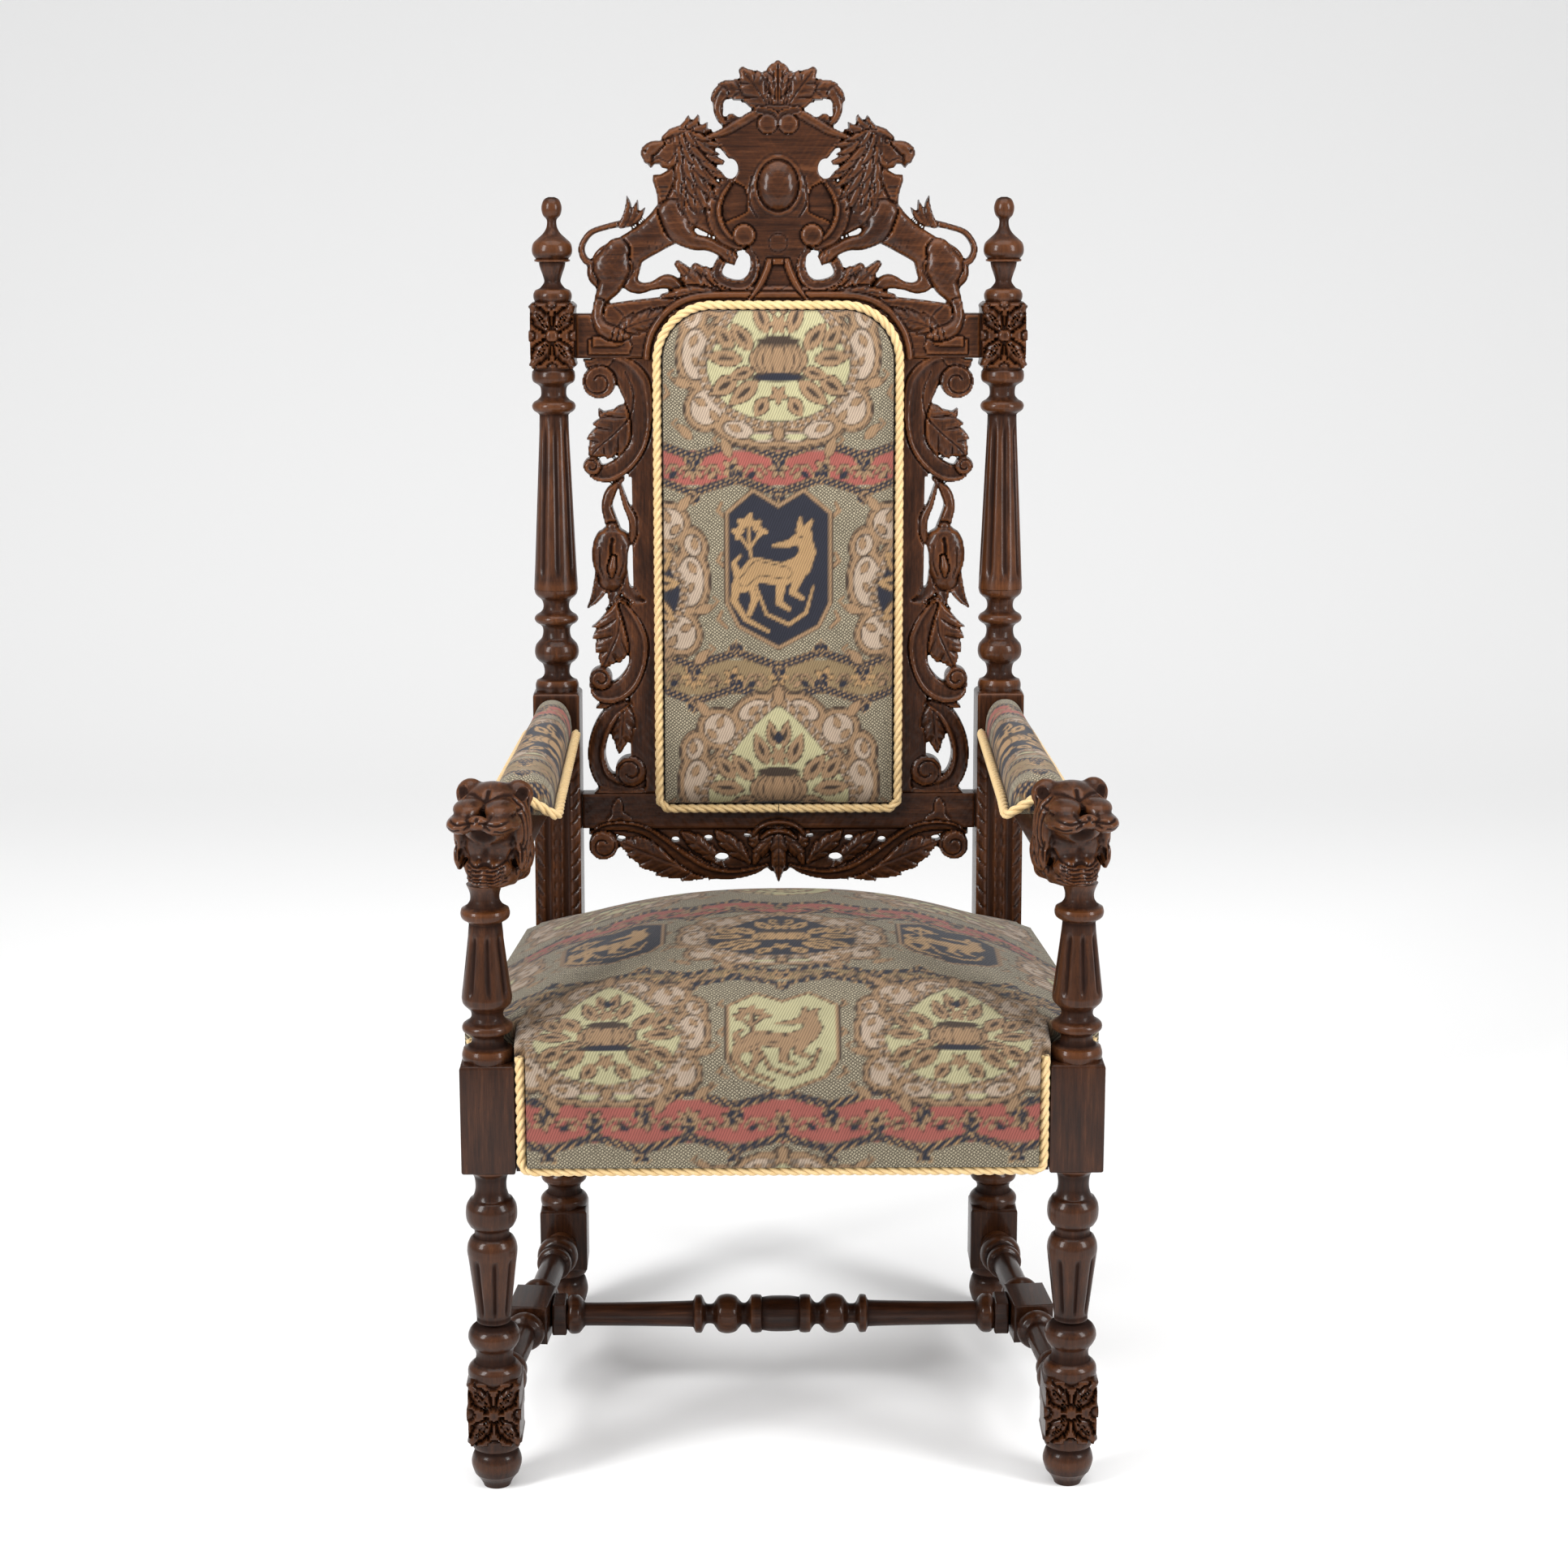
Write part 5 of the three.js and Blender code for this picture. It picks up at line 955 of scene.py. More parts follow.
def carve_side():
    relief = Relief((-232, -1.5), (-140.5, 510), 1.5)
    relief.slab([(-142, 0), (-142, 509), (-174, 509), (-174, 0)], 11.8, edge=1.4, drop=0.9)
    # third scroll at the bottom, which turns towards the stile
    relief.leaf([(-181.1, 110.4, 5.8, 12), (-182.6, 90.1, 15.9, 13), (-184.9, 66.6, 12.4, 13),
                 (-188, 47.1, 1.9, 11)], 3, notch=0.3)
    relief.leaf([(-174.1, 105.7, 2.7, 12), (-200.4, 104.9, 6.6, 12), (-213.6, 101, 1.6, 11)], 2, notch=0.3)
    relief.limb([(-178.7, 105.7, 3.9, 12), (-196.6, 94, 9.3, 13), (-209.8, 70.5, 10.5, 13.5),
                 (-214.4, 43.2, 10.5, 13.5), (-206.7, 17.8, 11.3, 13.5), (-187.3, 5.7, 12.4, 13.5),
                 (-167.1, 12, 11.3, 13.5)], "lip", groove=1.4)
    relief.slab([(-218.3, -1.3), (-157.8, -1.3), (-157.8, 5), (-185.7, 3.4), (-209, 8.9)], 11.0, 0.0, 1.5, 1.0)
    relief.volute(-174.6, 25.6, 18.0, 14.5, -1, -1.6, groove=1.8, flat=7)
    # middle scroll and its leaf
    relief.leaf([(-188.9, 231.3, 4.8, 11), (-185.7, 212.5, 22.4, 13), (-187.8, 189.7, 32.6, 13.5),
                 (-196.3, 169.6, 24.6, 13), (-205.4, 150, 4.3, 11)], 4, notch=0.4, depth=2.0)
    relief.limb([(-182, 221.9, 5.3, 12), (-170.2, 199.1, 10.7, 13), (-163.9, 176.3, 12.3, 13.8),
                 (-166.5, 149.4, 10.4, 13.8), (-178.8, 127.9, 11.7, 13.8), (-195.3, 118.3, 11.7, 13.8),
                 (-209.9, 119.4, 9.9, 13.5), (-217.1, 127.9, 5.3, 13)], "lip", groove=1.5)
    relief.volute(-208.6, 136.0, 13.2, 14.6, -1, -1.6, groove=1.8, flat=7)
    # bellflower on its stems
    relief.limb([(-186.8, 364.8, 3.2, 10), (-195.3, 353.5, 6.4, 12), (-199.5, 338.7, 6.4, 12.5),
                 (-196.3, 323.9, 7.2, 12), (-192.1, 311.9, 7.7, 11)], "round", root=0.55)
    relief.limb([(-183, 369.6, 4, 11), (-180.4, 353.5, 4.3, 12), (-175.6, 337.4, 4.8, 12.5),
                 (-169.7, 323.9, 5.6, 12.5), (-168.7, 307.8, 4.8, 12), (-172.4, 295, 4, 11)], "round",
                root=0.55)
    relief.limb([(-202.7, 262.2, 10.9, 11), (-209.1, 240.7, 8.5, 12), (-215.3, 228.6, 5.3, 12),
                 (-223, 219.2, 1.1, 10)], "cove", groove=1.2)
    relief.limb([(-183, 264.9, 10.9, 11), (-176.6, 243.4, 9.9, 12.5), (-167.3, 231.3, 5.9, 12.5),
                 (-156.7, 227.8, 1.3, 11.5)], "cove", groove=1.2)
    relief.limb([(-192.1, 262.2, 9.9, 11), (-192.1, 240.7, 9.1, 12), (-195.8, 225.1, 2.7, 11)], "cove",
                groove=1.2)
    relief.limb([(-193.9, 313.7, 7.2, 11), (-193.9, 303.8, 19, 15), (-193.9, 286.4, 23.5, 17),
                 (-194.7, 267.6, 21.6, 16), (-195.3, 252.8, 14.4, 12.5)], "round", groove=1.4, root=0.35)
    relief.incise([(-193.1, 299.8), (-194.7, 286.4), (-192.1, 275.6)], 2.6, 4.0)
    relief.limb([(-192.1, 278.3, 4.5, 15), (-193.9, 266.2, 5.9, 18), (-194.2, 256.8, 2.7, 15)], "round",
                groove=1.2, root=0.5)
    relief.incise([(-207.3, 289), (-208.1, 270.2), (-203.8, 255.5)], 1.2, 1.4)
    relief.incise([(-180.6, 291.7), (-180.4, 272.9), (-185.2, 256.8)], 1.2, 1.4)
    # upper scroll: leaf, band, curled tip and two volutes
    relief.slab([(-208.6, 451.8), (-202.7, 447.5), (-193.9, 447.5), (-185.7, 454.4), (-176.6, 456.9),
                 (-174, 444.8), (-184.6, 435.4), (-195.3, 432.4), (-204.3, 435.6), (-208.6, 443.2)], 10.5, 1.0,
                3.0, 2.5)
    relief.leaf([(-163.3, 460.9, 6.4, 12), (-173.4, 439.9, 22.4, 13.5), (-190, 422, 29.9, 13.5),
                 (-207, 407.7, 20.8, 12.5), (-217.1, 397, 4.3, 11)], 4, notch=0.4, depth=2.0)
    relief.limb([(-217.1, 501.2, 6.4, 12), (-200.6, 503.8, 9.9, 13), (-182, 498.5, 14.4, 13.8),
                 (-166.5, 479.7, 19, 13.8), (-160.1, 455.5, 15.8, 13.8), (-158.5, 431.3, 12.3, 13.8),
                 (-163.3, 408.5, 10.4, 13.8), (-176.6, 389.7, 10.4, 13.8), (-193.9, 377.6, 10.9, 13.8),
                 (-209.9, 376.3, 9.1, 13.4), (-218.7, 383, 5.3, 13)], "lip", groove=1.5)
    relief.incise([(-176.6, 493.1), (-168.7, 474.3), (-168.7, 452.8), (-176.6, 434)], 1.3, 1.5)
    relief.volute(-216.2, 384.8, 10.4, 14.4, -1, -1.6, groove=1.8, flat=7)
    relief.slab([(-226.2, 508.1), (-190, 508.1), (-195.3, 500.1), (-216.6, 497.9), (-221.9, 500.1)], 12.2, 0.8,
                2.0, 1.5)
    relief.volute(-207.3, 481.8, 19.3, 14.6, 1, 1.6, groove=1.9, flat=8)
    # the openings that show the wall behind
    relief.pierce([(-183, 364.8), (-176.6, 369.6), (-170.2, 374.4), (-169.7, 334.7), (-174, 340.1),
                   (-178.8, 353.5)])
    relief.pierce([(-170, 293.1), (-169.2, 238), (-174.5, 246.1), (-176.6, 264.9), (-175.6, 283.7),
                   (-172.9, 293.1)])
    relief.hand_worn(0.2)
    return relief


side_relief = carve_side()
for word, flip in (("left", 1), ("right", -1)):
    cut = carve(side_relief, -12.0,
                board_frame @ Matrix.Translation((0, SIDE_BOTTOM, 0)) @ Matrix.Scale(flip, 4, (1, 0, 0)))
    if flip < 0:
        bmesh.ops.reverse_faces(cut, faces=cut.faces)
    side = wooden("carved_side_" + word, cut, oak_upright)
    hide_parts("side_scroll_" + word)

# %% [markdown]
# ## The lower rail and its apron
# The rail under the tapestry carries a pierced apron: a volute at each end, a long band that runs down to
# the middle over a saw-edged leaf, smaller leaves above it, and a hanging palmette under a little arch.

# %% The lower rail
def carve_lower():
    relief = Relief((-234, -68.4), (234, 44.4), 1.5, fold=True)
    relief.slab([(-224.5, -9.3), (-189.6, -9.3), (-178, -24.1), (-147, -41.7), (-119.8, -47.5), (-84.9, -53.4),
                 (-61.7, -58.5), (-30.7, -56.1), (-14.4, -48.3), (-9, -53.4), (19.7, -59.2), (19.7, -0.7),
                 (-224.5, -0.7)], 6.0, 0.0, 2.5, 2.0)
    relief.leaf([(-50.1, -55.3, 3.1, 9), (-84.9, -52.2, 12.4, 12), (-119.8, -44.4, 21, 12.5),
                 (-156.7, -29.6, 21, 12), (-191.1, -15.5, 3.1, 10)], 6, notch=0.3)
    relief.leaf([(-65.6, -47.5, 3.1, 9), (-82.6, -30, 9.3, 12), (-100.4, -15.5, 10.1, 12.5),
                 (-114.4, -5.4, 2.3, 11)], 3, notch=0.3)
    relief.leaf([(-34.6, -41.7, 3.1, 9), (-50.1, -26.1, 10.9, 12), (-64.8, -13.2, 9.3, 12.5),
                 (-74.1, -3.8, 2.3, 11)], 3, notch=0.3)
    relief.leaf([(-15.2, -31.9, 3.9, 9), (-26, -16.3, 10.1, 12.5), (-34.6, -4.6, 3.1, 11)], 2, notch=0.3)
    relief.slab([(-231.65, 0), (-231.65, 42), (12, 42), (12, 0)], 14.0, edge=1.6, drop=1.2)
    relief.slab([(-199.7, 4), (-202.8, 10.3), (-197.3, 16.5), (-196.2, 27.4), (-188.8, 36.8), (-183.4, 28.2),
                 (-182.6, 19.6), (-174.1, 13.4), (-171, 3.2), (-178.7, 7.1), (-186.5, 11), (-193.5, 7.1)], 15.6,
                1.4, 1.6, 1.2, smooth=40)
    relief.limb([(-219.1, -5.4, 3.9, 14), (-202.8, 1.7, 5.4, 15.5), (-179.5, 2.4, 6.2, 15.5),
                 (-156.3, -3.8, 6.2, 15), (-134.6, -19.4, 7, 14), (-111.3, -38.2, 8.6, 13.5),
                 (-86.5, -52.2, 7.8, 13.5), (-57.8, -56.9, 6.2, 13), (-30.7, -53, 4.7, 12),
                 (-13.6, -46, 2.3, 11)], "lip", groove=1.5)
    relief.volute(-207.2, -20.6, 17.3, 15.5, -1, 1.6, groove=1.8, flat=7)
    relief.leaf([(0, -6.5, 11.7, 13), (-15.2, -20.2, 10.1, 14), (-24.5, -31.9, 7, 13), (-29.1, -44.4, 1.9, 11)],
                3, notch=0.3)
    relief.leaf([(0, -0.7, 7, 14), (0, -24.1, 10.1, 16), (0, -47.5, 7.8, 15), (0, -64.7, 1.6, 12)], 3,
                notch=0.3)
    relief.limb([(-30.7, -9.3, 2.3, 13), (-24.5, -0.7, 3.1, 15.5), (-13.6, 5.6, 3.5, 16.5), (0, 7.9, 3.5, 17)],
                "round", root=0.6, groove=1.4)
    relief.limb([(-20.6, -12.4, 1.9, 13), (-11.3, -5.4, 3.1, 16), (0, -3, 3.1, 16.5)], "round", root=0.6,
                groove=1.2)
    for x, y, wide, tall in ((-67.5, -35.9, 8.5, 5.2), (-186, -13.0, 5.5, 3.2), (-122, -14.5, 5.0, 3.4),
                             (-83, -12.5, 5.4, 3.4), (-36.5, -9.6, 6.5, 2.0)):
        relief.pierce([(x + wide * math.cos(t), y + tall * math.sin(t)) for t in np.linspace(0, 6.0, 14)])
    relief.hand_worn(0.2)
    return relief


lower_place = board_frame @ Matrix.Translation((0, 180, 0))
lower_rail_back = rail_back((-231.6, 0.3), (231.6, 41.7), 11.0, -14.0)
lower = wooden("carved_lower_rail", carve(carve_lower(), -8.0, lower_place, lower_rail_back), oak_across)
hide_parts("lower_rail")

# %% [markdown]
# ## The tapestry
# The cover is a woven tapestry in an old medallion pattern: pointed medallions with a vase of leaves,
# shields with a beast and a sprig, and wavy bands between rows of dark leaflets, on a ground of net. It is
# painted here as a dyer would plan it, one shape at a time, from `distance` rules in millimetres of cloth.
# A shape is where its distance is below zero, and the dark outline is where it is near zero.

# %% Dyes and the distances of simple shapes
def dye(red, green, blue):
    return np.array([((c / 255 + 0.055) / 1.055) ** 2.4 for c in (red, green, blue)])


TAN, INK, NAVY = dye(139, 112, 85), dye(60, 49, 41), dye(38, 39, 48)
ROSE, GREEN, PINK = dye(142, 79, 71), dye(163, 157, 122), dye(161, 143, 125)
NET, GOLD, OLIVE = dye(159, 149, 126), dye(152, 122, 86), dye(125, 106, 78)


def turned_by(x, y, cx, cy, turn):
    c, s = math.cos(turn), math.sin(turn)
    return (x - cx) * c + (y - cy) * s, (y - cy) * c - (x - cx) * s


def oval(x, y, cx, cy, rx, ry, turn=0.0):
    along, over = turned_by(x, y, cx, cy, turn)
    return (np.hypot(along / rx, over / ry) - 1) * min(rx, ry)


def leaflet(x, y, cx, cy, length, width, turn):
    along, over = turned_by(x, y, cx, cy, turn)
    share = np.clip(along / length, -1.2, 1.2)
    return np.maximum(np.abs(over) - width * (1 - share ** 2) * (1 - 0.25 * share), np.abs(along) - length)


def brush(x, y, points):
    best = np.full(x.shape, 1e3)
    for (x0, y0, r0), (x1, y1, r1) in zip(points, points[1:]):
        dx, dy = x1 - x0, y1 - y0
        t = np.clip(((x - x0) * dx + (y - y0) * dy) / (dx * dx + dy * dy), 0, 1)
        best = np.minimum(best, np.hypot(x - x0 - t * dx, y - y0 - t * dy) - (r0 + (r1 - r0) * t))
    return best


def hull(x, y, points):
    inside = np.zeros(x.shape, bool)
    for (x0, y0), (x1, y1) in zip(points, points[1:] + points[:1]):
        if y0 != y1:
            inside ^= ((y0 > y) != (y1 > y)) & (x < (x1 - x0) * (y - y0) / (y1 - y0) + x0)
    edge = brush(x, y, [(*p, 0) for p in points + points[:1]])
    return np.where(inside, -edge, edge)


def blossom(x, y, cx, cy, radius, petals, turn=0.0):
    angle = np.arctan2(y - cy, x - cx) + turn
    return np.hypot(x - cx, y - cy) - radius * (0.76 + 0.24 * np.cos(petals * angle))


# %% [markdown]
# `Tapestry` holds the places of all points of one cover, with a colour for each. Its motifs are painted
# from the back to the front, like patches sewn on, and each has soft edges one thread wide.

# %% Painting motifs on a cover
REPEAT, SWING = 197.0, 8.0


class Tapestry:
    def __init__(self, u, v):
        self.u, self.v = u, v
        self.rgb = np.tile(NET, (len(u), 1))
        self.net = np.ones(len(u))

    def put(self, distance, colour, line=1.3, ink=INK, where=slice(None)):
        for edge, tint in ((line, ink), (0.0, colour)):
            if tint is None:
                continue
            share = np.clip(0.5 - (distance - edge) / 1.1, 0, 1)[:, None]
            self.rgb[where] = self.rgb[where] * (1 - share) + tint * share
            self.net[where] *= 1 - share[:, 0]

    def near(self, cx, cy, sx, sy, reach):
        x, y = (self.u - cx) / sx, (self.v - cy) / sy
        close = np.nonzero((np.abs(x) < reach) & (np.abs(y) < reach))[0]

        def put(distance, colour, line=1.3, ink=INK):
            self.put(distance, colour, line, ink, close)

        return put, x[close], y[close]

    def garland(self, low, tall=1.0, flip=1):
        period = REPEAT / 2
        phase = self.u / period
        saw = np.abs(((phase + 0.5) % 1.0) - 0.5) * 2
        line = low + SWING * tall * (2 * saw ** 0.9 - 1) * flip
        off = (self.v - line) / tall
        lean = np.where((phase % 1.0) < 0.5, 1, -1)
        strip = np.abs(((self.u * lean + off * 1.3) / 6.4) % 1.0 - 0.5) * 2
        leaf = np.maximum(np.abs(off) - 4.8, (strip - 0.78) * 4)
        self.put(np.abs(off) - 5.0, GOLD, 0.8)
        self.put(leaf, NAVY, 0, None)
        for half in (0.0, 0.5):
            x = (((phase + half + 0.5) % 1.0) - 0.5) * period
            up = -1 if half == 0.0 else 1
            y = (self.v - low - up * SWING * tall * flip * 2.0) / tall
            for side in (-1, 0, 1):
                self.put(leaflet(x, y, side * 4.5, -abs(side) * up * 1.5, 6.5, 3.2, math.pi / 2 + side * 0.6 * up),
                         NAVY, 0.9, GOLD)

    def band(self, middle, half, colour, tall=1.0, flip=1):
        low = middle - half * tall
        high = middle + half * tall
        inside = np.maximum(low - self.v, self.v - high)
        self.put(inside, colour, 0)
        for place, kind in ((0.0, 6), (0.27, 5), (0.5, 8), (0.73, 5)):
            x = ((self.u / REPEAT + place + 0.5) % 1.0 - 0.5) * REPEAT
            y = (self.v - middle) / tall
            size = 15 if kind == 8 else 12
            self.put(blossom(x, y, 0, 0, size, kind), TAN if colour is not OLIVE else GOLD, 1.6)
            self.put(blossom(x, y, 0, 0, size * 0.55, kind, 0.4), INK, 0, None)
            self.put(blossom(x, y, 0, 0, size * 0.42, kind, 0.4), TAN, 0, None)
            self.put(oval(x, y, 0, 0, 2.8, 4.2), NAVY, 0.6)
            for side in (-1, 1):
                curl = brush(x, y, [(side * 14, -6, 1.2), (side * 20, 3, 1.3), (side * 27, 2, 0.9),
                                    (side * 26, -4, 1)])
                self.put(curl, TAN, 0.9)
                self.put(leaflet(x, y, side * 22, -8, 6, 3, side * 0.7), NAVY if kind == 5 else TAN, 0.9)
        self.garland(low - 1, tall=tall, flip=flip)
        self.garland(high + 1, tall=tall, flip=flip)

    def medallion(self, cx, cy, field=GREEN, sx=1.0, sy=1.0):
        put, x, y = self.near(cx, cy, sx, sy, 150)
        a = np.abs(x)
        lobes = [(95, 10, 15, 28, 0.0), (82, -50, 18, 20, 0.5), (98, 52, 9, 12, 0.3), (69, 76, 18, 17, 0.6),
                 (30, 98, 17, 10, -0.5), (46, -76, 17, 9, 0.25), (17, -84, 14, 6, 0.0)]
        cover = np.full(x.shape, 1e3)
        for lx, ly, rx, ry, turn in lobes:
            cover = np.minimum(cover, oval(a, y, lx, ly, rx, ry, turn))
        field_low = oval(x, y, 0, 0, 82, 66)
        field_high = ((a / 82) ** 1.2 + (np.maximum(y, 0) / 103) ** 1.2) ** (1 / 1.2) * 66 - 66
        inner = np.where(y < 0, field_low, field_high)
        whole = np.minimum(cover, inner - 8)
        put(whole - 8, TAN, 1.8)
        put(np.abs(whole - 6.5) - 0.7, INK, 0, None)
        for lx, ly, turn in ((112, -22, 0.3), (88, 100, 0.9), (108, -78, 0.8), (60, -96, 1.2)):
            put(leaflet(a, y, lx, ly, 13, 5.5, turn), TAN, 1.4)
            put(brush(a, y, [(lx + 8, ly + 2, 1.1), (lx + 15, ly + 9, 1.3), (lx + 9, ly + 14, 1.2)]), TAN, 1.0)
        put(whole, PINK, 1.4)
        for lx, ly, turn in ((97, 26, 2.1), (94, 2, 0.9), (90, -44, 0.5), (74, -60, 1.0), (68, 84, 1.9),
                             (78, 70, 0.8), (100, 54, 1.6), (29, 98, 2.4), (50, -74, 0.4)):
            put(leaflet(a, y, lx, ly, 8, 4, turn), TAN, 1.2)
        put(oval(a, y, 20, -84, 12, 3.4), GREEN, 0.8)
        put(inner - 9, PINK, 0.5)
        angle = np.arctan2(y, x) / (2 * math.pi) * 58
        beads = np.hypot(inner - 4.6, (np.abs(angle - np.round(angle)) * 9.4)) - 3.1
        put(beads, TAN, 1.2)
        put(inner, field, 0.9)
        put(oval(x, y, 0, -80, 6, 7.5), TAN, 1.4)
        put(leaflet(x, y, 0, 116, 13, 6, math.pi / 2), TAN, 1.4)
        spray = TAN if field is not NAVY else GOLD
        for lx, ly, length, width, turn in ((62, 6, 22, 9, 0.1), (62, 30, 17, 9, 0.9), (62, -26, 18, 10, -0.6),
                                            (42, 30, 20, 9, 0.9), (40, -34, 22, 9, -0.7), (20, 52, 20, 8, 1.2),
                                            (20, -50, 13, 8, -1.0), (42, -12, 16, 7, -0.25), (8, 70, 16, 6, 1.4)):
            rim = leaflet(a, y, lx, ly, length, width, turn)
            put(rim + 0.9 * np.cos(a * 1.4) * np.cos(y * 1.4), spray, 1.5)
            put(leaflet(a, y, lx, ly, length * 0.5, width * 0.32, turn), INK, 0, None)
        put(oval(x, y, 0, 4, 32, 21) + 0.8 * np.cos(a * 0.9), spray, 1.8)
        for rib in (8, 18, 26):
            put(np.abs(oval(x, y, 0, 4, rib, 20)) - 0.7, INK, 0, None)
        put(oval(x, y, 0, 25, 22, 5), INK, 0.8)
        put(oval(x, y, 0, -16, 27, 4.5), NAVY, 0.8)
        put(blossom(x, y, 0, -36, 11, 5, 0.3), spray, 1.4)
        put(blossom(x, y, 0, 44, 12, 6), spray, 1.4)
        put(leaflet(x, y, 0, 66, 7, 5, math.pi / 2), NAVY, 1.0)

    def shield(self, cx, cy, field=NAVY, sx=1.0, sy=1.0, face=1):
        put, x, y = self.near(cx, cy, sx, sy, 110)
        rim = hull(x, y, [(0, 70), (29, 88), (57, 64), (57, -38), (44, -64), (0, -88), (-44, -64), (-57, -38),
                          (-57, 64), (-29, 88)])
        for side in (-1, 1):
            for ly in (66, 8, -60):
                hook = [(side * 60, ly - 8, 1.6), (side * 70, ly + 2, 2.2), (side * 66, ly + 11, 1.6)]
                put(brush(x, y, hook), TAN, 1.2)
        put(rim - 5, TAN, 1.4)
        put(rim, field, 1.2)
        x = x * face
        beast = TAN if field is not NAVY else GOLD
        line = 1.5 if field is not NAVY else 0.6
        sprig = brush(x, y, [(-31, 6, 1.2), (-34, 34, 1.8), (-34, 60, 1.4)])
        for bx, by in ((-34, 58), (-47, 42), (-20, 44), (-42, 52), (-27, 52)):
            sprig = np.minimum(sprig, blossom(x, y, bx, by, 8, 3, bx * 0.1))
        sprig = np.minimum(sprig, brush(x, y, [(-47, 42, 1.5), (-34, 24, 2), (-20, 44, 1.5)]))
        put(sprig, beast, line)
        parts = [[(-42, -16, 11), (-26, 0, 14), (4, -6, 13), (26, 4, 12), (34, 20, 9), (29, 36, 9)],
                 [(31, 40, 8), (12, 30, 4.2), (-6, 28, 1.6)], [(30, 44, 6), (38, 56, 2)],
                 [(24, 46, 4), (25, 60, 1.5)],
                 [(-48, -18, 6), (-52, -36, 4), (-38, -58, 3), (-12, -72, 2)],
                 [(-30, -10, 6), (-28, -36, 4), (-34, -52, 3)], [(4, -12, 6), (0, -38, 4), (12, -46, 2.5)],
                 [(26, -4, 6), (16, -26, 4), (28, -34, 2.4)], [(-48, -4, 5), (-52, 8, 2.4), (-44, 16, 1.5)]]
        body = np.full(x.shape, 1e3)
        for part in parts:
            body = np.minimum(body, brush(x, y, part))
        put(body, beast, line)
        tail = brush(x, y, [(-26, -20, 1.6), (-14, -52, 2), (12, -64, 2.2), (32, -50, 2.2), (40, -20, 1.2)])
        put(tail, beast, line)
        put(np.abs(brush(x, y, [(-40, -14, 6), (-24, 2, 8), (8, -4, 7)])) - 0.6, INK, 0, None)
        put(oval(x, y, 26, 38, 1.8, 1.5), INK, 0, None)


# %% [markdown]
# The weave itself is too fine for points, so it lives in the material: slanting ribs over the coloured
# parts, a mesh of dark knots over the net, and a little fading. Both the ribs and the knots also stand up
# as bumps. Their place comes from `cloth_place`, the millimetres across and along the cover.

# %% Material of the cover
def tapestry_cloth():
    bench = Bench("tapestry")
    place = bench.node("ShaderNodeAttribute", {"attribute_name": "cloth_place"}, output=1)
    dyed = bench.node("ShaderNodeAttribute", {"attribute_name": "dye"}, output=0)
    net = bench.node("ShaderNodeAttribute", {"attribute_name": "net"}, output=2)
    slant = bench.stretch(place, (1, 1, 1), (0, 0, 0.38))
    ribs = bench.node("ShaderNodeTexWave", {"wave_type": "BANDS", "bands_direction": "X"},
                      {"Vector": slant, "Scale": 0.115, "Distortion": 1.1, "Detail": 2, "Detail Scale": 0.6}, 1)
    weft = bench.node("ShaderNodeTexWave", {"wave_type": "BANDS", "bands_direction": "Y"},
                      {"Vector": place, "Scale": 0.31, "Distortion": 0.8, "Detail": 1, "Detail Scale": 1.0}, 1)
    knots = bench.node("ShaderNodeTexVoronoi", {"feature": "DISTANCE_TO_EDGE"},
                       {"Vector": bench.stretch(place, (1, 1.25, 1), (0, 0, 0.75)), "Scale": 0.30,
                        "Randomness": 0.35}, 0)
    mesh = bench.clamp(knots, 0.08, 0.26)
    fade = bench.noise(place, 0.02, 3, 0.6)
    shade = bench.mix((1.0 - mesh) * net * 0.92, dyed, (*dye(62, 55, 46), 1))
    ribbed = bench.clamp(ribs, 0.0, 0.42, 0.60, 1.06)
    fine = bench.clamp(weft, 0.0, 0.6, 0.86, 1.05)
    tone = ribbed * fine * bench.clamp(fade, 0.3, 0.7, 0.90, 1.08)
    colour = bench.mix(1.0, shade, bench.node("ShaderNodeCombineXYZ", None, {"X": tone, "Y": tone, "Z": tone}),
                       "MULTIPLY")
    height = ribs * 0.5 + weft * 0.25 + mesh * net * 0.6
    bump = bench.node("ShaderNodeBump", None, {"Height": height, "Strength": 0.5, "Distance": 0.0006})
    bench.shade(Base_Color=colour, Roughness=bench.clamp(fade, 0.2, 0.8, 0.86, 0.96), Normal=bump)
    bench.shader.inputs["Specular IOR Level"].default_value = 0.18
    bench.shader.inputs["Sheen Weight"].default_value = 0.12
    return bench.material


cover_cloth = tapestry_cloth()
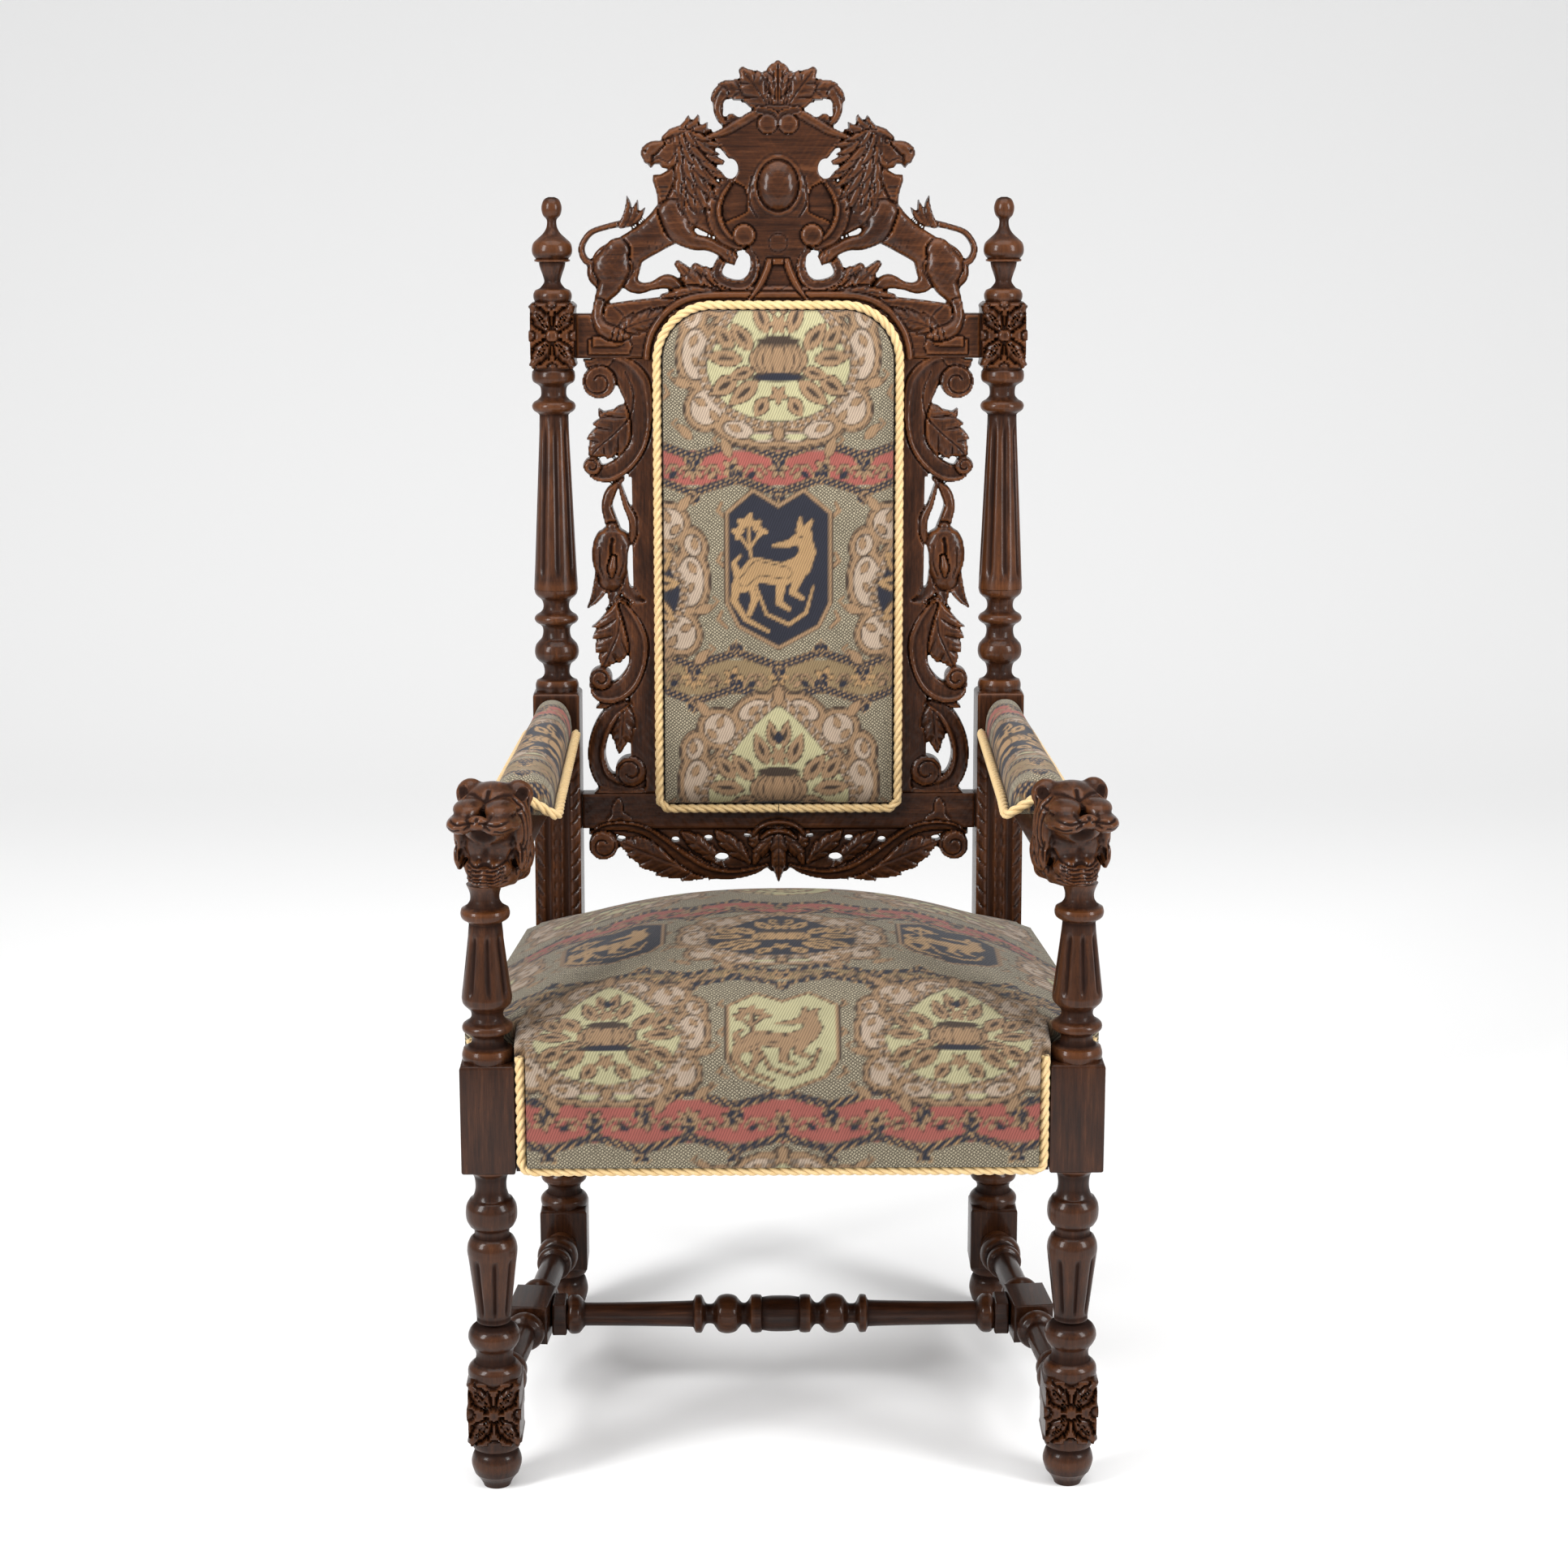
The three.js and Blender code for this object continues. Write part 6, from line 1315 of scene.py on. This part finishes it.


# %% [markdown]
# ## Padded pieces
# Each pad is laid out as a grid of points over its top, in rows, and its rim is carried down as a skirt.
# The crown comes from a rule for its height. The last small moves are added as an upholsterer sees
# them: a slight pull at the corners and shallow waves where the cloth is stretched over the stuffing.

# %% Build one pad from a grid
def sewn_pad(name, node, grid, keep, skirt, place, cover, paint):
    rows, columns = grid.shape[:2]
    cut = bmesh.new()
    corners = [[None] * columns for _ in range(rows)]
    for i in range(rows - 1):
        for j in range(columns - 1):
            if keep[i, j]:
                for a, b in ((i, j), (i + 1, j), (i, j + 1), (i + 1, j + 1)):
                    if corners[a][b] is None:
                        corners[a][b] = cut.verts.new(grid[a, b])
                cut.faces.new((corners[i][j], corners[i][j + 1], corners[i + 1][j + 1], corners[i + 1][j]))
    rim = [edge for edge in cut.edges if edge.is_boundary]
    for step in skirt:
        made = bmesh.ops.extrude_edge_only(cut, edges=rim)["geom"]
        for corner in (item for item in made if isinstance(item, bmesh.types.BMVert)):
            corner.co = Vector(step(corner.co))
        rim = [item for item in made if isinstance(item, bmesh.types.BMEdge) and item.is_boundary]
    bmesh.ops.holes_fill(cut, edges=rim, sides=0)
    bmesh.ops.recalc_face_normals(cut, faces=cut.faces)
    spots = np.array([corner.co[:] for corner in cut.verts])
    u, v = cover(spots)
    cloth = Tapestry(u, v)
    paint(cloth)
    bmesh.ops.transform(cut, matrix=place, verts=cut.verts)
    pad = finish_mesh(name, cut)
    pad.data.attributes.new("dye", "FLOAT_COLOR", "POINT").data.foreach_set(
        "color", np.column_stack([cloth.rgb, np.ones(len(u))]).astype(np.float32).ravel())
    pad.data.attributes.new("net", "FLOAT", "POINT").data.foreach_set("value", cloth.net.astype(np.float32))
    pad.data.attributes.new("cloth_place", "FLOAT_VECTOR", "POINT").data.foreach_set(
        "vector", np.column_stack([u, v, 0 * u]).astype(np.float32).ravel())
    dress(pad, cover_cloth)
    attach(pad, "root")
    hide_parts(node)
    pad.data.calc_loop_triangles()
    print(name, "has", len(pad.data.loop_triangles), "triangles")


# %% Seat cushion
BACK_EDGE, FRONT_EDGE, SKIRT_FOOT = 497.0, -34.5, 372.0
EDGE_HEIGHT, CROWN, FRONT_DROP = 500, 82, 134
# inner faces of the front posts and of the back posts, which the cover is cut round
FRONT_SIDE, FRONT_BACK, REAR_SIDE, REAR_FRONT = 280.15, 28.85, 231.65, 449.65


def seat_half(y):
    return FRONT_POST_X - (FRONT_POST_X - BACK_POST_X) * np.maximum(0, y) / BACK_LINE + 32


def seat_grid():
    def steps(a, b, size):
        return np.linspace(a, b, max(2, int(round((b - a) / size)) + 1))

    across = np.concatenate([steps(0, REAR_SIDE, 3.0), steps(REAR_SIDE, FRONT_SIDE, 3.0)[1:],
                             FRONT_SIDE + steps(0, 1, 0.08)[1:]])
    across = np.concatenate([-across[:0:-1], across])
    depth = np.concatenate([steps(FRONT_EDGE, FRONT_BACK, 2.3), steps(FRONT_BACK, 240, 3.0)[1:],
                            steps(240, REAR_FRONT, 4.5)[1:], steps(REAR_FRONT, BACK_EDGE, 4.5)[1:]])
    x, y = np.meshgrid(across, depth)
    half = seat_half(y)
    outer = np.abs(x) > FRONT_SIDE
    x = np.where(outer, np.sign(x) * (FRONT_SIDE + (np.abs(x) - FRONT_SIDE) * (half - FRONT_SIDE)), x)
    # the cover steps back where the upright ends of the cords lie
    front_bed, side_bed = -20.8, half - 13.6
    y = np.where((y < front_bed) & (np.abs(x) > 268.2), front_bed, y)
    beside_cord = ((y < 40.8) | (y > 437.8)) & (np.abs(x) > side_bed)
    x = np.where(beside_cord, np.sign(x) * side_bed, x)
    share, deep = np.clip(np.abs(x) / half, 0, 1), np.clip((y - FRONT_EDGE) / (BACK_EDGE - FRONT_EDGE), 0, 1)
    z = EDGE_HEIGHT + CROWN * (1 - share ** 2.4) * (1 - np.abs(2 * deep - 1) ** 2.6)
    for side in (-1, 1):
        away = np.hypot(x - side * 280, y - 28)
        z -= 3.5 * np.exp(-away / 34)
        z += 1.1 * np.exp(-away / 90) * np.sin(np.arctan2(y - 28, (x - side * 280) * side) * 13)
    z += 0.9 * np.sin(x / 47) * np.sin(y / 61 + 0.6)
    middle_x, middle_y = (x[:-1, :-1] + x[1:, 1:]) / 2, (y[:-1, :-1] + y[1:, 1:]) / 2
    keep = ~((np.abs(middle_x) > FRONT_SIDE) & (middle_y < FRONT_BACK))
    keep &= ~((np.abs(middle_x) > REAR_SIDE) & (middle_y > REAR_FRONT))
    thin = (np.abs(x[:-1, 1:] - x[:-1, :-1]) < 0.02) | (np.abs(y[1:, :-1] - y[:-1, :-1]) < 0.02)
    return np.dstack([x, y, z]), keep & ~thin


def seat_cover(spots):
    x, y, z = spots.T
    u, v = x.copy(), FRONT_DROP + np.hypot(y - FRONT_EDGE, z - EDGE_HEIGHT)
    low = z < EDGE_HEIGHT - 0.1
    front, back = low & (y < -20), low & (y > BACK_EDGE - 3)
    side = low & ~front & ~back
    v[front] = z[front] - (EDGE_HEIGHT - FRONT_DROP)
    v[back] = FRONT_DROP + (BACK_EDGE - FRONT_EDGE) + EDGE_HEIGHT - z[back]
    u[side] = x[side] + np.sign(x[side]) * (EDGE_HEIGHT - z[side])
    v[side] = FRONT_DROP + y[side] - FRONT_EDGE
    return u, v


def paint_seat(cloth):
    cloth.band(412, 22, ROSE, 0.85)
    cloth.band(58, 25, ROSE, 0.95, -1)
    cloth.band(243, 12, OLIVE, 0.75)
    cloth.band(650, 22, OLIVE, 0.85)
    for side in (-1, 1):
        cloth.shield(side * 184, 338, NAVY, 0.92, 0.58, 1)
        cloth.medallion(side * 184, 152, GREEN, 0.93, 0.80)
        cloth.medallion(side * 184, 530, GREEN, 0.93, 0.80)
        cloth.medallion(side * 368, 338, GREEN, 0.93, 0.66)
    cloth.medallion(0, 318, NAVY, 0.98, 0.60)
    cloth.shield(0, 151, GREEN, 0.96, 0.68)
    cloth.shield(0, 530, GREEN, 0.96, 0.70)
    cloth.medallion(0, -72, GREEN, 0.93, 0.80)
    cloth.rgb *= 0.78    # painted shade: the whole seat cover is darkened for the shade of the back and arms


def lower_to(height):
    return lambda spot: (spot.x, spot.y, height if height > 480 else min(spot.z, height))


def inward(spot):
    x = math.copysign(max(0, abs(spot.x) - 4.5), spot.x) if abs(spot.x) > 200 else spot.x
    y = spot.y + (4.5 if spot.y < 0 else -4.5 if spot.y > 480 else 0)
    return (x, y, spot.z)


grid, keep = seat_grid()
seat_skirt = [lower_to(height) for height in np.linspace(497.2, SKIRT_FOOT, 45)] + [
    inward, lambda spot: (spot.x, spot.y, 465.0)]
sewn_pad("seat_pad", "seat_cushion", grid, keep, seat_skirt, room, seat_cover, paint_seat)


# %% Back pad
LOW, HIGH, HALF, ROUND = 211.5, 786.5, 134.0, 58
BEND, FLAT = HIGH - ROUND, HALF - ROUND


def back_grid():
    curve = np.sin(np.linspace(0, 1, 26)[1:] * math.pi / 2)
    rows = np.concatenate([np.linspace(LOW, BEND, 230), BEND + ROUND * curve])
    share, y = np.meshgrid(np.linspace(-1, 1, 121), rows)
    half = np.where(y > BEND, FLAT + np.sqrt(np.maximum(0, ROUND ** 2 - (y - BEND) ** 2)), HALF)
    x = share * half
    corner_x, corner_y = np.maximum(0, np.abs(x) - FLAT), np.maximum(0, y - BEND)
    from_corner = np.where((corner_x > 0) & (corner_y > 0), ROUND - np.hypot(corner_x, corner_y), 1e3)
    inset = np.minimum(np.minimum(HALF - np.abs(x), np.minimum(y - LOW, HIGH - y)), from_corner)
    inset = np.clip(inset, 0, None)
    roll = np.sqrt(np.clip(1 - (1 - np.clip(inset / 26, 0, 1)) ** 2, 0, 1))
    crown = (1 - (np.abs(x) / HALF) ** 2.2) * (1 - np.abs((y - 499) / 288) ** 3)
    forward = 17.5 + 17.5 * roll + 7.5 * crown + 0.5 * np.sin(x / 21 + 1) * np.sin(y / 33)
    return np.dstack([x, -forward, y]), np.ones((len(rows) - 1, 120), bool)


def back_cover_place(spots):
    return spots[:, 0], spots[:, 2]


def paint_back(cloth):
    cloth.band(607, 20, ROSE)
    cloth.band(364, 20, OLIVE)
    for side in (-1, 1):
        cloth.medallion(side * REPEAT, 466, NAVY)
        cloth.shield(side * REPEAT, 750, NAVY)
    cloth.shield(0, 490, NAVY)
    cloth.medallion(0, 727, GREEN)
    cloth.medallion(0, 227, GREEN)


grid, keep = back_grid()
sewn_pad("back_panel_pad", "back_pad", grid, keep, [lambda spot: (spot.x, -15.45, spot.z)], leaning,
         back_cover_place, paint_back)


# %% Arm pads
def arm_grid(side):
    rows = np.concatenate([67.6 + 12 * np.linspace(0, 1, 8) ** 2, np.linspace(79.6, 458, 130)[1:]])
    share = np.linspace(-1, 1, 47)
    s, y = np.meshgrid(share, rows)
    inner, outer = 241.6, 306.4 - 20 * (y - 67.6) / 392
    ends = np.sqrt(np.clip(1 - (1 - np.clip((y - 67.6) / 30, 0, 1)) ** 2, 0, 1))
    squeeze = 0.80 + 0.20 * ends
    x = (inner + outer) / 2 + s * (outer - inner) / 2 * squeeze
    dome = np.sqrt(np.clip(1 - np.abs(s) ** 2.3, 0, 1))
    z = 738 + (32 * dome) * (0.42 + 0.58 * ends) + 0.7 * np.sin(y / 23) * dome
    return np.dstack([side * x, y, z]), np.ones((len(rows) - 1, 46), bool)


def arm_cover(spots):
    x, y, z = spots.T
    return (np.abs(x) - 274) + np.sign(np.abs(x) - 274) * np.maximum(0, 738 - z), y - 67


def paint_arm(cloth):
    cloth.band(62, 24, OLIVE)
    cloth.garland(7, tall=1.1)
    cloth.band(345, 22, ROSE)
    cloth.medallion(-25, 185, NAVY, 0.9, 0.9)
    cloth.shield(60, 250, NAVY, 0.8, 0.8)


for word, side in SIDES:
    grid, keep = arm_grid(side)
    sewn_pad("arm_rest_pad_" + word, "arm_pad_" + word, grid, keep,
             [lambda spot: (spot.x, spot.y, 733.0), lambda spot: (spot.x, spot.y, 728.4)], room, arm_cover,
             paint_arm)


# %% [markdown]
# ## Twisted cord
# The edges are finished with a gold cord of three plies, each twisted from shiny thread. A ply is a round
# tube that winds round the cord's path. Neighbouring plies touch, so the dark groove between them is real.
# The thread on each ply is drawn by the material from the place round the tube and along it.

# %% Material of the cord
def gold_cord():
    bench = Bench("gold_cord")
    place = bench.node("ShaderNodeAttribute", {"attribute_name": "thread_place"}, output=1)
    thread = bench.node("ShaderNodeTexWave", {"wave_type": "BANDS", "bands_direction": "X"},
                        {"Vector": bench.stretch(place, (1, 1, 1), (0, 0, 0.5)), "Scale": 0.62, "Distortion": 0.6,
                         "Detail": 1}, 1)
    patch = bench.noise(place, 0.05, 3, 0.6)
    base = bench.mix(patch, (*dye(206, 173, 114), 1), (*dye(233, 209, 160), 1))
    colour = bench.mix((1.0 - thread) * 0.42, base, (*dye(176, 128, 62), 1))
    bump = bench.node("ShaderNodeBump", None, {"Height": thread, "Strength": 0.4, "Distance": 0.0004})
    bench.shade(Base_Color=colour, Roughness=bench.clamp(thread, 0.0, 1.0, 0.5, 0.34), Normal=bump)
    bench.shader.inputs["Sheen Weight"].default_value = 0.2
    return bench.material


cord_gold = gold_cord()


# %% Cords along their paths
def even_path(points, size):
    points = np.array(points, float)
    lengths = np.concatenate([[0], np.cumsum(np.linalg.norm(np.diff(points, axis=0), axis=1))])
    marks = np.linspace(0, lengths[-1], int(lengths[-1] / size) + 1)
    return np.column_stack([np.interp(marks, lengths, points[:, k]) for k in range(3)])


def rounded(points, radius):
    points = np.array(points, float)
    out = [points[0]]
    for before, here, after in zip(points, points[1:], points[2:]):
        a, b = before - here, after - here
        cut = min(radius, 0.45 * np.linalg.norm(a), 0.45 * np.linalg.norm(b))
        start, end = here + a / np.linalg.norm(a) * cut, here + b / np.linalg.norm(b) * cut
        out += [(1 - t) ** 2 * start + 2 * t * (1 - t) * here + t * t * end for t in np.linspace(0, 1, 9)]
    return out + [points[-1]]


PITCH, PLY, THROW, PLY_SIDES = 34.0, 2.95, 2.6, 7


def twisted_cord(name, node, points, place):
    path = even_path(points, 3.4)
    heading = np.gradient(path, axis=0)
    heading /= np.linalg.norm(heading, axis=1)[:, None]
    up = np.array([0.0, 0.0, 1.0]) if abs(heading[0][2]) < 0.8 else np.array([0.0, 1.0, 0.0])
    over = []
    for way in heading:
        up = up - way * np.dot(up, way)
        up /= np.linalg.norm(up)
        over.append(up)
    over = np.array(over)
    across = np.cross(heading, over)
    travel = np.concatenate([[0], np.cumsum(np.linalg.norm(np.diff(path, axis=0), axis=1))])
    cut = bmesh.new()
    spots = []
    for k in range(3):
        angle = travel / PITCH * 2 * math.pi + k * 2 * math.pi / 3
        centre = path + THROW * (np.cos(angle)[:, None] * over + np.sin(angle)[:, None] * across)
        rings = []
        for i in range(len(path)):
            ring = []
            for s in range(PLY_SIDES):
                turn = s / PLY_SIDES * 2 * math.pi
                spot = centre[i] + PLY * (math.cos(turn) * over[i] + math.sin(turn) * across[i])
                ring.append(cut.verts.new(spot))
                spots.append((travel[i], (s / PLY_SIDES + travel[i] / 40) * 18.0, k))
            rings.append(ring)
        for first, second in zip(rings, rings[1:]):
            for s in range(PLY_SIDES):
                t = (s + 1) % PLY_SIDES
                cut.faces.new((first[s], first[t], second[t], second[s]))
        cut.faces.new(rings[0][::-1])
        cut.faces.new(rings[-1])
    bmesh.ops.recalc_face_normals(cut, faces=cut.faces)
    bmesh.ops.transform(cut, matrix=place, verts=cut.verts)
    cord = finish_mesh(name, cut)
    cord.data.attributes.new("thread_place", "FLOAT_VECTOR", "POINT").data.foreach_set(
        "vector", np.array(spots, np.float32).ravel())
    dress(cord, cord_gold)
    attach(cord, "root")
    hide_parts(node)


def frame_path():
    top, low, half, radius = 205.55 + 586.9, 205.55, 139.95, 63.95
    flat = [(-0.4, low), (-half + 9, low), (-half, low + 9)]
    for t in np.linspace(0, math.pi / 2, 18):
        flat.append((-half + radius * (1 - math.cos(t)), top - radius * (1 - math.sin(t))))
    path = flat + [(-x, y) for x, y in flat[::-1]]
    return [(x, -20.95, y) for x, y in path]


def hung_between(first, second):
    top, low = 492, 366.05
    return rounded([(*first, top), (*first, low), (*second, low), (*second, top)], 12)


twisted_cord("back_cord", "back_rope", frame_path(), leaning)
twisted_cord("seat_front_cord", "seat_rope_front", hung_between((-274.2, -26.45), (274.2, -26.45)), room)
for word, side in SIDES:
    twisted_cord("seat_cord_" + word, "seat_rope_" + word,
                 hung_between((side * 329.4, 34.8), (side * 287.5, 443.7)), room)
    arm_edge = rounded([(side * 235.6, 442, 733.6), (side * 235.6, 120, 733.6), (side * 235.6, 61.6, 727.6),
                        (side * 256, 60.6, 740.6), (side * 274, 60.6, 751.6), (side * 295, 60.6, 748.6),
                        (side * 312.4, 61.6, 733.6), (side * 292.4, 442, 733.6)], 14)
    twisted_cord("arm_cord_" + word, "arm_rope_" + word, arm_edge, room)

# %% [markdown]
# ## Hidden lining
# The back of the panel is closed with a plain dark cotton lining. Nobody meant it to be admired, so it is
# a simple weave in a greyish brown.

# %% Lining
def cotton_lining():
    bench = Bench("cotton_lining")
    place = bench.node("ShaderNodeTexCoord", output=3)
    weave = bench.node("ShaderNodeTexWave", {"wave_type": "BANDS", "bands_direction": "Z"},
                       {"Vector": place, "Scale": 180.0, "Distortion": 1.0, "Detail": 1}, 1)
    cross = bench.node("ShaderNodeTexWave", {"wave_type": "BANDS", "bands_direction": "X"},
                       {"Vector": place, "Scale": 180.0, "Distortion": 1.0, "Detail": 1}, 1)
    dust = bench.noise(place, 9, 4, 0.6)
    tone = bench.mix(dust, (*dye(58, 50, 42), 1), (*dye(84, 73, 60), 1))
    colour = bench.mix((weave + cross) * 0.16, tone, (*dye(36, 31, 26), 1))
    bump = bench.node("ShaderNodeBump", None, {"Height": weave + cross, "Strength": 0.3, "Distance": 0.0004})
    bench.shade(Base_Color=colour, Roughness=bench.clamp(dust, 0.3, 0.7, 0.85, 0.95), Normal=bump)
    return bench.material


dress(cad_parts["back_cover"], cotton_lining())

# %% [markdown]
# ## Arms with lion heads
# Each arm ends in a roaring lion's head over the front post. A carver roughs out the big masses first and
# cuts the lines last, and the same order is followed here. Overlapping balls stand for skull, ears, brows,
# muzzle, jaw and mane. A voxel skin joins them into one surface. Smoothing takes off the joints, hollows
# are pressed in for the open mouth and the ears, and grooves are cut for the mane, the brow and the beard.

# %% Rough masses and cutting tools
lion_masses = [(0, -8, 80, 35, 36, 30), (25, 2, 94, 16, 13, 17), (16, -46, 91, 17, 24, 9),
               (18, -68, 79, 17, 20, 10), (0, -80, 84, 11, 8, 8), (30, -52, 77, 8, 24, 7),
               (0, -34, 66, 25, 26, 14), (25, -42, 84, 7, 8, 7), (0, -20, 48, 27, 27, 30),
               (0, -36, 26, 25, 23, 14), (0, -50, 18, 20, 12, 10), (0, -10, 16, 28, 26, 18),
               (31, -10, 60, 9, 26, 34), (30, 6, 34, 10, 20, 22), (24, 16, 14, 10, 12, 13),
               (33, -22, 36, 6, 12, 18), (0, 24, 70, 26, 22, 24)]
mouth_hollows = [((0, -70, 56), 22), ((0, -60, 44), 15), ((13, -62, 42), 8), ((-13, -62, 42), 8),
                 ((33, -9, 99), 8), ((-33, -9, 99), 8)]


FRONT, FLANK = [0, 2], [1, 2]


def cut_groove(spots, normals, marks, line, width, depth, facing):
    points = spots[:, facing]
    best = np.full(len(spots), 1e3)
    run = np.array(spline(line, 24))
    for p, q in zip(run, run[1:]):
        t = np.clip(((points - p) @ (q - p)) / max(1e-6, (q - p) @ (q - p)), 0, 1)
        best = np.minimum(best, np.hypot(*(points - p - t[:, None] * (q - p)).T))
    toward = -normals[:, 1] * 1.6 if facing is FRONT else np.abs(normals[:, 0]) * 1.8 - 0.3
    toward = np.clip(toward, 0, 1)
    press = depth * np.exp(-(best / width) ** 2) * toward
    # Cut grooves are painted darker: wax and painted shade.
    marks -= press / max(depth, 1) * 0.9
    return spots - normals * press[:, None]


def skin_normals(mesh):
    normals = np.empty(3 * len(mesh.vertices))
    mesh.vertex_normals.foreach_get("vector", normals)
    return normals.reshape(-1, 3)


def relax(spots, edges, rounds, share=0.5):
    counts = np.bincount(edges.ravel(), minlength=len(spots))[:, None]
    for _ in range(rounds):
        total = np.column_stack([np.bincount(edges[:, 0], spots[edges[:, 1], k], len(spots))
                                 + np.bincount(edges[:, 1], spots[edges[:, 0], k], len(spots)) for k in range(3)])
        spots = spots * (1 - share) + total / counts * share
    return spots


# %% Carve one head
def carve_head():
    clay = bmesh.new()
    for x, y, z, wide, deep, tall in lion_masses:
        for side in ((1, -1) if x else (1,)):
            place = Matrix.Translation((side * x, y, z)) @ Matrix.Diagonal((wide, deep, tall, 1))
            bmesh.ops.create_icosphere(clay, subdivisions=4, radius=1.0, matrix=place)
    block = Matrix.Translation((0, 12, 26)) @ Matrix.Diagonal((46, 44, 50, 1))
    bmesh.ops.create_cube(clay, size=1.0, matrix=block)
    rough = finish_mesh("rough_head", clay)
    skin = rough.modifiers.new("skin", "REMESH")
    skin.mode = "VOXEL"
    skin.voxel_size = 2.2
    mesh = bpy.data.meshes.new_from_object(rough.evaluated_get(bpy.context.evaluated_depsgraph_get()))
    bpy.data.objects.remove(rough)
    spots = np.empty(3 * len(mesh.vertices))
    mesh.vertices.foreach_get("co", spots)
    spots = spots.reshape(-1, 3)
    edges = np.empty(2 * len(mesh.edges), np.int64)
    mesh.edges.foreach_get("vertices", edges)
    edges = edges.reshape(-1, 2)
    spots = relax(spots, edges, 3)
    for centre, radius in mouth_hollows:
        away = spots - np.array(centre)
        far = np.linalg.norm(away, axis=1)
        near = (far < radius) & (far > 1e-3)
        spots[near] = np.array(centre) + away[near] / far[near][:, None] * radius
    spots = relax(spots, edges, 2)
    marks = np.zeros(len(spots))

    def refresh():
        mesh.vertices.foreach_set("co", spots.ravel())
        mesh.update()
        return skin_normals(mesh)

    normals = refresh()
    face_lines = [([(0, 104), (0, 96), (0, 88)], 2.0, 3.4)]
    for side in (-1, 1):
        for points, width, depth in (([(33, 86), (20, 83), (4, 85)], 1.5, 2.8),
                                     ([(30, 98), (16, 101), (4, 97)], 1.5, 2.0),
                                     ([(12, 88), (8, 82), (13, 78)], 1.4, 2.2),
                                     ([(18, 77), (26, 75), (33, 77)], 1.1, 1.6)):
            face_lines.append(([(side * x, z) for x, z in points], width, depth))
        for row in range(7):
            z, reach = 34 - 4.3 * row, 20 - 0.4 * row
            face_lines.append(([(side * 2.0, z - 1.0), (side * reach / 2, z - 2.6), (side * reach, z + 0.8)],
                               1.1, 3.2))
    for line, width, depth in face_lines:
        spots = cut_groove(spots, normals, marks, line, width, depth, FRONT)
    normals = refresh()
    mane_lines = []
    for top, low in (((-30, 94), (-34, 30)), ((-22, 96), (-26, 24)), ((-14, 98), (-17, 16)), ((-6, 96), (-8, 12)),
                     ((2, 92), (1, 8)), ((10, 88), (11, 6)), ((18, 84), (20, 10))):
        middle = ((top[0] + low[0]) / 2 + 5, (top[1] + low[1]) / 2)
        mane_lines.append(([top, middle, low], 1.7, 3.2))
    for y, z in ((-28, 44), (-18, 34), (-8, 50), (2, 28), (12, 44)):
        mane_lines.append(([(y - 5, z + 7), (y, z), (y + 6, z + 6)], 1.3, 2.2))
    for line, width, depth in mane_lines:
        spots = cut_groove(spots, normals, marks, line, width, depth, FLANK)
    spots = relax(spots, edges, 1, 0.35)
    normals = refresh()
    # Convex parts are painted lighter and hollows darker: wear and wax, partly painted highlight and painted
    # shade.
    ridge = -np.einsum("ij,ij->i", relax(spots, edges, 3) - spots, normals)
    marks = np.clip(marks + ridge * 2.6, -1, 1)
    mesh.attributes.new("wear", "FLOAT", "POINT").data.foreach_set("value", marks.astype(np.float32))
    mesh.transform(Matrix.Translation((0, 0, -max(0.0, float(spots[:, 2].min())))))
    print("lion head points:", len(spots))
    return mesh


head = carve_head()

# %% Arms under the pads
POST_TOP = 672.4
for word, side in SIDES:
    cut = bmesh.new()
    cut.verts.layers.float.new("wear")
    turned = head.copy()
    turned.transform(Matrix.Translation((side * 297, 0, POST_TOP)) @ Matrix.Rotation(side * 0.14, 4, "Z"))
    cut.from_mesh(turned)
    bpy.data.meshes.remove(turned)
    for corner in cut.verts:
        corner.co.z = max(corner.co.z, POST_TOP + 0.2)
    rail = bmesh.ops.create_cube(cut, size=1.0)["verts"]
    long = [edge for edge in {edge for corner in rail for edge in corner.link_edges}
            if abs(edge.verts[0].co.y - edge.verts[1].co.y) > 0.5]
    for corner in rail:
        x = side * (293 if corner.co.y < 0 else 264) + corner.co.x * 43
        corner.co = (x, 8 if corner.co.y < 0 else 463, 727.4 if corner.co.z > 0 else 683.0)
    bmesh.ops.bevel(cut, geom=long, offset=6, offset_type="OFFSET", affect="EDGES", segments=4, profile=0.5,
                    material=-1)
    arm = wooden_at("carved_arm_" + word, cut, room, oak_deep)
    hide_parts("arm_" + word)
bpy.data.meshes.remove(head)
